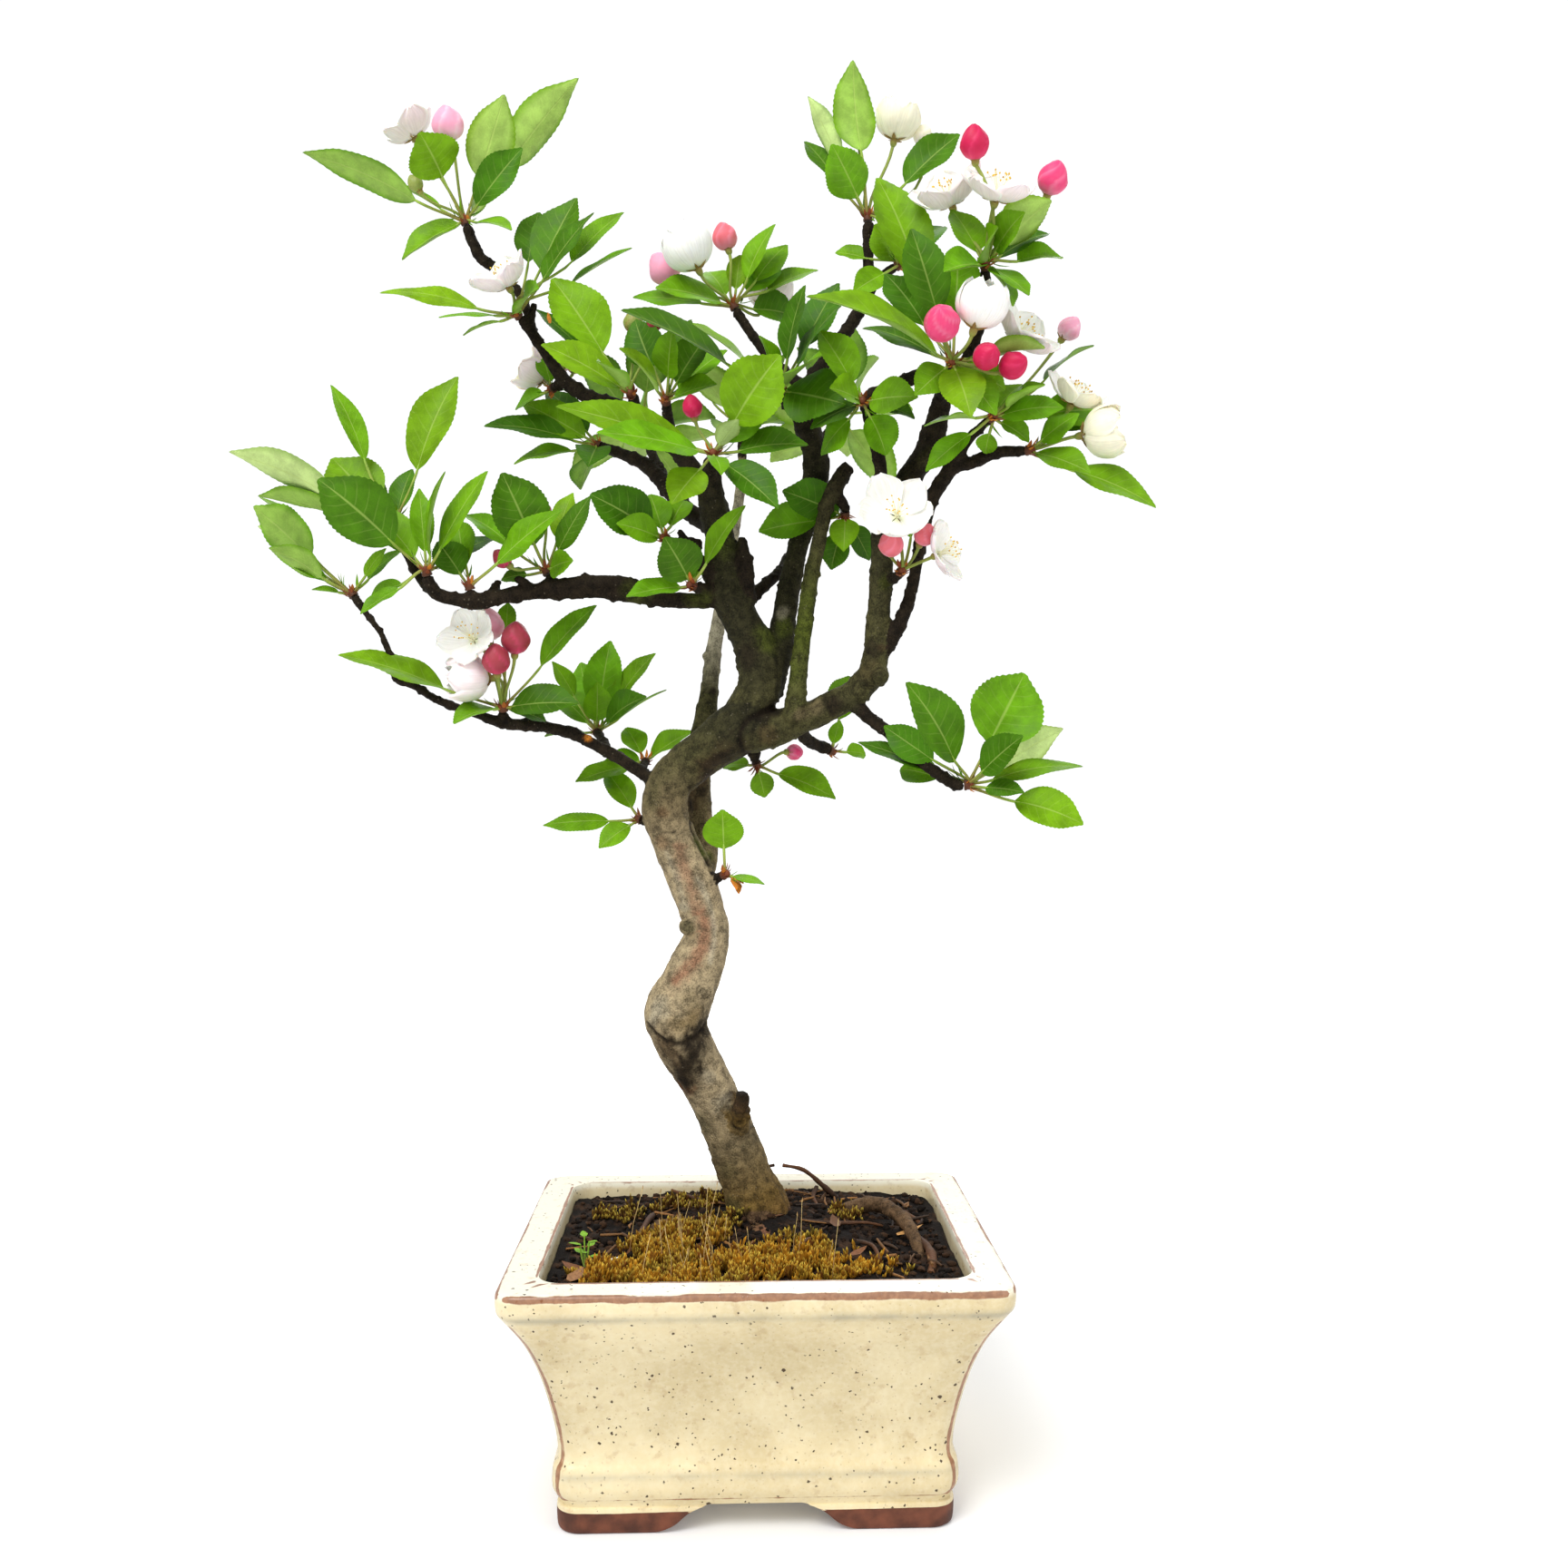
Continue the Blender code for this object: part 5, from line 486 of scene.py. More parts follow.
# Open blooms: the spray that bears it, the middle of the bloom (u, v, depth from the spur), the radius in
# mm, the way it faces (right, away, up) and how far it is open
BLOOMS = {
    "bloom_top_left": ("spray_top_left", (446, 134, 4), 12.5, (-0.5, -0.2, 0.8), 0.8),
    "bloom_fork": ("spray_fork", (548, 294, -14), 13.5, (-0.4, -0.5, 0.7), 0.7),
    "bloom_mid_left": ("spray_mid_left", (584, 408, 8), 9.5, (-0.7, -0.2, 0.5), 0.5),
    "bloom_crown": ("spray_crown", (757, 271, -12), 11, (-0.4, -0.1, 0.8), 0.12),
    "bloom_crown_right": ("spray_crown", (848, 320, 22), 10.5, (0.3, 0.3, 0.9), 0.3),
    "bloom_left": ("spray_blossom_left", (513, 698, -14), 13, (-0.3, -0.9, 0.3), 0.9),
    "bloom_left_low": ("spray_blossom_left", (514, 747, -10), 10, (-0.9, -0.3, 0.0), 0.12),
    "bloom_top_right": ("spray_top_right", (990, 132, 4), 10, (0.2, -0.1, 0.95), 0.35),
    "bloom_high_right": ("spray_right_top", (1104, 195, -14), 14, (0.2, -0.5, 0.8), 0.85),
    "bloom_high_mid": ("spray_right_top", (1040, 200, 0), 14, (-0.4, -0.5, 0.8), 0.7),
    "bloom_near_globe": ("spray_near_right", (1083, 334, -14), 9.6, (0.3, -0.2, 0.9), 0.08),
    "bloom_near_right": ("spray_near_right", (1137, 356, 6), 14.5, (0.6, -0.5, 0.6), 0.75),
    "bloom_far_right": ("spray_far_right", (1192, 424, -2), 13, (0.4, -0.4, 0.8), 0.8),
    "bloom_far_low": ("spray_far_right", (1218, 476, -6), 10, (0.9, -0.2, 0.1), 0.3),
    "bloom_near": ("spray_near_blossom", (988, 558, -14), 14, (-0.1, -0.9, 0.3), 0.75),
    "bloom_near_side": ("spray_near_blossom", (1050, 604, -6), 12.5, (0.8, -0.5, 0.3), 0.95),
}

# The moss lies in two pads, given in the pot's own frame as middle x and y, half length, half width and turn
MOSS_PADS = {
    "moss_front": (-16, -47, 58, 17, 3),
    "moss_by_trunk": (-34, -14, 24, 12, 20),
}

# Knots on the bark: u, v, depth and radius
KNOTS = [(758, 1022, 2, 4.2), (774, 1092, 1, 5.2), (778, 723, 42, 2.2), (1022, 500, -12, 4),
         (969, 745, -18, 4.4), (829, 706, -8, 6.4)]


def color(red, green, blue):
    """Turn a screen colour into the linear one that shaders and tints use."""
    def linear(value):
        share = value / 255
        return share / 12.92 if share <= 0.04045 else ((share + 0.055) / 1.055) ** 2.4
    return (linear(red), linear(green), linear(blue))


def blend(first, second, share):
    """Return a colour between two others."""
    share = min(max(share, 0), 1)
    return tuple(a + (b - a) * share for a, b in zip(first, second))


def shaded(tint, amount):
    """Return a colour made lighter or darker by a share."""
    return tuple(max(channel * (1 + amount), 0) for channel in tint)


def band(value, width):
    """Return 1 where a value is 0, falling smoothly to 0 on both sides."""
    return math.exp(-(value / width) ** 2)


def rise(low, high, value):
    """Return 0 below a range, 1 above it, and a smooth step between."""
    share = min(max((value - low) / (high - low), 0), 1)
    return share * share * (3 - 2 * share)


def paint_tints(mesh, tints):
    """Paint a tint on each corner of a mesh."""
    layer = mesh.attributes.get("tint") or mesh.attributes.new("tint", "FLOAT_COLOR", "POINT")
    layer.data.foreach_set("color", [value for rgb in tints for value in (*rgb, 1)])


def nearest_tree(points):
    """Return a search tree of some points."""
    tree = KDTree(len(points))
    for index, point in enumerate(points):
        tree.insert(point, index)
    tree.balance()
    return tree


def apply_modifiers(item):
    """Apply an object's modifiers, and return its new mesh."""
    view = bpy.context.evaluated_depsgraph_get()
    mesh = bpy.data.meshes.new_from_object(item.evaluated_get(view))
    item.modifiers.clear()
    item.data = mesh
    return mesh


def ball_shape(fineness, radius, centre=(0, 0, 0)):
    """Return the corners and faces of a ball of triangles."""
    ball = bmesh.new()
    bmesh.ops.create_icosphere(ball, subdivisions=fineness, radius=radius, matrix=Matrix.Translation(centre))
    corners = [corner.co.copy() for corner in ball.verts]
    faces = [tuple(corner.index for corner in face.verts) for face in ball.faces]
    ball.free()
    return corners, faces


class Shape:
    """Corners and faces of one piece, with a tint and a mark on each corner."""

    def __init__(self):
        self.corners = []
        self.faces = []
        self.tints = []
        self.marks = []

    def add(self, corners, faces, tint, marks=None):
        """Add corners and faces; the tint is one colour, or one for each corner."""
        start = len(self.corners)
        self.corners += corners
        self.faces += [tuple(start + index for index in face) for face in faces]
        self.tints += tint if isinstance(tint, list) else [tint] * len(corners)
        self.marks += marks or [(0, 0, 0)] * len(corners)

    def mesh(self, name):
        """Return the piece's mesh, smooth, with its tints and marks."""
        mesh = bpy.data.meshes.new(name)
        mesh.from_pydata(self.corners, [], self.faces)
        paint_tints(mesh, self.tints)
        mark = mesh.attributes.new("mark", "FLOAT_VECTOR", "POINT")
        mark.data.foreach_set("vector", [value for vector in self.marks for value in vector])
        mesh.shade_smooth()
        mesh.set_sharp_from_angle(angle=SHARP_RIM)
        return mesh


def scene_object(name, data):
    """Make an object of some data in the scene."""
    item = bpy.data.objects.new(name, data)
    bpy.context.scene.collection.objects.link(item)
    return item


def dress(item, skin):
    """Give an object one material."""
    item.data.materials.clear()
    item.data.materials.append(skin)


def finish_piece(item, skin, replaced=()):
    """Dress a piece, let it ride on the part's one body, and hide the solids it stands for."""
    dress(item, skin)
    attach(item, "root")
    if replaced:
        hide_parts(*replaced)


def new_piece(name, mesh, skin, replaced=()):
    """Make a piece of the part from a mesh or a shape."""
    mesh = mesh.mesh(name) if isinstance(mesh, Shape) else mesh
    item = scene_object(name, mesh)
    finish_piece(item, skin, replaced)
    return item


def place(u, v, depth):
    """Turn a point of the front view, and its depth in mm behind the pot's middle, into the part's frame."""
    distance = VIEW_DISTANCE + depth * MM
    right = VIEW_RIGHT + (u - VIEW_MIDDLE) * distance / VIEW_SCALE
    up = VIEW_HEIGHT - (v - VIEW_MIDDLE) * distance / VIEW_SCALE
    return Matrix.Rotation(-VIEW_TURN, 3, "Z") @ Vector((right, depth * MM, up)) + SHIFT


EYE = place(VIEW_MIDDLE, VIEW_MIDDLE, -VIEW_DISTANCE / MM)
TO_EYE = (EYE - place(VIEW_MIDDLE, VIEW_MIDDLE, 0)).normalized()


def stalk_points(root, heading, end, arrival, count, bend=(0, 0)):
    """Return points on a stalk that leaves and arrives along given directions, and may bow aside."""
    reach = (end - root).length
    level = (end - root).cross(UP).normalized()
    bow = (level * bend[0] + level.cross(end - root).normalized() * bend[1]) * reach
    first = root + heading * 0.3 * reach + bow
    second = end - arrival * 0.35 * reach + bow
    points = []
    for step in range(count):
        t = step / (count - 1)
        points.append(root * (1 - t) ** 3 + first * 3 * t * (1 - t) ** 2
                      + second * 3 * t ** 2 * (1 - t) + end * t ** 3)
    return points


def ring_faces(count, rings):
    """Return the faces of a tube through rings of corners, closed at both ends."""
    faces = []
    last = count * (rings - 1)
    for start in range(0, last, count):
        for step in range(count):
            beside = (step + 1) % count
            faces.append((start + step, start + beside, start + beside + count, start + step + count))
    faces.append(tuple(reversed(range(count))))
    faces.append(tuple(range(last, last + count)))
    return faces


def spindle_faces(sides):
    """Return the faces between a first corner, a ring of corners and a last corner."""
    faces = []
    for step in range(sides):
        beside = (step + 1) % sides
        faces.append((0, 1 + beside, 1 + step))
        faces.append((sides + 1, 1 + step, 1 + beside))
    return faces


def sheet_corner(row, column, skin, rows, wide):
    """Return the number of a closed sheet's corner; its two skins share the corners of the side edges."""
    if skin > 0 or column in (0, wide - 1):
        return row * wide + column
    return rows * wide + row * (wide - 2) + column - 1


def sheet_faces(skin, rows, wide):
    """Return the faces of one skin of a closed sheet: 1 is its upper skin and -1 its lower one."""
    faces = []
    for row in range(rows - 1):
        for column in range(wide - 1):
            quad = [sheet_corner(row + down, column + right, skin, rows, wide)
                    for down, right in ((0, 0), (0, 1), (1, 1), (1, 0))]
            faces.append(tuple(quad[::skin]))
    return faces


def stem_shape(path, radii, sides):
    """Return the corners and faces of a round stem along a path, closed at both ends."""
    corners = []
    along = (path[1] - path[0]).normalized()
    side = along.orthogonal().normalized()
    for index, radius in enumerate(radii):
        along = (path[min(index + 1, len(path) - 1)] - path[max(index - 1, 0)]).normalized()
        side = (side - along * side.dot(along)).normalized()
        for step in range(sides):
            corners.append(path[index] + Quaternion(along, math.tau * step / sides) @ side * radius)
    return corners, ring_faces(sides, len(radii))


def spray_frame(spray):
    """Return where a spray's spur ends and the way it points."""
    tip = place(*spray["at"])
    u, v, depth, radius = spray["twig"][-1]
    return tip, (tip - place(u, v, depth)).normalized()


def spur_root(spray, goal):
    """Return the point inside a spur where the stalk that leads to a goal starts."""
    spur, heading = spray_frame(spray)
    centre = spur - heading * SPUR_LENGTH / 2
    aside = goal - centre
    forward = aside.normalized().dot(heading)
    aside -= heading * aside.dot(heading)
    return centre + aside.normalized() * ROOT_OFFSET + heading * forward * ROOT_OFFSET


def spray_leaves(name, spray, tiny):
    """Return the places and sizes of a spray's leaves: those of the solid, or the tiny ones."""
    heading = spray_frame(spray)[1]
    spur = place(*spray["at"])
    leaves = []
    draw = random.Random(name + "_tiny" if tiny else name)
    for index, (u, v, depth, width, facing, share) in enumerate(spray.get("leaves", [])):
        if (width < TINY_LEAF) != tiny:
            continue
        toward = facing * TO_EYE + math.sqrt(1 - facing ** 2) * UP
        leaves.append({"tip": place(u, v, spray["at"][2] + depth), "width": width * MM, "toward": toward,
                       "share": share, "tone": tone_and_shade_letter(name, index)})
    around = heading.orthogonal().normalized()
    count = 0 if tiny else spray.get("whorl", 0)
    for index in range(count):
        lean = math.acos(0.95 - 1.15 * (index + 0.5) / count)
        side = Quaternion(heading, GOLDEN_ANGLE * index) @ around
        direction = heading * math.cos(lean) + side * math.sin(lean)
        length = draw.uniform(*WHORL_LENGTH) * MM
        leaves.append({"tip": spur + direction * length, "width": draw.uniform(*WHORL_WIDTH) * MM,
                       "toward": heading * 0.8 + UP * 0.6, "share": draw.uniform(*WHORL_SHARE),
                       "tone": "mbd"[index % 3]})
    for leaf in leaves:
        leaf["root"] = spur_root(spray, leaf["tip"])
        leaf["heading"] = heading
        leaf["base"] = leaf["root"].lerp(leaf["tip"], leaf["share"])
        leaf["arch"] = draw.uniform(*ARCH_RANGE)
        leaf["fold"] = draw.uniform(*FOLD_RANGE)
        leaf["wave"] = draw.uniform(*WAVE_RANGE)
    return leaves


def leaf_options(leaf):
    """Yield a leaf as it was read from the view, then turned, moved in depth or made smaller."""
    for scale in LEAF_SCALES:
        for shift in DEPTH_SHIFTS:
            for roll in LEAF_ROLLS:
                option = dict(leaf)
                ray = (leaf["tip"] - EYE).normalized()
                tip = leaf["root"].lerp(leaf["tip"] + ray * shift * MM, scale)
                option["tip"] = tip
                option["base"] = leaf["root"].lerp(tip, leaf["share"])
                turn = Quaternion((tip - leaf["root"]).normalized(), math.radians(roll))
                option["toward"] = turn @ leaf["toward"]
                option["width"] = leaf["width"] * scale
                yield option


def leaf_axes(leaf):
    """Return a blade's side direction and the peak that its middle line bends towards."""
    axis = (leaf["tip"] - leaf["base"]).normalized()
    side = axis.cross(leaf["toward"]).normalized()
    normal = side.cross(axis)
    length = (leaf["tip"] - leaf["base"]).length
    return side, leaf["base"].lerp(leaf["tip"], 0.5) + normal * length * leaf["arch"]


def blade_middle(leaf, peak, t):
    """Return a point of a blade's middle line and the direction of the line there."""
    middle = leaf["base"] * (1 - t) ** 2 + peak * 2 * t * (1 - t) + leaf["tip"] * t ** 2
    return middle, ((peak - leaf["base"]) * (1 - t) + (leaf["tip"] - peak) * t).normalized()


def solid_leaf_corners(leaf):
    """Return the outer corners of the solid leaf: its widest ring, the ring beyond it and its tip."""
    side, peak = leaf_axes(leaf)
    outline = SMALL_OUTLINE if leaf["width"] < SMALL_LEAF else LEAF_OUTLINE
    corners = [leaf["tip"]]
    for index, (t, share) in list(enumerate(outline))[-2:]:
        middle, along = blade_middle(leaf, peak, t)
        up = side.cross(along)
        half = leaf["width"] * share / 2
        wave = leaf["wave"] * (1 if index % 2 else -1)
        lift = half * leaf["fold"]
        corners.append(middle + side * half * (1 + wave) + up * lift * (1 + 3 * wave))
        corners.append(middle - side * half * (1 - wave) + up * lift * (1 - 3 * wave))
        corners.append(middle + up * LEAF_THICK / 2 * (1.1 - 0.5 * t))
    return corners


def bloom_cup(bloom):
    """Return a bloom's rim angle, its ball's radius and centre, and the side that its petals start from."""
    widest = math.radians(CUP_SHUT + (CUP_OPEN - CUP_SHUT) * bloom["open"])
    radius = bloom["radius"]
    if widest < math.pi / 2:
        radius /= math.sin(widest)
    return widest, radius, bloom["base"] + bloom["axis"] * radius, bloom["axis"].orthogonal().normalized()


def solid_bloom_corners(bloom):
    """Return some outer corners of the solid bloom."""
    widest, radius, centre, across = bloom_cup(bloom)
    axis = bloom["axis"]
    corners = [centre - axis * (radius + PETAL_THICK / 2)]
    for step in range(1, BLOOM_STEPS, 3):
        side = Quaternion(axis, math.tau * step / BLOOM_STEPS) @ across
        reach = radius * (1 + LOBE_TILT) + PETAL_THICK / 2
        corners.append(centre + (side * math.sin(widest) - axis * math.cos(widest)) * reach)
    return corners


def bloom_spot(name):
    """Return a bloom as a dictionary of its places and sizes."""
    bearer, (u, v, depth), radius, facing, openness = BLOOMS[name]
    spray = SPRAYS[bearer]
    axis = (Matrix.Rotation(-VIEW_TURN, 3, "Z") @ Vector(facing)).normalized()
    middle = place(u, v, spray["at"][2] + depth)
    return {"middle": middle, "axis": axis, "radius": radius * MM, "open": openness,
            "root": spur_root(spray, middle), "heading": spray_frame(spray)[1]}


def bud_spot(spray, bud):
    """Return a bud as a dictionary of its places and sizes."""
    u, v, depth, radius, openness = bud
    spur, heading = spray_frame(spray)
    middle = place(u, v, spray["at"][2] + depth)
    axis = ((middle - spur).normalized() + heading + UP * 0.4).normalized()
    return {"middle": middle, "axis": axis, "radius": radius * MM, "stretch": BUD_STRETCH - 0.2 * openness,
            "root": spur_root(spray, middle), "heading": heading, "loose": openness}


def flower_options(flower):
    """Yield a bud or bloom as it was read from the view, then moved in depth or on a bowed stalk."""
    ray = (flower["middle"] - EYE).normalized()
    for shift in DEPTH_SHIFTS:
        for bend in STALK_BENDS:
            option = dict(flower)
            option["bend"] = bend
            option["middle"] = flower["middle"] + ray * shift * MM
            if "open" in flower:
                share = 1 - 0.5 * flower["open"]
                option["base"] = option["middle"] - flower["axis"] * flower["radius"] * share
            yield option


def bud_path(bud):
    """Return a bud's foot and the middle line of its stalk."""
    foot = bud["middle"] - bud["axis"] * bud["radius"] * bud["stretch"]
    return foot, stalk_points(bud["root"], bud["heading"], foot, bud["axis"], 9, bud["bend"])


def bloom_path(bloom):
    """Return the top of a bloom's stalk, under its petals, and the stalk's middle line."""
    top = bloom["base"] - bloom["axis"] * (PETAL_THICK / 2 + GAP)
    foot = top - bloom["axis"] * CALYX_LENGTH
    return top, stalk_points(bloom["root"], bloom["heading"], foot, bloom["axis"], 9, bloom["bend"])


def distance_to(tree, point):
    """Return how far a point is from a solid's surface."""
    return tree.find_nearest(point)[3]


def best_option(options, miss):
    """Return the option that misses its solid least."""
    best = None
    least = math.inf
    for option in options:
        here = miss(option)
        if here < least:
            best = option
            least = here
        if least < MATCHED:
            break
    return best


def corners_miss(tree, corners):
    """Return how far some corners are from a solid's surface, on average."""
    return sum(distance_to(tree, corner) for corner in corners) / len(corners)


def stalk_miss(tree, path):
    """Return a share of how far a stalk's surface is from a solid's, half way along."""
    return abs(distance_to(tree, path[4]) - STALK_RADIUS * 0.9) / 4


def matched_leaf(leaf, tree):
    """Return the leaf where its solid has it."""
    return best_option(leaf_options(leaf), lambda option: corners_miss(tree, solid_leaf_corners(option)))


def matched_bud(bud, tree):
    """Return the bud where its solid has it: its tip, and the surface of its stalk."""
    def miss(option):
        tip = option["middle"] + option["axis"] * option["radius"] * option["stretch"]
        return distance_to(tree, tip) + stalk_miss(tree, bud_path(option)[1])
    return best_option(flower_options(bud), miss)


def matched_bloom(bloom, tree, bearer_tree):
    """Return the bloom where its solid has it: its petals, and the surface of its stalk."""
    def miss(option):
        away = corners_miss(tree, solid_bloom_corners(option))
        return away + stalk_miss(bearer_tree, bloom_path(option)[1])
    return best_option(flower_options(bloom), miss)


def solid_tree(node):
    """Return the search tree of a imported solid."""
    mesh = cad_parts[node].data
    corners = [corner.co.copy() for corner in mesh.vertices]
    return BVHTree.FromPolygons(corners, [tuple(face.vertices) for face in mesh.polygons])


# Colours
BARK_FOOT = color(104, 66, 38)
BARK_LOW = color(110, 88, 46)
BARK_PALE = color(154, 138, 108)
BARK_MID = color(116, 102, 74)
BARK_OLIVE = color(70, 67, 40)
BARK_LIMB = color(46, 44, 27)
BARK_DARK = color(36, 29, 20)
BARK_GREY = color(160, 152, 130)
BARK_RED = color(134, 84, 62)
BARK_MOSS = color(72, 80, 26)
BARK_UMBER = color(66, 50, 32)
BARK_ROOT = color(98, 76, 54)
# Near black of cracks, pits and scar rings, also used as painted shade in creases and the crotch
CRACK_AND_CREASE_SHADE = color(27, 20, 13)
TWIG_TINT = color(50, 36, 27)
SOIL_DARK = color(20, 14, 10)
SOIL_BROWN = color(70, 48, 31)
MOSS_GOLD = color(214, 146, 26)
MOSS_PALE = color(255, 228, 96)
MOSS_GREEN = color(92, 96, 26)
MOSS_BROWN = color(118, 60, 18)
STRAW_LOW = color(150, 104, 56)
STRAW_HIGH = color(222, 196, 134)
SEEDLING_TINT = color(124, 172, 40)
SPUR_LOW_TINT = color(78, 52, 38)
SPUR_HIGH_TINT = color(120, 66, 44)
SCALE_BROWN = color(124, 62, 38)
SCALE_ORANGE = color(206, 128, 44)
PETIOLE_FOOT = color(140, 120, 66)
PETIOLE_TOP = color(150, 180, 72)
STALK_FOOT = color(120, 136, 56)
STALK_TOP = color(146, 160, 78)
SEPAL_TINT = color(150, 124, 70)
PETAL_WHITE = color(255, 254, 248)
PETAL_BLUSH = color(255, 238, 240)
PETAL_CREAM = color(252, 246, 220)
PETAL_PINK = color(248, 168, 194)
PETAL_CLAW = color(214, 222, 150)
BUD_DEEP = color(204, 12, 76)
BUD_PINK = color(234, 66, 122)
BUD_PALE = color(248, 170, 196)
BUD_CORAL = color(232, 112, 124)
BUD_RED = color(164, 58, 70)
BUD_GREEN = color(146, 158, 76)
THREAD_TINT = color(242, 238, 204)
ANTHER_TINT = color(240, 196, 48)
ANTHER_OLD = color(182, 136, 52)
VEIN_TINT = color(186, 208, 110)
LENTICEL_TINT = color(212, 198, 168)
GLAZE_CREAM = color(232, 216, 174)
GLAZE_WARM = color(212, 194, 150)
GLAZE_TAN = color(176, 140, 92)
GLAZE_GREY_AND_SHADE = color(158, 154, 136)
GLAZE_FLECK_AND_LIT_TOP = color(248, 243, 222)
SPECK_TINT = color(60, 40, 22)
WORN_BROWN = color(134, 82, 52)
WORN_TAN = color(166, 112, 76)
CLAY_DARK = color(76, 40, 26)
CLAY_RED = color(122, 68, 46)
PLASTIC_BLACK = color(24, 24, 24)
PLASTIC_DUST = color(80, 72, 62)
FLOOR_TINT = color(240, 240, 240)
WORLD_TINT = color(255, 255, 255)

# The colours of a route's bark from its root to its end; a route with none is dark all along
BARK_TINTS = {
    "trunk": [BARK_FOOT, BARK_LOW, BARK_MID, BARK_PALE, BARK_PALE, BARK_PALE, BARK_PALE, BARK_PALE, BARK_MID,
              BARK_OLIVE, BARK_LIMB],
    "knob_low": [BARK_MID, BARK_LOW, BARK_UMBER, BARK_DARK],
    "limb_left": [BARK_OLIVE, BARK_LIMB, BARK_LIMB, BARK_DARK],
    "limb_middle": [BARK_LIMB, BARK_LIMB, BARK_DARK, BARK_DARK],
    "limb_thin": [BARK_OLIVE, BARK_MOSS, BARK_OLIVE, BARK_DARK],
    "limb_right": [BARK_OLIVE, BARK_OLIVE, BARK_OLIVE, BARK_LIMB, BARK_DARK, BARK_DARK],
    "second_stem": [BARK_MID, BARK_MID, BARK_OLIVE, BARK_OLIVE, BARK_GREY, BARK_GREY, BARK_GREY, BARK_MID],
}
# Patches of another colour on the bark, by the depth to look from: u, v, reach in mm, colour and strength;
# the two near-black ones at (840, 790) and (850, 784) are painted shade in the crotch
BARK_PATCHES = {
    LOOK_BEFORE: [(752, 1000, 4, BARK_GREY, 0.5), (726, 1112, 7, BARK_GREY, 0.6),
        (718, 1126, 4, BARK_GREY, 0.5), (730, 930, 5, BARK_FOOT, 0.35), (729, 896, 4, BARK_FOOT, 0.4),
        (756, 1022, 5, BARK_OLIVE, 0.7), (764, 1122, 8, BARK_LOW, 0.55), (746, 1130, 6, BARK_LOW, 0.4),
        (762, 1100, 6, BARK_MID, 0.5), (817, 1206, 2.5, BARK_DARK, 0.9), (840, 790, 6, CRACK_AND_CREASE_SHADE, 0.8),
        (850, 784, 6, CRACK_AND_CREASE_SHADE, 0.8), (832, 745, 9, BARK_LIMB, 0.6), (846, 704, 9, BARK_MOSS, 0.7),
        (824, 724, 8, BARK_DARK, 0.7), (866, 690, 7, BARK_MOSS, 0.7), (862, 676, 4, BARK_GREY, 0.4),
        (874, 740, 6, BARK_MOSS, 0.5), (888, 660, 7, BARK_MOSS, 0.6), (884, 700, 7, BARK_MOSS, 0.6),
        (846, 812, 7, BARK_UMBER, 0.5), (884, 786, 5, BARK_MID, 0.6), (900, 778, 5, BARK_MID, 0.5),
        (918, 776, 6, BARK_DARK, 0.85), (938, 778, 5, BARK_LIMB, 0.7), (960, 716, 6, BARK_DARK, 0.7),
        (972, 714, 2.4, BARK_UMBER, 0.5), (956, 740, 8, BARK_UMBER, 0.3), (884, 512, 8, BARK_MOSS, 0.5),
        (800, 600, 8, BARK_MOSS, 0.4), (770, 658, 8, BARK_MOSS, 0.5), (700, 654, 8, BARK_MOSS, 0.4),
        (852, 1360, 9, BARK_RED, 0.5), (806, 1330, 8, BARK_OLIVE, 0.6), (800, 1290, 8, BARK_OLIVE, 0.4),
        (772, 1236, 9, BARK_OLIVE, 0.5), (796, 1216, 7, BARK_GREY, 0.45), (780, 1186, 5, BARK_GREY, 0.4),
        (975, 640, 6, BARK_MOSS, 0.4), (1020, 505, 6, BARK_OLIVE, 0.6), (647, 813, 2.6, SCALE_ORANGE, 0.9),
        (437, 738, 3, BARK_GREY, 0.8)],
    LOOK_PAST: [(786, 762, 3, BARK_DARK, 0.9), (790, 700, 9, BARK_GREY, 0.6)],
}
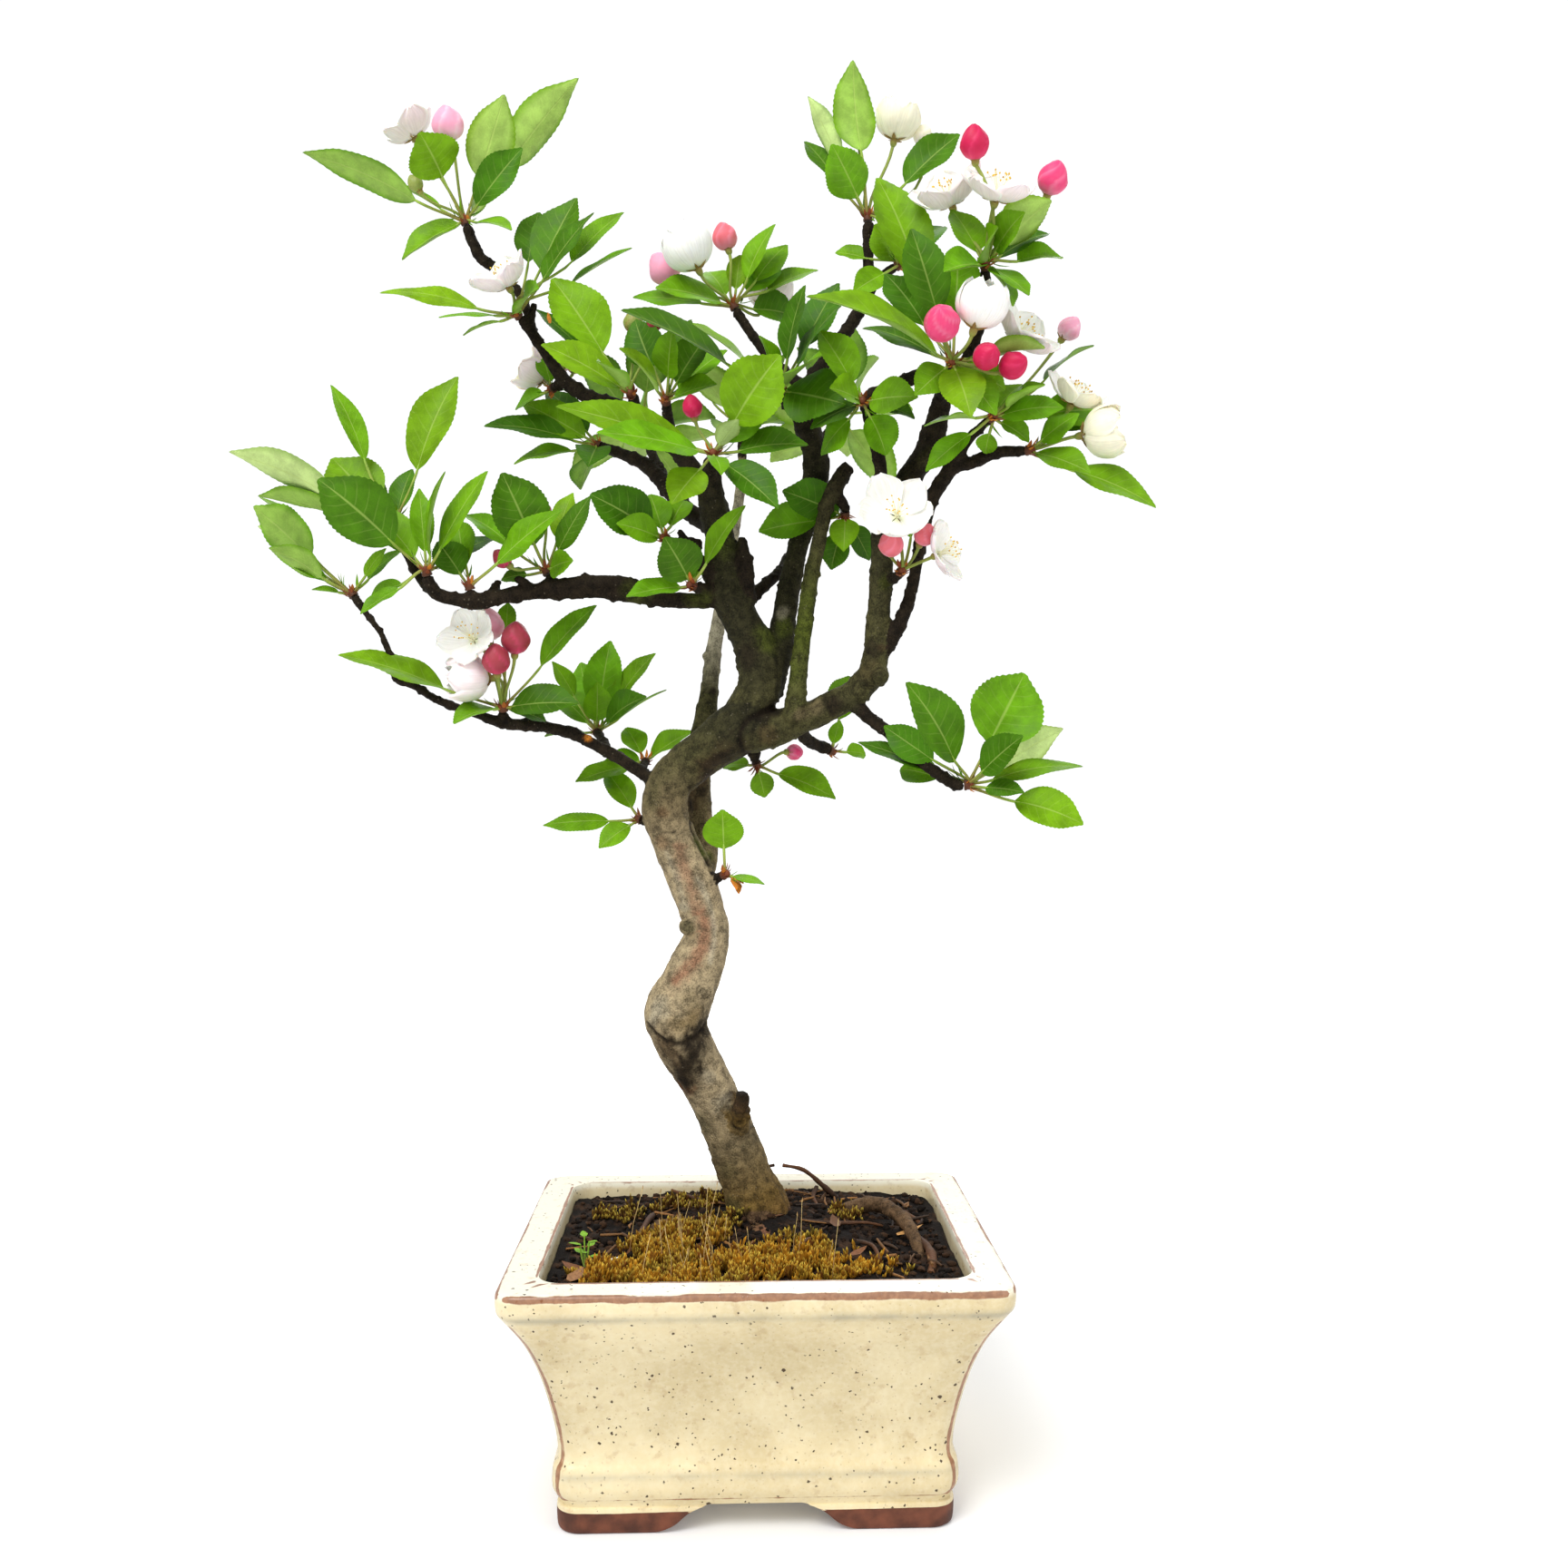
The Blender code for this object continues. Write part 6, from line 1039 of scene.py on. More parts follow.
# Streaks and grooves in the bark: width and depth in mm, strength, colour and the places they pass. Some are
# painted light and shade: a highlight down the trunk, and shade in the creases under the elbow and at the
# crotch
STREAKS = [
    (5, 0, 0.45, BARK_RED, [(748, 934), (752, 950), (758, 966), (765, 990), (770, 1003)]),
    (6, 0, 0.65, BARK_RED, [(776, 1014), (777, 1034), (771, 1050), (760, 1066), (744, 1080)]),
    # Painted highlight: a pale shiny stripe down the lit front of the trunk.
    (2.4, 0, 0.6, BARK_GREY, [(768, 968), (780, 992), (786, 1016), (786, 1040), (782, 1060)]),
    (3, 0, 0.4, BARK_GREY, [(735, 940), (746, 970), (756, 1000)]),
    (9, 0, 0.6, BARK_OLIVE, [(716, 884), (722, 862), (738, 842), (760, 828)]),
    (9, 0, 0.8, BARK_UMBER, [(760, 886), (770, 866), (780, 848), (796, 836), (814, 828)]),
    (6, 0, 0.8, BARK_DARK, [(772, 872), (778, 854), (790, 840), (806, 830)]),
    (9, 0, 0.7, BARK_LIMB, [(806, 806), (818, 822), (812, 838), (826, 800)]),
    # Painted shade: the dark zone in the crease under the trunk's elbow.
    (11, 0, 0.85, BARK_UMBER, [(726, 1148), (738, 1160), (750, 1174), (756, 1190)]),
    (12, 0, 0.95, BARK_DARK, [(775, 1132), (772, 1146), (766, 1162), (760, 1178), (752, 1194)]),
    (3, 0, 0.5, BARK_FOOT, [(748, 1194), (756, 1204), (766, 1200)]),
    # The groove of the elbow's crease, painted dark as shade.
    (2.2, 1.2, 0.85, CRACK_AND_CREASE_SHADE,
     [(714, 1128), (723, 1140), (740, 1149), (757, 1149), (769, 1141), (777, 1130)]),
    # Painted shadow in the crease of the bark collar at the crotch.
    (2.6, 1.1, 0.85, CRACK_AND_CREASE_SHADE, [(854, 781), (840, 785), (826, 793), (817, 804), (816, 818), (822, 832)]),
    (1.4, 0.5, 0.45, CRACK_AND_CREASE_SHADE, [(836, 790), (829, 806), (830, 824)]),
    (1.4, 0.5, 0.4, CRACK_AND_CREASE_SHADE, [(846, 792), (838, 806), (838, 822)]),
    (1.0, 0.4, 0.6, CRACK_AND_CREASE_SHADE, [(722, 922), (730, 918), (742, 917), (757, 915)]),
    (0.9, 0.4, 0.45, CRACK_AND_CREASE_SHADE, [(721, 930), (730, 927), (740, 926)]),
    (2.6, 1.0, 0.9, CRACK_AND_CREASE_SHADE, [(760, 868), (759, 885), (761, 905), (766, 922), (774, 938), (782, 952)]),
    (5, 0, 0.7, BARK_MOSS, [(768, 928), (774, 936), (782, 944)]),
    (1.6, 0.6, 0.5, CRACK_AND_CREASE_SHADE, [(760, 664), (774, 666), (788, 670), (800, 682)]),
    (1.2, 0.5, 0.6, CRACK_AND_CREASE_SHADE, [(866, 762), (872, 769), (884, 771), (893, 767)]),
    (1.2, 0.5, 0.6, CRACK_AND_CREASE_SHADE, [(862, 768), (870, 776), (884, 778), (897, 772)]),
    (1.2, 0.5, 0.6, CRACK_AND_CREASE_SHADE, [(858, 774), (868, 783), (884, 785), (900, 777)]),
    (1.4, 0.6, 0.6, CRACK_AND_CREASE_SHADE, [(908, 766), (912, 778), (918, 790)]),
    (1.4, 0.6, 0.6, CRACK_AND_CREASE_SHADE, [(916, 762), (920, 776), (926, 790)]),
    (1.4, 0.6, 0.6, CRACK_AND_CREASE_SHADE, [(953, 716), (962, 722), (974, 720)]),
    (1.2, 0.6, 0.8, CRACK_AND_CREASE_SHADE, [(804, 1212), (808, 1222), (816, 1228), (825, 1224)]),
    (1.2, 0.6, 0.7, CRACK_AND_CREASE_SHADE, [(802, 1220), (807, 1231), (816, 1237), (827, 1232)]),
    (1.2, 0.5, 0.6, CRACK_AND_CREASE_SHADE, [(803, 1232), (810, 1243), (820, 1247), (830, 1240)]),
]
# Round scars of fallen branches: u, v and reach in mm
SCARS = [(775, 1093, 4.6), (756, 1020, 3.5), (829, 706, 6), (969, 745, 5), (816, 1238, 6), (1022, 500, 5),
         (806, 808, 3.4), (948, 758, 5), (884, 726, 3)]

# Upper and under colours of the leaves by tone: bright, middle, dark and young. Bright, middle and dark are
# partly the leaves' own colour and partly painted light and shade: leaves in shade inside the crown take the
# dark tone
LEAF_TONES_AND_SHADE = {
    "b": (color(110, 156, 14), color(158, 192, 90)),
    "m": (color(102, 154, 14), color(144, 182, 76)),
    "d": (color(66, 112, 10), color(110, 150, 50)),
    "y": (color(148, 178, 92), color(182, 206, 128)),
}
# Leaves that stand as their list says, where the solid is turned and shortened to clear a bloom
AS_LISTED = {("spray_blossom_left", 0)}
# One letter for each leaf of a spray, in the order of its list; a leaf with none is of the middle tone. The
# letters follow how lit each leaf is as well as its own colour
TONE_AND_SHADE_LETTERS = {
    "spray_top_left": "mbbbdmbmb",
    "spray_fork": "bmmmddmmd",
    "spray_shoulder": "bbdmy",
    "spray_crook": "bdmdd",
    "spray_crown": "mbmmmd",
    "spray_centre": "dbdddd",
    "spray_front": "bbmmmdydbm",
    "spray_elbow": "dmmm",
    "spray_armpit": "dmbm",
    "spray_arm_mid": "dbdmdm",
    "spray_arm_low": "dm",
    "spray_arm_tip": "mmmdmdmm",
    "spray_far_left": "bbymmdd",
    "spray_low_tip": "mymmmmm",
    "spray_blossom_left": "bmmdmd",
    "spray_low_back": "mmdmbmmmm",
    "spray_trunk_right": "bm",
    "spray_low_right": "mddymbdddm",
    "spray_top_right": "mymdmd",
    "spray_top_inner": "bmdmd",
    "spray_near_right": "bbdddbmb",
    "spray_right_shoot": "mmdmdmmmm",
    "spray_right_top": "bdmmmm",
    "spray_far_right": "bmmd",
    "spray_cut_limb": "mbdd",
    "spray_inner": "bddd",
    "spray_left_inner": "dbddd",
}
# The inner and outer colours of the blooms that aren't white inside and blushed outside
BLOOM_TINTS = {
    "bloom_top_right": (PETAL_CREAM, PETAL_CREAM),
    "bloom_mid_left": (PETAL_CREAM, PETAL_BLUSH),
    "bloom_far_low": (PETAL_CREAM, PETAL_CREAM),
    "bloom_far_right": (PETAL_WHITE, PETAL_CREAM),
    "bloom_crown": (PETAL_WHITE, PETAL_WHITE),
    "bloom_near_globe": (PETAL_WHITE, PETAL_WHITE),
    "bloom_near": (PETAL_WHITE, PETAL_WHITE),
    "bloom_left": (PETAL_WHITE, PETAL_WHITE),
}
# The dark and light colours of each spray's buds; a bud with none is pink
BUD_TINTS = {
    "spray_top_left": [(BUD_PALE, PETAL_BLUSH), (BUD_GREEN, STALK_TOP)],
    "spray_mid_left": [(BUD_PALE, PETAL_BLUSH), (BUD_PINK, BUD_PALE)],
    "spray_shoulder": [(BUD_GREEN, BUD_RED), (BUD_RED, BUD_PINK)],
    "spray_crown": [(BUD_CORAL, PETAL_PINK), (BUD_PALE, PETAL_PINK)],
    "spray_front": [(BUD_DEEP, BUD_PINK)],
    "spray_arm_mid": [(BUD_RED, BUD_PINK)] * 3,
    "spray_blossom_left": [(PETAL_PINK, PETAL_BLUSH), (BUD_RED, BUD_PINK), (BUD_RED, BUD_PINK)],
    "spray_low_right": [(BUD_DEEP, BUD_PINK)],
    "spray_top_right": [(PETAL_CREAM, PETAL_BLUSH), (BUD_RED, BUD_GREEN)],
    "spray_near_right": [(BUD_PINK, BUD_PALE), (BUD_DEEP, BUD_PINK), (BUD_DEEP, BUD_PINK)],
    "spray_right_shoot": [(BUD_PALE, PETAL_BLUSH)],
    "spray_right_top": [(BUD_DEEP, BUD_PINK), (BUD_PINK, BUD_PALE)],
    "spray_near_blossom": [(BUD_CORAL, BUD_PALE), (BUD_CORAL, BUD_PALE)],
}

# Small things on the soil, in the pot's own frame in mm. Twigs and thin roots: x, y, height over the soil
# and radius
TWIG_BITS = [
    [(-44, 32, 0, 1.2), (-47, 12, 3, 1.4), (-50, -6, 2, 1.2), (-55, -22, -1, 0.8)],
    [(12, -41, 0, 0.5), (18, -30, 3.6, 0.8), (22, -22, 4.4, 0.7), (25, -14, 2, 0.5)],
    [(40, 54, 0, 1.4), (33, 50, 7, 1.2), (24, 47, 13, 1), (14, 45, 15.5, 0.8)],
    [(30, 48, 6, 1), (28, 40, 2, 0.9), (30, 30, 0, 0.8)],
    [(10, 44, 15, 0.8), (4, 42, 14, 0.6)],
    [(22, 8, 0, 0.8), (36, 4, 2, 0.9), (50, 6, 3, 0.7), (60, 10, 0, 0.5)],
    [(-20, 36, 0, 0.9), (-30, 40, 4, 0.8), (-38, 46, 6, 0.6)],
    [(-6, -6, 0, 1), (-20, -16, 1.5, 0.9), (-34, -24, 0.5, 0.7)],
    [(44, -10, 0, 1), (50, -22, 2.6, 0.9), (52, -34, 0, 0.7)],
    [(66, -6, 4, 1.6), (73, -16, 3, 2), (74, -30, 1, 2.2), (72, -40, -1, 1.6)],
    [(60, 34, 0, 1), (68, 30, 2, 1.2), (76, 20, 0, 1)],
]
# Dry leaf bits and chips: place, length, width, heading and colour
DRY_LEAVES = [(22, -39, 11, 6, 4, color(136, 88, 48)), (40, -32, 8, 5, 30, color(120, 74, 40)),
              (62, -5, 12, 5, 10, color(214, 160, 96)), (-64, -36, 8, 7, 10, color(244, 238, 222)),
              (-70, -42, 10, 7, 160, color(120, 76, 46)), (-58, -40, 9, 5, 200, color(140, 90, 54)),
              (-74, -54, 9, 7, 60, color(150, 108, 72)), (2, 38, 12, 6, 30, color(120, 78, 44)),
              (36, -4, 9, 5, 100, color(96, 64, 40)), (10, 6, 7, 4, 300, color(110, 70, 40))]
# Scattered low moss that no solid stands for: middle, half length and width, turn
MOSS_TUFTS = [(46, -42, 17, 9, -8), (47, 20, 12, 9, 0), (-58, 28, 14, 10, 0), (-24, 34, 20, 9, 0),
              (20, -22, 22, 9, 0), (-14, 4, 12, 8, 30), (-66, -50, 9, 9, 0)]
SEEDLING = (-70 * MM, -34 * MM)
SEEDLING_LEAVES = 7
# Dried bits that hang at a spur: u, v, depth, length and width, and heading in the front view
DRIED_BITS = [(808, 966, 4, 7, 4, -60), (811, 967, 3, 6, 4, -20), (813, 972, 5, 6, 3.6, -80),
              (1040, 822, -26, 5, 2.4, -70), (1086, 848, -30, 6, 3, 160), (925, 430, -16, 5, 2.6, 200),
              (606, 356, -10, 5, 2, 100)]


def tone_and_shade_letter(name, index):
    """Return the tone of one of a spray's leaves, which stands partly for painted light and shade."""
    letters = TONE_AND_SHADE_LETTERS.get(name, "")
    return letters[index] if index < len(letters) else "m"


def bud_palette(name, index):
    """Return the dark and light colours of one of a spray's buds."""
    palettes = BUD_TINTS.get(name, [])
    return palettes[index] if index < len(palettes) else (BUD_PINK, BUD_PALE)

def blade_width(t):
    """Return a blade's half width along its length, as a share of the widest: ovate, with a long tip."""
    body = math.sin(math.pi * min(t, 1) ** 0.85) if t < 1 else 0
    return max(body, 0) ** 0.75 * (1 - 0.3 * rise(0.7, 1, t))


def add_blade(shape, leaf, palette, draw):
    """Add a leaf's blade: a thin closed sheet with toothed edges, raised between its veins."""
    side, peak = leaf_axes(leaf)
    length = (leaf["tip"] - leaf["base"]).length
    half_width = leaf["width"] / 2
    upper, under = palette
    rows = BLADE_ROWS if length > SMALL_BLADE else BLADE_ROWS // 2
    seed = draw.random()
    phase = draw.uniform(0, math.tau)
    curl = draw.uniform(*BLADE_CURL)
    twist = math.radians(draw.uniform(*BLADE_TWIST))
    corners = []
    tints = []
    marks = []
    for skin in (1, -1):
        for row in range(rows):
            t = row / rows
            middle, along = blade_middle(leaf, peak, t)
            turned = Quaternion(along, twist * t) @ side
            up = turned.cross(along)
            half = half_width * max(blade_width(t), BLADE_FOOT if row == 0 else 0)
            for column in range(-BLADE_COLUMNS, BLADE_COLUMNS + 1):
                across = column / BLADE_COLUMNS
                edge = abs(column) == BLADE_COLUMNS
                if edge and skin < 0:
                    continue
                out = half * across
                ahead = 0
                if edge and 0 < row:
                    out *= 1 + TOOTH * (1 if row % 2 else -0.6)
                    ahead = TOOTH * half_width * (1.2 if row % 2 else 0)
                lift = half * (leaf["fold"] * abs(across) ** 1.2 - curl * across ** 4)
                swell = math.sin(3.2 * math.pi * t + phase + 2 * across)
                lift += half * 0.5 * leaf["wave"] * across ** 2 * 3 * swell
                vein = abs((t * VEIN_PAIRS - 1.5 * abs(across) ** 1.2 + 0.5 * (across > 0)) % 1 - 0.5) * 2
                puff = BLADE_PUFF * half_width * (0.4 - vein ** 2)
                puff *= min(abs(across) * 4, 1) * (1 - abs(across))
                thick = skin * BLADE_THICK / 2 * (1.6 if column == 0 else 1)
                corners.append(middle + turned * out + along * ahead + up * (lift + puff + thick))
                marks.append((t, across, seed))
                tints.append(upper if skin > 0 else under)
    tip = len(corners)
    corners.append(leaf["tip"])
    marks.append((1, 0, seed))
    tints.append(upper)
    wide = 2 * BLADE_COLUMNS + 1
    faces = []
    for skin in (1, -1):
        faces += sheet_faces(skin, rows, wide)
        for column in range(wide - 1):
            fan = [sheet_corner(rows - 1, side_step, skin, rows, wide) for side_step in (column, column + 1)]
            faces.append(tuple([*fan, tip][::skin]))
    foot = [sheet_corner(0, column, 1, rows, wide) for column in reversed(range(wide))]
    foot += [sheet_corner(0, column, -1, rows, wide) for column in range(1, wide - 1)]
    faces.append(tuple(foot))
    shape.add(corners, faces, tints, marks)


def add_stem(shape, path, radii, sides, tints):
    """Add a round stem whose tint changes from its first to its last ring."""
    corners, faces = stem_shape(path, radii, sides)
    count = len(radii)
    spread = []
    for index in range(count):
        spread += [blend(tints[0], tints[1], index / (count - 1))] * sides
    shape.add(corners, faces, spread, [STEM_MARK] * len(corners))


def add_scale(shape, root, direction, length, width, tint, bend=0.25):
    """Add a small pointed scale, sepal or leaflet: a thin closed sheet, wide below its middle."""
    side = direction.cross(UP).normalized()
    up = side.cross(direction)
    corners = []
    for skin in (1, -1):
        for t, share in ((0, 0.5), (0.35, 1), (0.75, 0.55)):
            middle = root + direction * length * t + up * length * bend * t * t
            half = width * share / 2
            keel = middle + up * (skin * SCALE_THICK - half * 0.3)
            corners += [middle - side * half, keel, middle + side * half]
    corners.append(root + direction * length + up * length * bend)
    faces = []
    for start, turn in ((0, 1), (9, -1)):
        for row in range(2):
            for column in range(2):
                quad = [start + 3 * row + column, start + 3 * row + column + 1, start + 3 * row + column + 4,
                        start + 3 * row + column + 3]
                faces.append(tuple(quad[::turn]))
        faces.append(tuple([start + 6, start + 7, 18][::turn]))
        faces.append(tuple([start + 7, start + 8, 18][::turn]))
    faces += [(0, 3, 12, 9), (3, 6, 15, 12), (6, 18, 15), (2, 11, 14, 5), (5, 14, 17, 8), (8, 17, 18),
              (0, 9, 10, 1), (1, 10, 11, 2)]
    shape.add(corners, faces, tint, [STEM_MARK] * len(corners))


def leaf_palette(leaf, draw):
    """Return a leaf's upper and under colours from its tone letter."""
    upper, under = LEAF_TONES_AND_SHADE[leaf["tone"]]
    light = draw.uniform(*LEAF_LIGHT)
    warm = draw.uniform(*LEAF_WARMTH)
    upper = shaded(upper, light)
    upper = (upper[0] * (1 + warm), upper[1], upper[2] * (1 - warm))
    return upper, shaded(under, draw.uniform(*UNDER_LIGHT))


def add_leaf(shape, leaf, draw):
    """Add a leaf: its blade, and its petiole from the spur."""
    palette = leaf_palette(leaf, draw)
    add_blade(shape, leaf, palette, draw)
    side, peak = leaf_axes(leaf)
    arrival = (peak - leaf["base"]).normalized()
    bent = (leaf["base"] - leaf["root"]).angle(leaf["heading"]) > math.radians(STRAIGHT_LEAN)
    heading = leaf["heading"] if bent else (leaf["base"] - leaf["root"]).normalized()
    end = leaf["base"] + arrival * leaf["width"] * 0.12
    path = stalk_points(leaf["root"], heading, end, arrival, PETIOLE_RINGS)
    radii = [PETIOLE_RADIUS * (1.3 - 0.75 * rise(0, 0.3, index / (PETIOLE_RINGS - 1)) * 0.6)
             for index in range(PETIOLE_RINGS)]
    radii[-1] = PETIOLE_RADIUS * 0.5
    add_stem(shape, path, radii, 6, (PETIOLE_FOOT, blend(palette[1], PETIOLE_TOP, 0.5)))
    if draw.random() < STIPULE_SHARE:
        reach = (leaf["base"] - leaf["root"])
        root = leaf["root"] + reach.normalized() * min(reach.length * 0.3, 3 * MM)
        for turn in (-1, 1):
            lean = Quaternion(leaf["heading"].cross(reach).normalized(), 0.3 * turn)
            direction = (lean @ reach.normalized() + side * 0.5 * turn).normalized()
            length = draw.uniform(4, 8) * MM
            add_scale(shape, root, direction, length, draw.uniform(0.9, 1.4) * MM, palette[0])


def add_spur(shape, spray, draw):
    """Add the spur under a spray: ringed brown wood with a ruff of loose bud scales."""
    tip, heading = spray_frame(spray)
    across = heading.orthogonal().normalized()
    path = []
    radii = []
    for step in range(SPUR_RINGS):
        share = step / (SPUR_RINGS - 1)
        path.append(tip + heading * (share * 1.25 - 1) * SPUR_LENGTH)
        radii.append((2.15 - 0.75 * share + 0.22 * (step % 2)) * MM * (0.5 if step == SPUR_RINGS - 1 else 1))
    add_stem(shape, path, radii, 10, (SPUR_LOW_TINT, SPUR_HIGH_TINT))
    for index in range(SPUR_SCALES):
        spoke = Quaternion(heading, GOLDEN_ANGLE * index) @ across
        root = tip - heading * SPUR_LENGTH * draw.uniform(0.1, 0.75) + spoke * 1.5 * MM
        direction = (spoke * draw.uniform(0.5, 1.1) + heading * draw.uniform(0.5, 1.2)).normalized()
        tint = blend(SCALE_BROWN, SCALE_ORANGE, draw.random() ** 2)
        add_scale(shape, root, direction, draw.uniform(2.2, 4.6) * MM, draw.uniform(1.4, 2.2) * MM, tint)


def add_stalk(shape, path, shares):
    """Add the stalk of a bud or bloom, with the thickness that its shares of the stalk's radius say."""
    radii = [STALK_RADIUS * share for share in shares]
    add_stem(shape, path, radii, STALK_SIDES, (STALK_FOOT, STALK_TOP))


def add_calyx(shape, foot, top, axis, spread, tints, radius=CALYX_RADIUS):
    """Add the green cup under a flower and its five pointed sepals."""
    length = (top - foot).length
    path = [foot + (top - foot) * share for share in (0, 0.25, 0.5, 0.75, 1)]
    radii = [radius * share for share in (0.42, 0.72, 0.84, 0.86, 0.8)]
    add_stem(shape, path, radii, 10, tints)
    across = axis.orthogonal().normalized()
    for index in range(SEPALS):
        spoke = Quaternion(axis, math.tau * index / SEPALS) @ across
        direction = (spoke * math.sin(spread) + axis * math.cos(spread)).normalized()
        seat = top + spoke * radius * 0.75 - axis * length * 0.08
        add_scale(shape, seat, direction, radius * 2.3, radius * 0.95, tints[1], 0.1)


def add_bud(stalks, buds, bud, palette, draw):
    """Add a bud with its stalk: five petals rolled round each other, darkest on their backs."""
    foot, path = bud_path(bud)
    axis = bud["axis"]
    add_stalk(stalks, path, BUD_STALK)
    length = 2 * bud["radius"] * bud["stretch"]
    seat = foot + axis * length * 0.13
    add_calyx(stalks, foot - axis * 0.8 * MM, seat, axis, 0.5 + 0.5 * bud["loose"], (STALK_TOP, SEPAL_TINT),
              min(bud["radius"] * 0.5, CALYX_RADIUS))
    dark, light = palette
    across = axis.orthogonal().normalized()
    swirl = draw.choice((-1, 1)) * draw.uniform(1, 1.8)
    start_angle = draw.uniform(0, math.tau)
    corners = []
    tints = []
    for row in range(BUD_ROWS):
        t = row / (BUD_ROWS - 1)
        girth = math.sin(math.pi * (0.06 + 0.93 * t ** 0.8)) ** 0.62
        for step in range(BUD_AROUND):
            angle = math.tau * step / BUD_AROUND
            roll = (5 * angle / math.tau + swirl * t * t) % 1
            lip = (1 + 0.3 * bud["loose"]) * 0.13 * (rise(0, 0.16, roll) - roll) * rise(0.12, 0.5, t)
            reach = bud["radius"] * girth * (1 + lip)
            spoke = Quaternion(axis, angle + start_angle) @ across
            corners.append(seat + axis * (length - length * 0.13) * t + spoke * reach)
            pale = rise(0.0, 0.5, 0.45 - roll) * 0.35 + rise(0.35, 0.05, t) * 0.4 if t > 0.05 else 0.6
            tints.append(blend(dark, light, pale + draw.uniform(-0.05, 0.05)))
    buds.add(corners, ring_faces(BUD_AROUND, BUD_ROWS), tints)


def petal_spread(s):
    """Return a petal's half width in turns of the cup: narrow at its claw, round at its end."""
    return PETAL_SPREAD * (0.55 + 0.45 * rise(0, 0.3, s)) * max(1 - rise(0.62, 1.02, s) ** 1.6, 0.05) ** 0.5


def add_petals(shape, bloom, palette, draw):
    """Add a bloom's five petals, each a thin closed sheet with a ruffled round end."""
    widest, radius, centre, across = bloom_cup(bloom)
    axis = bloom["axis"]
    inside, outside = palette
    rows = PETAL_ROWS + 1
    wide = 2 * PETAL_COLUMNS + 1
    shut = 1 - bloom["open"]
    for petal in range(PETALS):
        middle_angle = math.radians(360 / PETALS * (petal + 0.5))
        phase = draw.uniform(0, math.tau)
        reach_share = draw.uniform(0.93, 1.04)
        flare = draw.uniform(-0.03, 0.06) * (1 - 0.7 * shut)
        corners = []
        tints = []
        marks = []
        for skin in (1, -1):
            for row in range(rows):
                s = row / PETAL_ROWS
                lean = widest * (s * reach_share * (1 - 0.02 * math.cos(phase)) + 0.02)
                for column in range(-PETAL_COLUMNS, PETAL_COLUMNS + 1):
                    a = column / PETAL_COLUMNS
                    if abs(column) == PETAL_COLUMNS and skin < 0:
                        continue
                    spoke = Quaternion(axis, middle_angle + a * petal_spread(s) * (1 + 0.25 * shut)) @ across
                    notch = NOTCH * (1 - abs(a) * 3) * rise(0.8, 1, s) if abs(a) < 1 / 3 else 0
                    here = lean - notch * widest
                    ruffle = RUFFLE * s ** 2 * (math.sin(3 * a * math.pi + phase) * abs(a)
                                                + 0.6 * math.sin(2 * math.pi * s + phase))
                    bow = PETAL_BOW * radius * (1 - a * a) * math.sin(math.pi * min(s * 1.1, 1))
                    lap = PETAL_LAP * a * rise(0.1, 0.5, s)
                    out = radius * (1 + flare * s * s * 3) + bow + lap + ruffle - skin * PETAL_SKIN / 2
                    corners.append(centre + (spoke * math.sin(here) - axis * math.cos(here)) * out)
                    marks.append((s, a, phase))
                    tint = inside if skin > 0 else outside
                    tints.append(blend(tint, PETAL_CLAW, 0.7 * (1 - rise(0, 0.22, s))))
        faces = sheet_faces(1, rows, wide) + sheet_faces(-1, rows, wide)
        for row, turn in ((0, -1), (PETAL_ROWS, 1)):
            ring = [sheet_corner(row, column, 1, rows, wide) for column in range(wide)]
            ring += [sheet_corner(row, column, -1, rows, wide) for column in reversed(range(1, wide - 1))]
            faces.append(tuple(ring[::turn]))
        shape.add(corners, faces, tints, marks)


def add_stamens(shape, bloom, draw):
    """Add the stamens of an open bloom: thin pale threads with yellow ends."""
    _, radius, centre, across = bloom_cup(bloom)
    axis = bloom["axis"]
    seat = centre - axis * radius * 0.97
    for index in range(STAMENS):
        lean = math.radians(draw.uniform(4, 18 + 26 * bloom["open"]))
        spoke = Quaternion(axis, GOLDEN_ANGLE * index) @ across
        direction = spoke * math.sin(lean) + axis * math.cos(lean)
        length = bloom["radius"] * draw.uniform(0.5, 0.72)
        root = seat + spoke * 0.7 * MM
        middle = root + axis * length * 0.4 + spoke * 0.4 * MM
        end = root + direction * length
        add_stem(shape, [root, middle, end], THREAD_RADII, 4, (THREAD_TINT, THREAD_TINT))
        corners = []
        for up, out in ((-ANTHER_HALF, 0), (0, ANTHER_RADIUS), (ANTHER_HALF, 0)):
            for step in range(ANTHER_SIDES if out else 1):
                turn = Quaternion(axis, math.tau * step / ANTHER_SIDES) @ across
                corners.append(end + axis * up * MM + turn * out * MM)
        faces = spindle_faces(ANTHER_SIDES)
        tint = blend(ANTHER_TINT, ANTHER_OLD, draw.random() ** 2)
        shape.add(corners, faces, tint, [STEM_MARK] * len(corners))


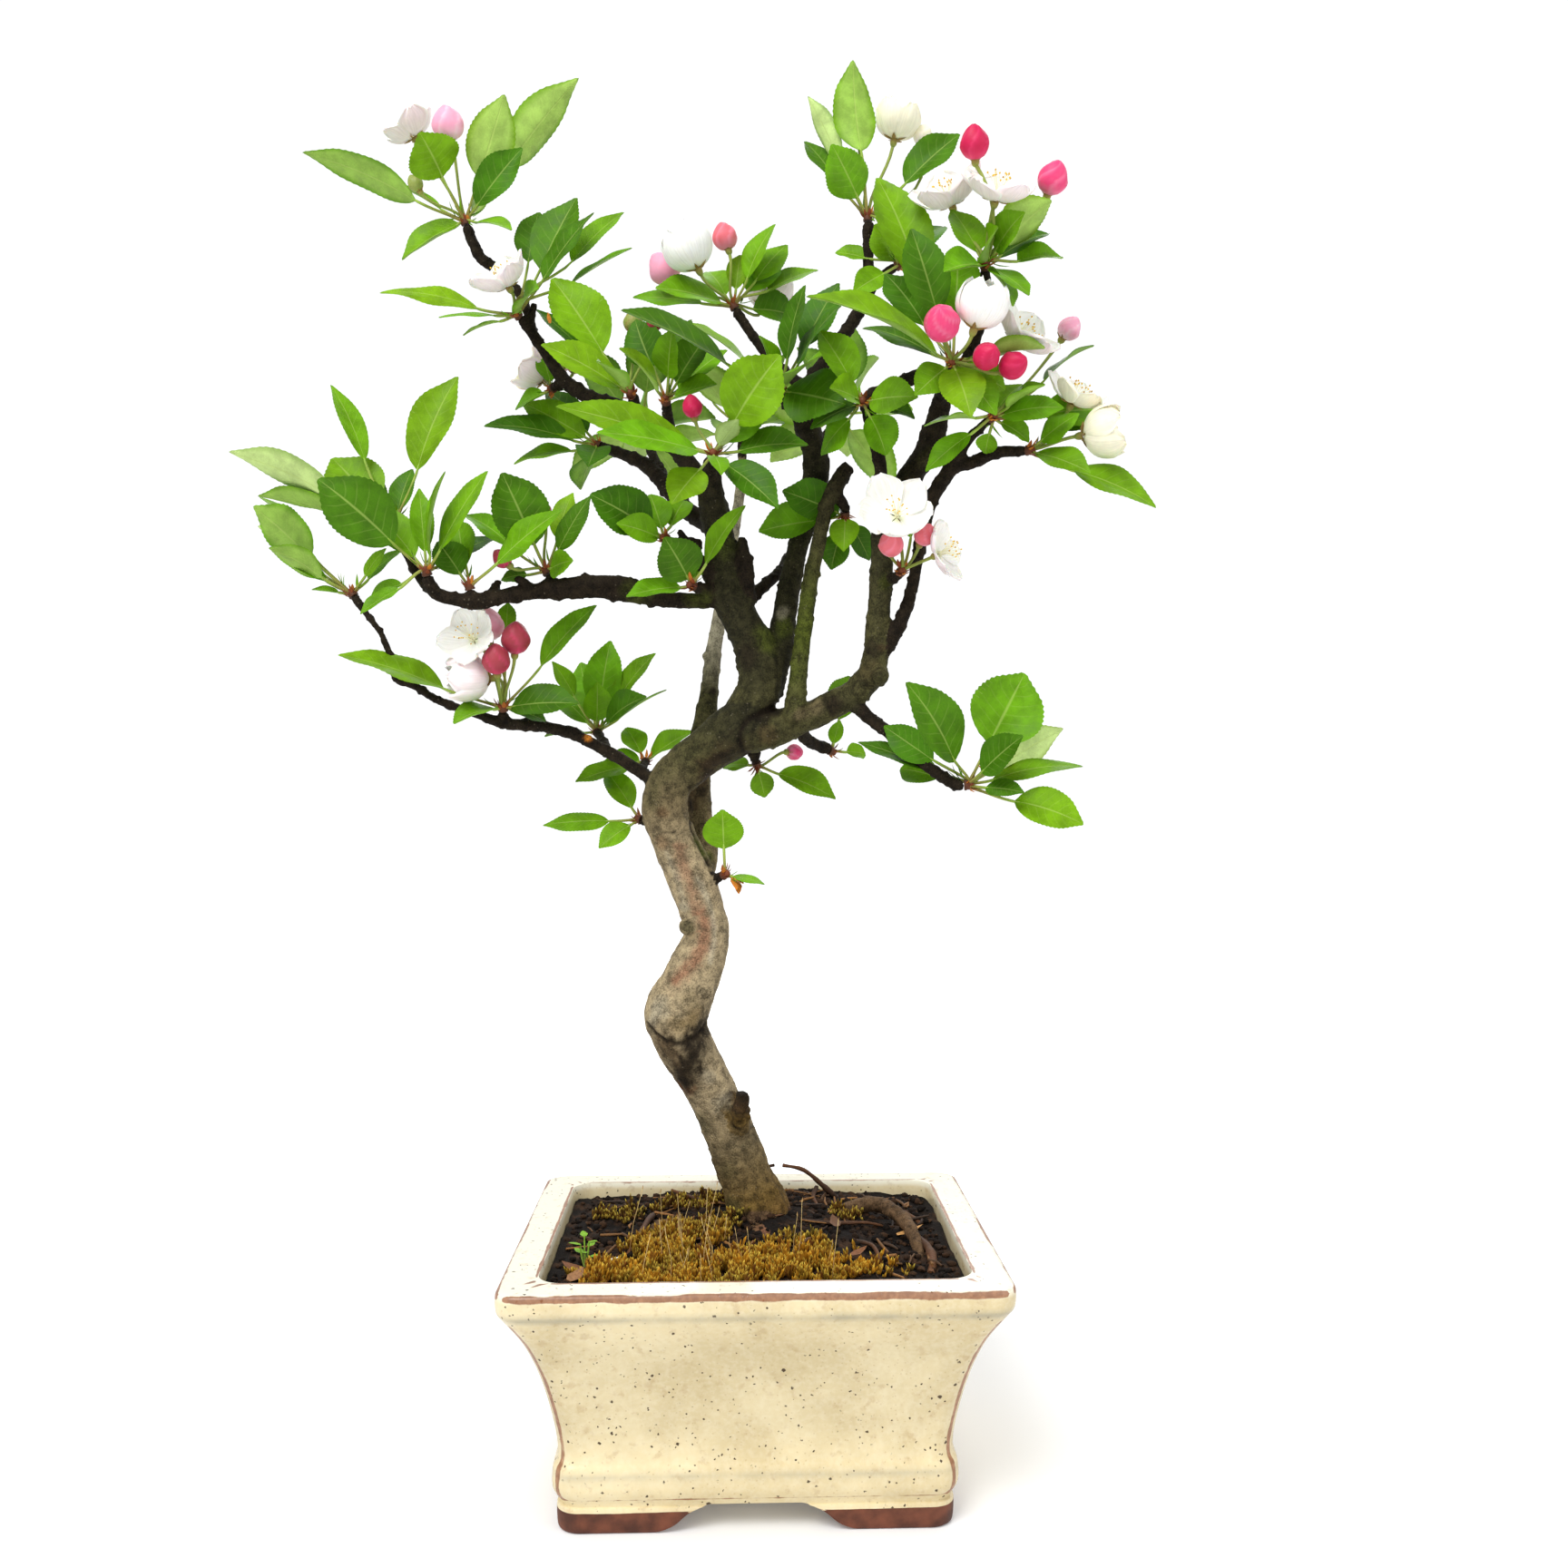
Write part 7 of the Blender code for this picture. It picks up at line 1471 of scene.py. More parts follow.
def make_sprays(leaf_look, petal_look, stamen_look):
    """Make each spray's leaves, spur, stalks and buds, and each bloom, where their solids are."""
    buds = Shape()
    trees = {name: solid_tree(name) for name in SPRAYS}
    shapes = {}
    for name, spray in SPRAYS.items():
        shape = Shape()
        draw = random.Random(name + "_looks")
        add_spur(shape, spray, draw)
        for index, leaf in enumerate(spray_leaves(name, spray, False)):
            add_leaf(shape, leaf if (name, index) in AS_LISTED else matched_leaf(leaf, trees[name]), draw)
        for leaf in spray_leaves(name, spray, True):
            add_leaf(shape, leaf, draw)
        for index, entry in enumerate(spray.get("buds", [])):
            bud = matched_bud(bud_spot(spray, entry), trees[name])
            add_bud(shape, buds, bud, bud_palette(name, index), draw)
        shapes[name] = shape
    stamens = Shape()
    for name, entry in BLOOMS.items():
        draw = random.Random(name + "_looks")
        bearer = entry[0]
        bloom = matched_bloom(bloom_spot(name), solid_tree(name), trees[bearer])
        top, path = bloom_path(bloom)
        add_stalk(shapes[bearer], path, BLOOM_STALK)
        add_calyx(shapes[bearer], path[-1], top + bloom["axis"] * 0.4 * MM, bloom["axis"],
                  1.2 + 0.5 * bloom["open"], (STALK_TOP, SEPAL_TINT))
        petals = Shape()
        add_petals(petals, bloom, BLOOM_TINTS.get(name, (PETAL_WHITE, PETAL_BLUSH)), draw)
        new_piece(name + "_petals", petals, petal_look, [name])
        if bloom["open"] >= SHOWS_STAMENS:
            add_stamens(stamens, bloom, draw)
    for name, shape in shapes.items():
        new_piece(name + "_leaves", shape, leaf_look, [name])
    new_piece("flower_buds", buds, petal_look)
    new_piece("stamens", stamens, stamen_look)

def view_route(points):
    """Turn a limb's list of u, v, depth and radius into places and radii in the part's frame."""
    return [Vector((*place(u, v, depth), radius * MM)) for u, v, depth, radius in points]


def pot_route(points):
    """Turn a root's list of x, y, z and radius into places and radii in the part's frame."""
    return [Vector((*(Vector((x, y, z)) * MM + SHIFT), radius * MM)) for x, y, z, radius in points]


def twig_route(spray):
    """Return the route of the woody twig that carries a spray."""
    tip, heading = spray_frame(spray)
    points = view_route(spray["twig"])
    end = tip - heading * (SPUR_LENGTH + GAP)
    return points + [Vector((*end, min(points[-1].w, TWIG_END)))]


def curve_point(points, index, t):
    """Return a point of the smooth curve through some points, at a share of the way from one to the next."""
    before = points[max(index - 1, 0)]
    here = points[index]
    after = points[index + 1]
    beyond = points[min(index + 2, len(points) - 1)]
    return 0.5 * (2 * here + (after - before) * t
                  + (2 * before - 5 * here + 4 * after - beyond) * t ** 2
                  + (3 * here - before - 3 * after + beyond) * t ** 3)


def smooth_route(points, spacing=BARK_STEP):
    """Return close-set points, in place and radius, of a smooth curve through the given ones."""
    route = []
    for index in range(len(points) - 1):
        steps = max(2, round((points[index + 1].xyz - points[index].xyz).length / spacing))
        route += [curve_point(points, index, step / steps) for step in range(steps)]
    return route + points[-1:]


def wood_routes():
    """Return every woody route with its name: roots, limbs and twigs."""
    routes = [(name, smooth_route(pot_route(points))) for name, points in ROOTS.items()]
    routes += [(name, smooth_route(view_route(points))) for name, points in LIMBS.items()]
    routes += [(name + "_twig", smooth_route(twig_route(spray))) for name, spray in SPRAYS.items()]
    return routes


def route_tint(name, share):
    """Return the bark's colour at a share of a route."""
    if name in ROOTS:
        return BARK_ROOT
    tints = BARK_TINTS.get(name, [BARK_DARK, BARK_DARK])
    spot = share * (len(tints) - 1)
    index = min(int(spot), len(tints) - 2)
    return blend(tints[index], tints[index + 1], spot - index)


def surface_spot(tree, u, v, depth):
    """Return where the line of sight through a point of the front view meets a surface, behind a depth."""
    start = place(u, v, depth)
    found = tree.ray_cast(start, (start - EYE).normalized())[0]
    return found or start


def streak_trees(tree):
    """Return every streak's width, depth, strength and colour, with a search tree of the places along it."""
    streaks = []
    for width, deep, strength, tint, stops in STREAKS:
        spots = [surface_spot(tree, *stop, LOOK_BEFORE) for stop in stops]
        run = smooth_route([Vector((*spot, 0)) for spot in spots], STREAK_STEP)
        streaks.append((width * MM, deep * MM, strength, tint, nearest_tree([point.xyz for point in run])))
    return streaks


def open_marks(marks):
    """Return the route marks that don't lie inside a much thicker limb."""
    hosts = [mark for mark in marks if mark[0].w > THICK_LIMB]
    tree = nearest_tree([mark[0].xyz for mark in hosts])
    seen = []
    for mark in marks:
        near = tree.find_n(mark[0].xyz, 3)
        if not any(hosts[index][0].w > 1.6 * mark[0].w and away < hosts[index][0].w * HIDDEN_SHARE
                   for _, index, away in near):
            seen.append(mark)
    return seen


def ridge_noise(point, size):
    """Return a value of fractal noise at a point."""
    return noise.fractal(point / size, 1, 2, 3)


def make_wood(skin):
    """Make the wood: smooth tubes along every route, melted into one skin, then roughened as bark."""
    bark = Shape()
    marks = []
    for name, route in wood_routes():
        sides = 16 if max(point.w for point in route) > THICK_LIMB else 10
        path = [point.xyz for point in route]
        radii = [point.w + (THIN_GROW if point.w < THIN_LIMB else 0) for point in route]
        corners, faces = stem_shape(path, radii, sides)
        bark.add(corners, faces, BARK_DARK)
        whole = sum((after - before).length for before, after in zip(path, path[1:]))
        run = 0
        for index, point in enumerate(route):
            run += (path[index] - path[index - 1]).length if index else 0
            along = (path[min(index + 1, len(path) - 1)] - path[max(index - 1, 0)]).normalized()
            marks.append((point, along, name, run, whole))
    for u, v, depth, radius in KNOTS:
        bark.add(*ball_shape(2, radius * MM, place(u, v, depth)), BARK_DARK)
    wood = new_piece("bark", bark, skin, ["trunk_and_branches"])
    melt = wood.modifiers.new("melt", "REMESH")
    melt.mode = "VOXEL"
    melt.voxel_size = BARK_VOXEL
    ease = wood.modifiers.new("ease", "SMOOTH")
    ease.factor = 0.5
    ease.iterations = 3
    mesh = apply_modifiers(wood)
    marks = open_marks(marks)
    lines = nearest_tree([mark[0].xyz for mark in marks])
    tree = BVHTree.FromPolygons([corner.co for corner in mesh.vertices],
                                [face.vertices[:] for face in mesh.polygons])
    streaks = streak_trees(tree)
    patches = [(surface_spot(tree, u, v, depth), reach * MM, tint, strength)
               for depth, rows in BARK_PATCHES.items() for u, v, reach, tint, strength in rows]
    scars = [(surface_spot(tree, u, v, LOOK_BEFORE), reach * MM) for u, v, reach in SCARS]
    normals = [corner.normal.copy() for corner in mesh.vertices]
    tints = []
    for corner, normal in zip(mesh.vertices, normals):
        spot = corner.co.copy()
        near = min(lines.find_n(spot, 6), key=lambda found: found[2] - marks[found[1]][0].w)
        point, along, name, run, whole = marks[near[1]]
        radius = point.w
        smooth = name in ("trunk", "second_stem") and spot.z > SMOOTH_FROM
        rough = 0.5 if smooth else 1
        lumps = ridge_noise(spot, LUMP_SIZE) * min(radius * 0.09, 0.8 * MM) * (0.6 + 0.4 * rough)
        grain = ridge_noise(spot - along * spot.dot(along) * 0.75, GRAIN_SIZE)
        beads = max(ridge_noise(spot, BEAD_SIZE) - 0.25, 0) * BEAD_RISE * (0.25 if smooth else 1)
        rings = math.sin((run + ridge_noise(spot, RING_WANDER) * 3 * MM) / RING_STEP * math.tau)
        ring = rise(0.82, 1, rings) * RING_RISE * (1 if radius < THICK_LIMB else 0.25)
        patch = ridge_noise(spot, PATCH_SIZE)
        tint = shaded(route_tint(name, run / whole), 0.16 * patch + 0.2 * grain * (0.5 + 0.5 * rough))
        speckle = rise(0.1, 0.5, ridge_noise(spot + PATCH_SHIFT, SPECKLE_SIZE))
        tint = blend(tint, shaded(tint, -0.6), speckle * SPECKLE_SHARE)
        for centre, reach, shade, strength in patches:
            away = (spot - centre).length
            if away < reach:
                tint = blend(tint, shade, strength * rise(1, 0.3, away / reach - 0.35 * patch))
        sunk = 0
        for width, deep, strength, shade, places in streaks:
            away = places.find(spot)[2] * (1 - 0.45 * patch - 0.35 * grain)
            if away < width:
                closeness = band(2 * away, width)
                broken = 1 if deep else 0.85 + 0.5 * grain
                tint = blend(tint, shade, strength * min(closeness * 1.4 * broken, 1))
                sunk += deep * closeness
        scar = 0
        for centre, reach in scars:
            away = (spot - centre).length / reach
            if away < 1:
                wave = math.cos(away * SCAR_RINGS * math.tau + 2 * patch)
                scar += SCAR_RISE * wave * (1 - away)
                tint = blend(tint, CRACK_AND_CREASE_SHADE, 0.5 * rise(0.2, -0.8, wave) * rise(1, 0.8, away))
        corner.co = spot + normal * (lumps + grain * GRAIN_RISE * rough + beads + ring + scar - sunk)
        tints.append(tint)
    paint_tints(mesh, tints)
    mesh.shade_smooth()
    finish_piece(wood, skin)


def rounded_rectangle(half_width, half_depth, radius, z):
    """Return the points of a level rectangle with round corners, anticlockwise from above."""
    arcs = []
    for index, (sign_x, sign_y) in enumerate([(1, -1), (1, 1), (-1, 1), (-1, -1)]):
        centre = Vector((sign_x * (half_width - radius), sign_y * (half_depth - radius), z))
        arc = []
        for step in range(CORNER_STEPS + 1):
            angle = math.radians(90 * (index - 1 + step / CORNER_STEPS))
            arc.append(centre + radius * Vector((math.cos(angle), math.sin(angle), 0)))
        arcs.append(arc)
    points = []
    for arc, beyond in zip(arcs, arcs[1:] + arcs[:1]):
        points += arc
        points += [arc[-1].lerp(beyond[0], step / SIDE_STEPS) for step in range(1, SIDE_STEPS)]
    return points


def pot_ring(height, inset, corner):
    """Return the points of a level ring of the pot, at a height and an inset in mm."""
    return rounded_rectangle(POT_WIDTH / 2 - inset * MM, POT_DEPTH / 2 - inset * MM, corner, height * MM)


def profile_curve(points, steps):
    """Return a smooth run of (height, inset) through the given ones, in mm."""
    points = [Vector(point) for point in points]
    run = []
    for index in range(len(points) - 1):
        run += [curve_point(points, index, step / steps) for step in range(steps)]
    return run + points[-1:]


def cut_with(target, cutter_mesh):
    """Cut a mesh out of an object, and apply the cut."""
    cutter = scene_object("cutter", cutter_mesh)
    step = target.modifiers.new("cut", "BOOLEAN")
    step.operation = "DIFFERENCE"
    step.object = cutter
    apply_modifiers(target)
    bpy.data.objects.remove(cutter)


def loft_mesh(name, rings):
    """Return a closed mesh through rings with equal numbers of points."""
    corners = [point for ring in rings for point in ring]
    mesh = bpy.data.meshes.new(name)
    mesh.from_pydata(corners, [], ring_faces(len(rings[0]), len(rings)))
    return mesh


def make_pot(skin):
    """Make the glazed pot: flared wall, lip, drained floor, and four unglazed feet between arches."""
    outside = profile_curve(POT_PROFILE, POT_STEPS)
    rings = [pot_ring(max(height, 0), inset, POT_CORNER) for height, inset in outside]
    rings += [pot_ring(LIP_TOP, inset, INSIDE_CORNER) for inset in LIP_RINGS]
    inside = profile_curve(WALL_INSIDE, WALL_STEPS)[1:]
    rings += [pot_ring(height, inset, INSIDE_CORNER) for height, inset in inside]
    pot = new_piece("glazed_pot", loft_mesh("glazed_pot", rings), skin, ["pot"])
    recess_x = POT_WIDTH / 2 - (POT_PROFILE[1][1] * MM + FOOT_RING)
    recess_y = POT_DEPTH / 2 - (POT_PROFILE[1][1] * MM + FOOT_RING)
    recess = [rounded_rectangle(recess_x, recess_y, RECESS_CORNER, z) for z in (-CUT_BELOW, FLOOR_BOTTOM)]
    cut_with(pot, loft_mesh("recess", recess))
    for share, turn in ((1, 0), (SIDE_ARCH_SHARE, 90)):
        outline = []
        for step in range(ARCH_STEPS + 1):
            t = step / ARCH_STEPS
            across = (ARCH_FOOT_HALF + (ARCH_TOP_HALF - ARCH_FOOT_HALF) * t) * share
            bow = ARCH_BOW * math.sin(math.tau * t) * share
            outline.append((across - bow, FOOT_CLEARANCE * rise(0, 1, t) * 0.4 + FOOT_CLEARANCE * t * 0.6))
        outline = [(outline[0][0], -CUT_BELOW)] + outline
        outline += [(-across, up) for across, up in reversed(outline)]
        rings = [[Vector((across, along, up)) for across, up in outline]
                 for along in (POT_WIDTH, -POT_WIDTH)]
        arch = loft_mesh("arch", rings)
        arch.transform(Matrix.Rotation(math.radians(turn), 4, "Z"))
        cut_with(pot, arch)
    for side in (-1, 1):
        hole = bmesh.new()
        bmesh.ops.create_cone(hole, cap_ends=True, segments=32, radius1=DRAIN_RADIUS, radius2=DRAIN_RADIUS,
                              depth=2 * (FLOOR_TOP + CUT_BELOW),
                              matrix=Matrix.Translation((side * DRAIN_SPACING / 2, 0, 0)))
        mesh = bpy.data.meshes.new("drain")
        hole.to_mesh(mesh)
        hole.free()
        cut_with(pot, mesh)
    mesh = pot.data
    paint_tints(mesh, [pot_tint(*corner.co) for corner in mesh.vertices])
    mesh.transform(Matrix.Translation(SHIFT))
    mesh.shade_smooth()
    mesh.set_sharp_from_angle(angle=POT_EDGE)
    finish_piece(pot, skin)


def pot_tint(x, y, z):
    """Return a colour that says how worn, how bare and how grey the glaze is at a spot of the pot; the grey
    band under the lip is painted shade, and the inner edge line is partly wear and partly painted shade.
    """
    inset_x = POT_WIDTH / 2 - abs(x)
    inset_y = POT_DEPTH / 2 - abs(y)
    inset = min(inset_x, inset_y) / MM
    height = z / MM
    outer = min(POT_PROFILE, key=lambda stop: abs(stop[0] - height))[1]
    along = noise.noise(Vector((x, y, 0)) / (30 * MM))
    lip = band(height - WORN_LIP - 0.5 * along, 1.5) * rise(2.4, 1.6, inset) * (1.1 + 0.3 * along)
    # The inner edge line: partly worn and dirty glaze, partly painted shade where the lip turns down into
    # the pot.
    inner = band(inset - WORN_AND_SHADED_INNER, 0.8) * rise(97, 99, height) * 0.92
    corner = band(inset_x - inset_y, 2.6 * MM) * rise(93, 86, height) * rise(10, 14, height) * 0.8
    foot = band(height - WORN_FOOT, 0.8) * 0.7
    ridge = band(height - WORN_RIDGE, 0.7) * 0.82
    bare = rise(WORN_FOOT, WORN_FOOT - 1, height)
    # The upper grey band is painted shade under the overhang of the lip.
    grey = band(height - SHADE_UNDER_LIP, 1.6) * 0.8 + 0.5 * band(height - GREY_LOW, 1.6)
    if inset > outer + 6:
        return (inner, bare, 0)
    return (min(lip + inner + corner + foot + ridge, 1), bare, min(grey, 1))


def soil_height(x, y):
    """Return the soil's height at a spot of the pot: a low mound round the trunk, with a little relief."""
    away = ((x - TRUNK_FOOT.x) ** 2 + (y - TRUNK_FOOT.y) ** 2) / MOUND_REACH ** 2
    relief = noise.noise(Vector((x, y, 0)) / RELIEF_SIZE) * SOIL_RELIEF
    return SOIL_LEVEL + MOUND_HEIGHT * math.exp(-away) + relief


def flat_noise(x, y, layer, size):
    """Return a value of fractal noise at a spot seen from above; each layer has its own noise."""
    return ridge_noise(Vector((x, y, layer)), size)


def on_soil(x, y, over=0):
    """Return the place at a height over a spot of the soil."""
    return Vector((x, y, soil_height(x, y) + over)) + SHIFT


def inside_wall(height):
    """Return the half sizes of the pot's inside at a height."""
    for (high, high_inset), (low, low_inset) in zip(WALL_INSIDE, WALL_INSIDE[1:]):
        if low * MM <= height <= high * MM:
            share = (height - low * MM) / ((high - low) * MM)
            inset = (low_inset + (high_inset - low_inset) * share) * MM
            return POT_WIDTH / 2 - inset, POT_DEPTH / 2 - inset
    return POT_WIDTH / 2 - WALL_INSIDE[-1][1] * MM, POT_DEPTH / 2 - WALL_INSIDE[-1][1] * MM


def make_soil(skin):
    """Make the soil: its body against the wall, a crumbly top, and loose crumbs on it."""
    rings = []
    bottom = FLOOR_TOP + 2 * MM
    for height in (bottom, 45 * MM, 69 * MM, 85 * MM, SOIL_LEVEL - 2 * MM):
        half_x, half_y = inside_wall(height)
        rings.append(rounded_rectangle(half_x - GAP, half_y - GAP, INSIDE_CORNER, height))
    half_x, half_y = inside_wall(SOIL_LEVEL)
    edge = rounded_rectangle(half_x - GAP, half_y - GAP, INSIDE_CORNER, 0)
    for step in range(SOIL_RINGS):
        share = 1 - step / SOIL_RINGS
        ring = []
        for point in edge:
            spot = TRUNK_FOOT.lerp(point, share)
            crumbs = abs(flat_noise(spot.x, spot.y, 0, CRUMB_SIZE)) * CRUMB_RISE
            crumbs += flat_noise(spot.x, spot.y, 1, SWELL_SIZE) * SWELL_RISE
            ring.append(Vector((spot.x, spot.y, soil_height(spot.x, spot.y) + crumbs - 0.4 * MM)))
        rings.append(ring)
    shape = Shape()
    corners = [point for ring in rings for point in ring]
    tints = [blend(SOIL_DARK, SOIL_BROWN, rise(0, 0.8, ridge_noise(corner, 9 * MM))) for corner in corners]
    shape.add([corner + SHIFT for corner in corners], ring_faces(len(edge), len(rings)), tints)
    draw = random.Random("crumbs")
    for _ in range(CRUMBS):
        x = draw.uniform(-1, 1) * (half_x - 3 * MM)
        y = draw.uniform(-1, 1) * (half_y - 3 * MM)
        size = draw.uniform(0.5, 1.5) ** 2 * MM
        tint = blend(SOIL_DARK, SOIL_BROWN, draw.random() ** 2)
        add_pebble(shape, on_soil(x, y, 0.5 * MM), size, tint, draw)
    new_piece("soil_and_crumbs", shape, skin, ["soil"])


def add_pebble(shape, centre, size, tint, draw):
    """Add one crumb: a rough lump of twenty faces."""
    round_corners, faces = ball_shape(1, size)
    flat = Vector((draw.uniform(0.7, 1.3), draw.uniform(0.7, 1.3), draw.uniform(0.5, 0.9)))
    corners = [centre + corner * flat * draw.uniform(0.75, 1.2) for corner in round_corners]
    shape.add(corners, faces, tint)


def make_moss(skin):
    """Make the moss pads: lumpy cushions of thousands of short pointed shoots, pale gold at their tips."""
    pads = [(name, pad, SHOOTS_PER_AREA) for name, pad in MOSS_PADS.items()]
    thin = SHOOTS_PER_AREA * TUFT_SHARE
    pads += [("moss_tufts_%d" % index, pad, thin) for index, pad in enumerate(MOSS_TUFTS)]
    tufts = Shape()
    for name, (middle_x, middle_y, half_length, half_width, turn), density in pads:
        spin = Matrix.Rotation(math.radians(turn), 3, "Z")
        shape = Shape() if name in MOSS_PADS else tufts
        draw = random.Random(name)
        for _ in range(int(half_length * half_width * density)):
            share = math.sqrt(draw.random()) * 1.06
            angle = draw.uniform(0, math.tau)
            edge = Vector((half_length * math.cos(angle), half_width * math.sin(angle), 0))
            flat = spin @ edge * share * MM
            x = middle_x * MM + flat.x
            y = middle_y * MM + flat.y
            patch = flat_noise(x, y, 5, MOSS_PATCH_SIZE)
            tuft = flat_noise(x, y, 3, MOSS_TUFT_SIZE)
            bare = tuft < -0.24 or patch < -0.3 or (share > 0.7 and patch < -0.05)
            if bare or max(abs(x) / POT_WIDTH, abs(y) / POT_DEPTH) > MOSS_LIMIT:
                continue
            cushion = MOSS_EDGE
            if name in MOSS_PADS:
                cushion += MOSS_HEIGHT * math.sqrt(max(1 - share ** 2, 0)) * (0.6 + 0.6 * patch)
            root = on_soil(x, y, 0.4 * MM)
            green = rise(0.05, 0.45, flat_noise(x, y, 9, MOSS_GREEN_SIZE)) * 0.6
            back = rise(-30, 10, y / MM)
            tint = blend(MOSS_GOLD, MOSS_GREEN, green + 0.4 * back + draw.uniform(-0.2, 0.2))
            tint = blend(tint, MOSS_BROWN, max(draw.uniform(-0.7, 0.9), 0))
            tint = shaded(blend(tint, MOSS_BROWN, 0.35 * back), -0.45 * back)
            height = cushion + (1.4 + 3.2 * draw.random() ** 2) * (1 + tuft) * MM
            add_shoot(shape, root, height, tint, draw)
        if name in MOSS_PADS:
            new_piece(name + "_shoots", shape, skin, [name])
    new_piece("moss_tufts", tufts, skin)


def add_shoot(shape, root, height, tint, draw):
    """Add one moss shoot: a few thin pointed blades that spread from one foot."""
    for _ in range(SHOOT_BLADES):
        lean = Vector((draw.uniform(-1, 1), draw.uniform(-1, 1), 0)) * 0.3
        direction = (UP + lean).normalized()
        across = Quaternion(direction, draw.uniform(0, math.tau)) @ direction.orthogonal().normalized()
        tall = height * draw.uniform(0.75, 1.1)
        width = draw.uniform(0.4, 0.85) * MM
        corners = [root]
        for step in range(3):
            spoke = Quaternion(direction, math.tau * step / 3) @ across
            corners.append(root + direction * (tall - 1.5 * MM) + lean * 1.2 * MM + spoke * width)
        corners.append(root + direction * tall + lean * 2 * MM)
        # Each blade is painted near black at its foot and darker along its middle, partly the moss's brown
        # stems and partly painted shade down in the cushion; its tip is pale gold.
        shaded_foot_to_pale_tip = [shaded(tint, -0.92)] + [shaded(tint, -0.4)] * 3 + [blend(tint, MOSS_PALE, draw.random())]
        shape.add(corners, spindle_faces(3), shaded_foot_to_pale_tip)


def make_litter(skin):
    """Make the small things on the soil and at the spurs: stalks, sticks, twigs, dry bits and a seedling."""
    draw = random.Random("litter")
    shape = Shape()
    for _ in range(STRAWS):
        middle_x, middle_y, half_length, half_width = MOSS_PADS[draw.choice(list(MOSS_PADS))][:4]
        angle = draw.uniform(0, math.tau)
        share = math.sqrt(draw.random()) * 0.9
        x = (middle_x + half_length * math.cos(angle) * share) * MM
        y = (middle_y + half_width * math.sin(angle) * share) * MM
        root = on_soil(x, y)
        tall = draw.uniform(8, 26) * MM
        lean = Vector((draw.uniform(-0.25, 0.25), draw.uniform(-0.25, 0.25), 1)).normalized()
        bend = Vector((draw.uniform(-1, 1), draw.uniform(-1, 1), 0)) * tall * 0.12
        path = [root, root + lean * tall * 0.5, root + lean * tall + bend]
        add_stem(shape, path, [0.16 * MM, 0.13 * MM, 0.1 * MM], 5, (STRAW_LOW, STRAW_HIGH))
        tip = path[-1]
        path = [tip, tip + lean * 0.8 * MM, tip + lean * 2 * MM]
        add_stem(shape, path, [0.12 * MM, 0.26 * MM, 0.08 * MM], 5, (STRAW_HIGH, STRAW_LOW))
    for _ in range(DEBRIS):
        x = draw.uniform(-1, 1) * DEBRIS_REACH[0] * MM
        y = draw.uniform(-0.9, 1) * DEBRIS_REACH[1] * MM
        spot = on_soil(x, y, draw.uniform(0.8, 2.2) * MM)
        spin = Quaternion(UP, draw.uniform(0, math.tau))
        reach = spin @ Vector((draw.uniform(2, 7) * MM, 0, draw.uniform(-1, 1.5) * MM))
        radius = draw.uniform(0.25, 0.7) * MM
        shade = blend(TWIG_TINT, STRAW_LOW, draw.random() ** 2)
        bend = Vector((draw.uniform(-1, 1), draw.uniform(-1, 1), 0)) * MM
        add_stem(shape, [spot - reach, spot + bend, spot + reach], [radius, radius * 1.1, radius * 0.7], 5,
                 (shade, shade))
    for u, v, depth, length, width, heading in DRIED_BITS:
        angle = math.radians(heading)
        direction = Vector((math.cos(angle) * 0.6, -0.7, math.sin(angle))).normalized()
        add_scale(shape, Vector(place(u, v, depth)), direction, length * MM, width * MM, SCALE_ORANGE, -0.1)
    for stops in TWIG_BITS:
        points = [Vector((*on_soil(x * MM, y * MM, over * MM), radius * MM)) for x, y, over, radius in stops]
        route = smooth_route(points, 2 * MM)
        radii = [point.w * (1 + 0.35 * ridge_noise(point.xyz, 4 * MM)) for point in route]
        add_stem(shape, [point.xyz for point in route], radii, 7, (TWIG_TINT, BARK_FOOT))
    for x, y, length, width, heading, tint in DRY_LEAVES:
        root = on_soil(x * MM, y * MM, 3 * MM)
        direction = (Quaternion(UP, math.radians(heading)) @ Vector((1, 0, 0.1))).normalized()
        add_scale(shape, root, direction, length * MM, width * MM, tint, 0.2)
    root = on_soil(*SEEDLING)
    for index in range(SEEDLING_LEAVES):
        spoke = Quaternion(UP, GOLDEN_ANGLE * index) @ Vector((1, 0, 0))
        top = root + UP * (5 + 1.3 * index) * MM + spoke * 2 * MM
        add_stem(shape, [root, (root + top) / 2 + spoke * 0.5 * MM, top], [0.5 * MM, 0.4 * MM, 0.3 * MM], 5,
                 (STALK_TOP, SEEDLING_TINT))
        direction = (spoke + UP * 0.3).normalized()
        length = draw.uniform(3.6, 5) * MM
        add_scale(shape, top, direction, length, draw.uniform(3, 3.8) * MM, SEEDLING_TINT, -0.1)
    new_piece("litter", shape, skin)


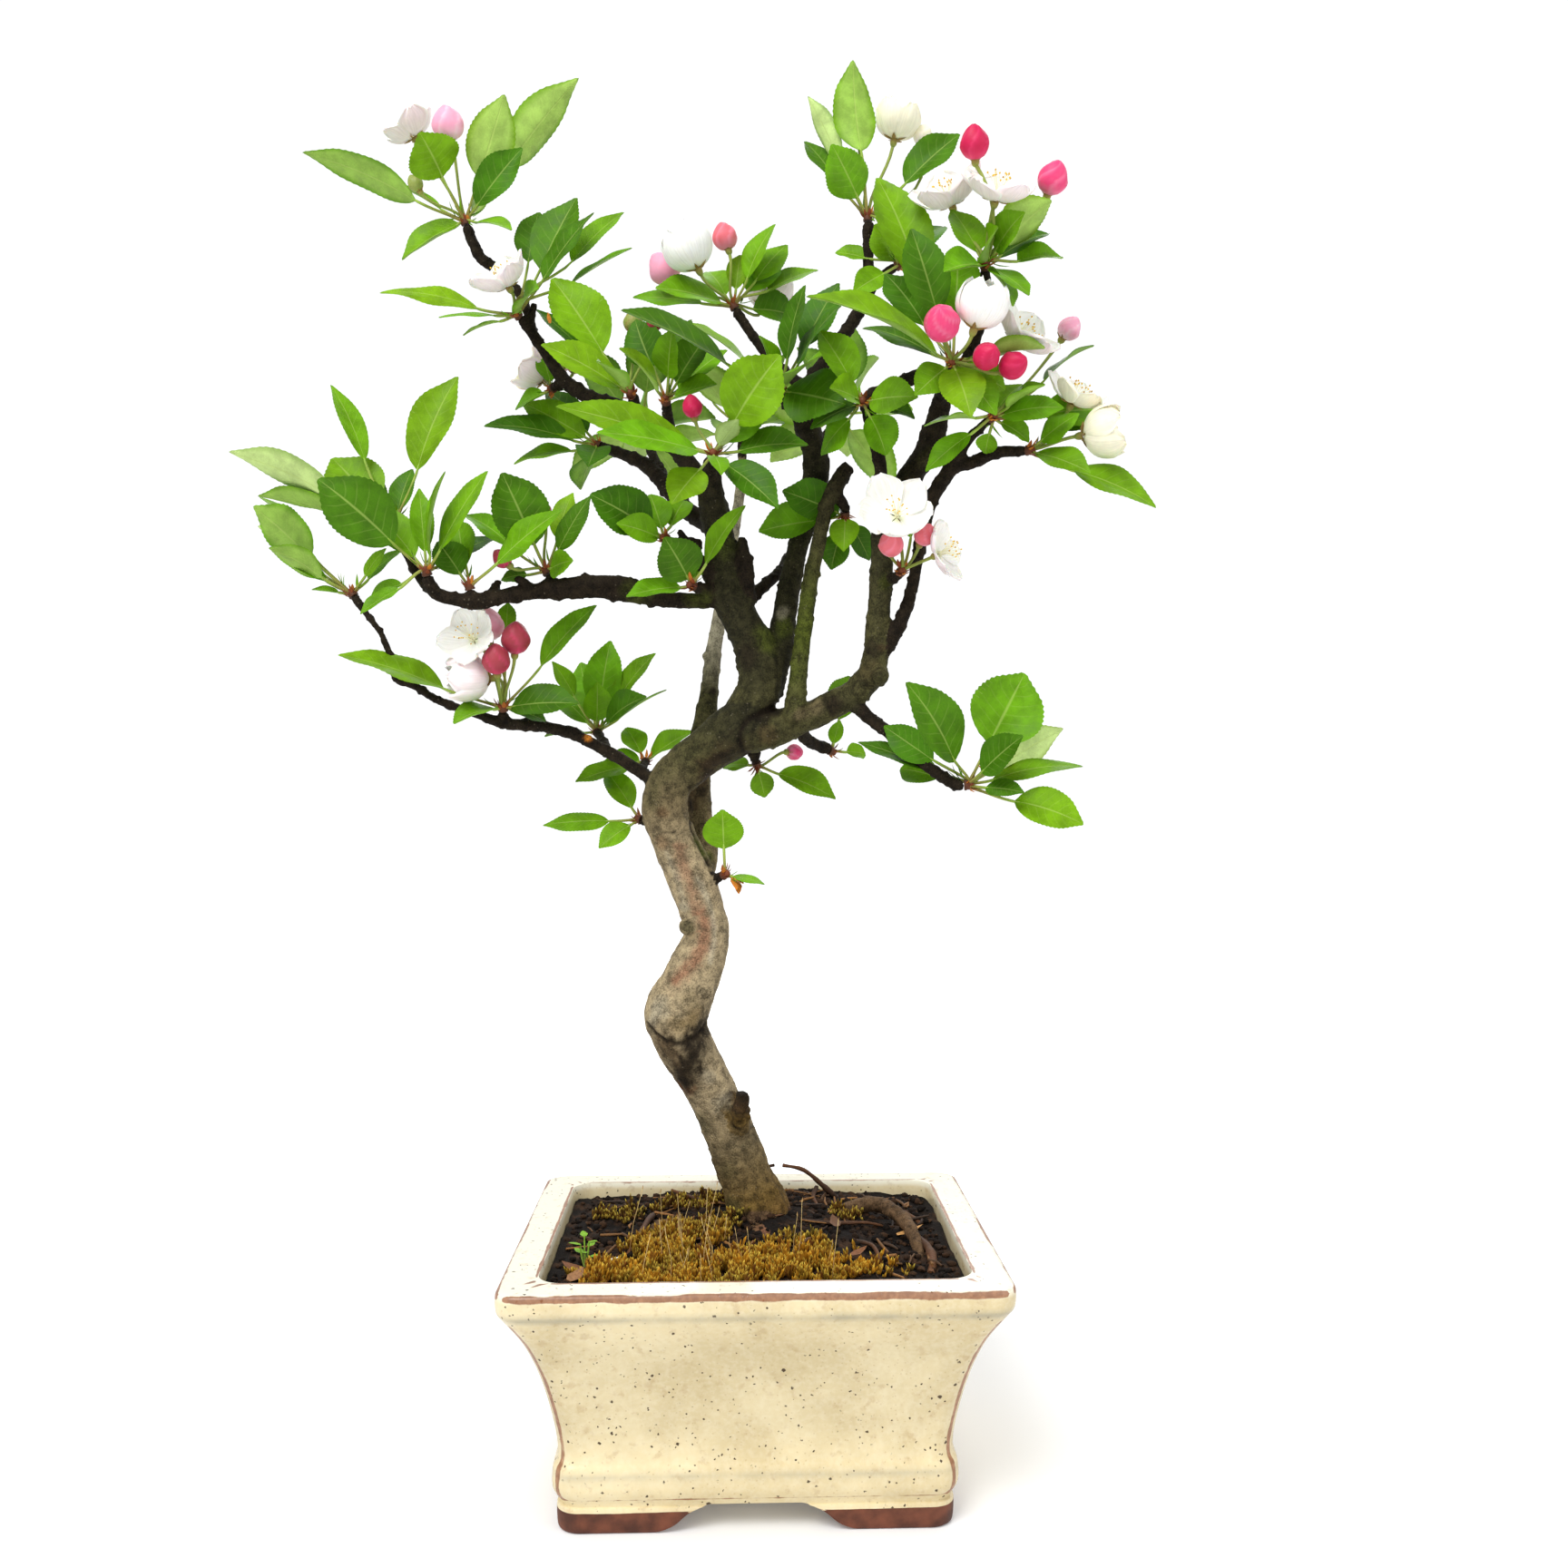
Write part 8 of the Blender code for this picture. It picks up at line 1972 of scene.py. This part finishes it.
class Skin:
    """A material that is put together node by node."""

    def __init__(self, name, roughness, specular=0.5):
        self.material = bpy.data.materials.new(name)
        self.material.use_nodes = True
        self.nodes = self.material.node_tree.nodes
        self.links = self.material.node_tree.links
        self.shader = self.nodes["Principled BSDF"]
        self.shader.inputs["Roughness"].default_value = roughness
        self.shader.inputs["Specular IOR Level"].default_value = specular
        self.place = self.node("ShaderNodeTexCoord").outputs["Object"]

    def node(self, kind, settings=(), **inputs):
        """Add a node; an input is a value, or the output of another node."""
        made = self.nodes.new(kind)
        for key, value in dict(settings).items():
            setattr(made, key, value)
        for key, value in inputs.items():
            socket = made.inputs[int(key[1:])] if key[0] == "i" and key[1:].isdigit() else made.inputs[key]
            if isinstance(value, bpy.types.NodeSocket):
                self.links.new(value, socket)
            else:
                socket.default_value = value
        return made

    def math(self, operation, first, second=0.0):
        """Return the output of one sum."""
        return self.node("ShaderNodeMath", {"operation": operation}, i0=first, i1=second).outputs[0]

    def plus(self, first, second):
        """Return the sum of two values."""
        return self.math("ADD", first, second)

    def minus(self, first, second):
        """Return the difference of two values."""
        return self.math("SUBTRACT", first, second)

    def times(self, first, second):
        """Return the product of two values."""
        return self.math("MULTIPLY", first, second)

    def attribute(self, name):
        """Return the node that reads a value painted on the mesh."""
        return self.node("ShaderNodeAttribute", {"attribute_name": name})

    def noise(self, scale, detail=4.0, place=None):
        """Return the value of a noise texture; the scale is in repeats for each metre."""
        return self.node("ShaderNodeTexNoise", Vector=place or self.place, Scale=scale, Detail=detail,
                         Roughness=NOISE_ROUGHNESS).outputs["Fac"]

    def warped(self, scale, amount):
        """Return the place, pushed about by noise; the amount is in metres."""
        push = self.node("ShaderNodeTexNoise", Vector=self.place, Scale=scale, Detail=3.0).outputs["Color"]
        push = self.node("ShaderNodeVectorMath", {"operation": "SCALE"}, i0=push, Scale=amount).outputs[0]
        return self.node("ShaderNodeVectorMath", i0=self.place, i1=push).outputs[0]

    def cells(self, scale, place=None):
        """Return the distance value of a cell texture."""
        return self.node("ShaderNodeTexVoronoi", Vector=place or self.place, Scale=scale).outputs["Distance"]

    def step(self, value, low, high, first=0.0, second=1.0):
        """Return a smooth step of a value from one number to another."""
        return self.node("ShaderNodeMapRange", {"interpolation_type": "SMOOTHSTEP"}, i0=value, i1=low,
                         i2=high, i3=first, i4=second).outputs[0]

    def mix(self, share, first, second, kind="MIX"):
        """Return a mix of two colours."""
        made = self.nodes.new("ShaderNodeMix")
        made.data_type = "RGBA"
        made.blend_type = kind
        for socket, value in ((made.inputs[0], share), (made.inputs[6], first), (made.inputs[7], second)):
            if isinstance(value, bpy.types.NodeSocket):
                self.links.new(value, socket)
            else:
                socket.default_value = value if isinstance(value, float) else (*value, 1)
        return made.outputs[2]

    def bump(self, height, distance, strength):
        """Raise the surface by a height value."""
        made = self.node("ShaderNodeBump", Height=height, Distance=distance, Strength=strength)
        self.links.new(made.outputs[0], self.shader.inputs["Normal"])

    def finish(self, base, roughness=None):
        """Set the colour, and the roughness if it varies."""
        self.links.new(base, self.shader.inputs["Base Color"])
        if roughness is not None:
            self.links.new(roughness, self.shader.inputs["Roughness"])
        return self.material


def shaded_tint(skin, tint, shade):
    """Return a colour times a grey value."""
    grey = skin.node("ShaderNodeCombineColor", i0=shade, i1=shade, i2=shade).outputs[0]
    return skin.mix(1.0, tint, grey, "MULTIPLY")


def leaf_skin():
    """Leaf blades with a pale midrib, soft side veins and a fine grain, and plain stems and scales."""
    skin = Skin("leaf", 0.45, 0.12)
    tint = skin.attribute("tint").outputs["Color"]
    mark = skin.node("ShaderNodeSeparateXYZ", i0=skin.attribute("mark").outputs["Vector"])
    along, across = mark.outputs[:2]
    off = skin.math("ABSOLUTE", across)
    blade = skin.step(off, 1.3, 1.5, 1.0, 0.0)
    rib = skin.step(off, 0.012, 0.06, 1.0, 0.0)
    slope = skin.times(skin.math("POWER", off, 1.2), 1.5)
    other = skin.times(skin.math("GREATER_THAN", across, 0.0), 0.5)
    phase = skin.plus(skin.minus(skin.times(along, float(VEIN_PAIRS)), slope), other)
    phase = skin.plus(phase, skin.times(skin.noise(120.0, 2.0), 0.35))
    nearest = skin.math("ABSOLUTE", skin.minus(skin.math("FRACT", phase), 0.5))
    vein = skin.times(skin.step(nearest, 0.4, 0.5), skin.step(off, 0.95, 0.5))
    lines = skin.math("MAXIMUM", rib, skin.times(vein, 0.28))
    lines = skin.times(lines, blade)
    patch = skin.noise(130.0, 3.0)
    shade = skin.step(skin.plus(patch, skin.times(skin.noise(1600.0, 2.0), 0.3)), 0.4, 0.9, 0.78,
                      1.2)
    base = skin.mix(skin.times(lines, 0.33), shaded_tint(skin, tint, shade), VEIN_TINT)
    relief = skin.minus(skin.times(skin.noise(1400.0, 2.0), 0.3), lines)
    skin.bump(relief, 0.0003, 0.4)
    return skin.finish(base, skin.step(patch, 0.3, 0.7, 0.4, 0.55))


def petal_skin():
    """Petals with faint veins and a soft, slightly mottled surface."""
    skin = Skin("petal", 0.5, 0.35)
    tint = skin.attribute("tint").outputs["Color"]
    mark = skin.node("ShaderNodeSeparateXYZ", i0=skin.attribute("mark").outputs["Vector"])
    streak = skin.node("ShaderNodeCombineXYZ", i0=skin.times(mark.outputs[0], 2.0),
                       i1=skin.times(mark.outputs[1], 14.0), i2=mark.outputs[2]).outputs[0]
    veins = skin.noise(1.0, 3.0, streak)
    mottle = skin.noise(300.0, 3.0)
    shade = skin.step(skin.plus(veins, skin.times(mottle, 0.5)), 0.5, 1.0, 0.9, 1.05)
    skin.bump(veins, 0.0003, 0.35)
    skin.shader.inputs["Subsurface Weight"].default_value = 0.35
    skin.shader.inputs["Subsurface Radius"].default_value = (0.002, 0.0015, 0.001)
    return skin.finish(shaded_tint(skin, tint, shade))


def painted_skin(name, roughness, grain, depth, spread=0.2, specular=0.4):
    """A surface with its painted tint, mottled and rough by noise of one scale."""
    skin = Skin(name, roughness, specular)
    tint = skin.attribute("tint").outputs["Color"]
    value = skin.noise(grain, 4.0)
    shade = skin.step(value, 0.25, 0.75, 1 - spread, 1 + spread)
    skin.bump(value, depth, 0.7)
    return skin.finish(shaded_tint(skin, tint, shade))


def bark_skin():
    """Bark: mottled, finely cracked, with a few pale corky dots."""
    skin = Skin("bark", 0.7, 0.1)
    tint = skin.attribute("tint").outputs["Color"]
    coarse = skin.noise(260.0, 6.0)
    fine = skin.noise(1500.0, 4.0)
    both = skin.plus(coarse, skin.times(fine, 0.9))
    base = shaded_tint(skin, tint, skin.step(both, 0.66, 1.2, 0.42, 1.5))
    dots = skin.times(skin.step(skin.cells(420.0), 0.2, 0.1), skin.step(skin.noise(90.0), 0.5, 0.6))
    base = skin.mix(skin.times(dots, 0.1), base, LENTICEL_TINT)
    pits = skin.times(skin.step(skin.cells(520.0), 0.16, 0.06),
                     skin.step(skin.noise(60.0), 0.42, 0.55))
    base = skin.mix(skin.times(pits, 0.6), base, CRACK_AND_CREASE_SHADE)
    relief = skin.plus(coarse, skin.times(fine, 0.5))
    relief = skin.plus(relief, skin.times(dots, 0.2))
    skin.bump(relief, 0.0011, 0.9)
    return skin.finish(base)


def glaze_skin():
    """Cream glaze, brown where it thins at the edges, speckled and stained, over bare terracotta feet; with
    painted light and shade: a paler lip top, a darker middle of the wall, and a grey band of shade under the
    lip.
    """
    skin = Skin("glaze", 0.24, 0.4)
    parts = skin.node("ShaderNodeSeparateColor", i0=skin.attribute("tint").outputs["Color"])
    worn, bare, grey = parts.outputs
    high = skin.node("ShaderNodeSeparateXYZ", i0=skin.place).outputs[2]
    cloud = skin.noise(26.0, 6.0)
    fine = skin.noise(420.0, 5.0)
    base = skin.mix(skin.step(cloud, 0.36, 0.66), GLAZE_CREAM, GLAZE_WARM)
    # Painted shade: the middle of the wall is painted darker, and its lower and upper parts a little
    # lighter.
    middle = skin.times(skin.step(high, 0.026, 0.05), skin.step(high, 0.09, 0.07))
    base = shaded_tint(skin, base, skin.step(middle, 0.0, 1.0, 1.03, 0.93))
    base = skin.mix(skin.step(fine, 0.35, 0.75, 0.0, 0.2), base, GLAZE_FLECK_AND_LIT_TOP)
    # Painted light: the top of the lip is painted paler, as its upward face catches more light.
    base = skin.mix(skin.step(high, LIT_LIP_TOP_FROM, LIT_LIP_TOP_FROM + 0.003), base, GLAZE_FLECK_AND_LIT_TOP)
    stain = skin.times(skin.step(skin.noise(190.0, 6.0), 0.56, 0.72), 0.3)
    base = skin.mix(stain, base, GLAZE_TAN)
    pinholes = skin.step(skin.cells(430.0), 0.2, 0.1)
    base = skin.mix(skin.times(pinholes, 0.25), base, GLAZE_TAN)
    ragged = skin.warped(700.0, 0.0016)
    for scale, size, gate in ((150.0, 0.12, 0.48), (330.0, 0.17, 0.47), (90.0, 0.09, 0.44)):
        speck = skin.times(skin.step(skin.cells(scale, ragged), size, size * 0.6),
                          skin.step(skin.noise(38.0 + scale / 9, 3.0), gate, gate + 0.05))
        base = skin.mix(skin.times(speck, 0.95), base, SPECK_TINT)
    # The grey bands; the upper one is painted shade under the lip.
    base = skin.mix(skin.times(grey, skin.step(skin.noise(60.0), 0.3, 0.6, 0.3, 0.8)), base, GLAZE_GREY_AND_SHADE)
    broken = skin.plus(worn, skin.times(skin.minus(skin.noise(120.0, 5.0), 0.5), 0.7))
    edge = skin.step(broken, 0.45, 0.65)
    base = skin.mix(skin.times(edge, 0.9), base, skin.mix(skin.step(fine, 0.35, 0.75), WORN_BROWN, WORN_TAN))
    clay = skin.mix(skin.step(skin.noise(90.0, 5.0), 0.35, 0.7), CLAY_DARK, CLAY_RED)
    clay_edge = skin.step(skin.plus(bare, skin.times(skin.minus(cloud, 0.5), 0.8)), 0.45,
                          0.55)
    base = skin.mix(clay_edge, base, clay)
    rough = skin.step(clay_edge, 0.0, 1.0, 0.24, 0.6)
    relief = skin.plus(skin.noise(55.0, 3.0), skin.times(pinholes, -0.12))
    relief = skin.plus(relief, skin.times(skin.times(fine, clay_edge), 0.4))
    skin.bump(relief, 0.0008, 0.4)
    return skin.finish(base, rough)


def plastic_skin():
    """Black plastic of the drain screens, dusty."""
    skin = Skin("screen_plastic", 0.6)
    dust = skin.noise(300.0, 4.0)
    base = skin.mix(skin.step(dust, 0.4, 0.8), PLASTIC_BLACK, PLASTIC_DUST)
    skin.bump(dust, 0.0002, 0.5)
    return skin.finish(base)


def floor_skin():
    """The plain pale floor, which glows softly as a lit backdrop does."""
    skin = Skin("floor", 0.9, 0.0)
    base = skin.mix(skin.noise(2.0), FLOOR_TINT, shaded(FLOOR_TINT, 0.02))
    skin.shader.inputs["Emission Color"].default_value = (*WORLD_TINT, 1)
    seen = skin.node("ShaderNodeLightPath").outputs["Is Camera Ray"]
    away = skin.node("ShaderNodeVectorMath", {"operation": "LENGTH"}, i0=skin.place).outputs["Value"]
    glow = skin.step(away, *FLOOR_POOL, *FLOOR_GLOW)
    skin.links.new(skin.times(seen, glow), skin.shader.inputs["Emission Strength"])
    return skin.finish(base)




def make_stage(skin):
    """Make the pale floor, the lights and the camera of the front view."""
    disc = bmesh.new()
    bmesh.ops.create_circle(disc, cap_ends=True, segments=96, radius=FLOOR_REACH)
    mesh = bpy.data.meshes.new("floor")
    disc.to_mesh(mesh)
    disc.free()
    floor = scene_object("floor", mesh)
    dress(floor, skin)
    world = bpy.data.worlds.new("studio")
    bpy.context.scene.world = world
    world.use_nodes = True
    light = world.node_tree.nodes["Background"]
    shown = world.node_tree.nodes.new("ShaderNodeBackground")
    for background, strength in ((light, WORLD_STRENGTH), (shown, WORLD_SHOWN)):
        background.inputs["Color"].default_value = (*WORLD_TINT, 1)
        background.inputs["Strength"].default_value = strength
    seen = world.node_tree.nodes.new("ShaderNodeLightPath").outputs["Is Camera Ray"]
    either = world.node_tree.nodes.new("ShaderNodeMixShader")
    world.node_tree.links.new(seen, either.inputs[0])
    world.node_tree.links.new(light.outputs[0], either.inputs[1])
    world.node_tree.links.new(shown.outputs[0], either.inputs[2])
    world.node_tree.links.new(either.outputs[0], world.node_tree.nodes["World Output"].inputs[0])
    for name, spot, size, power in LIGHTS:
        lamp = bpy.data.lights.new(name, "AREA")
        lamp.size = size
        lamp.energy = power
        holder = scene_object(name, lamp)
        holder.location = spot
        holder.rotation_euler = (LIGHT_TARGET - Vector(spot)).to_track_quat("-Z", "Y").to_euler()
    camera = bpy.data.cameras.new("front_view")
    camera.sensor_width = SENSOR_WIDTH
    camera.lens = SENSOR_WIDTH * VIEW_SCALE / VIEW_WIDTH
    camera.clip_start = 0.01
    holder = scene_object("front_view", camera)
    holder.location = EYE
    holder.rotation_euler = (math.pi / 2, 0, -VIEW_TURN)
    bpy.context.scene.camera = holder
    bpy.context.scene.view_settings.view_transform = "Standard"


def main():
    """Dress every solid, and set the stage."""
    make_pot(glaze_skin())
    for name in ("drain_mesh_left", "drain_mesh_right"):
        dress(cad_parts[name], plastic_skin())
    make_soil(painted_skin("soil", 0.95, 900.0, 0.0008, 0.35, 0.2))
    make_moss(painted_skin("moss", 0.85, 700.0, 0.0004, 0.3, 0.2))
    make_litter(painted_skin("litter", 0.7, 900.0, 0.0003, 0.25, 0.3))
    make_wood(bark_skin())
    make_sprays(leaf_skin(), petal_skin(), painted_skin("stamen", 0.6, 900.0, 0.0002, 0.1))
    make_stage(floor_skin())


main()
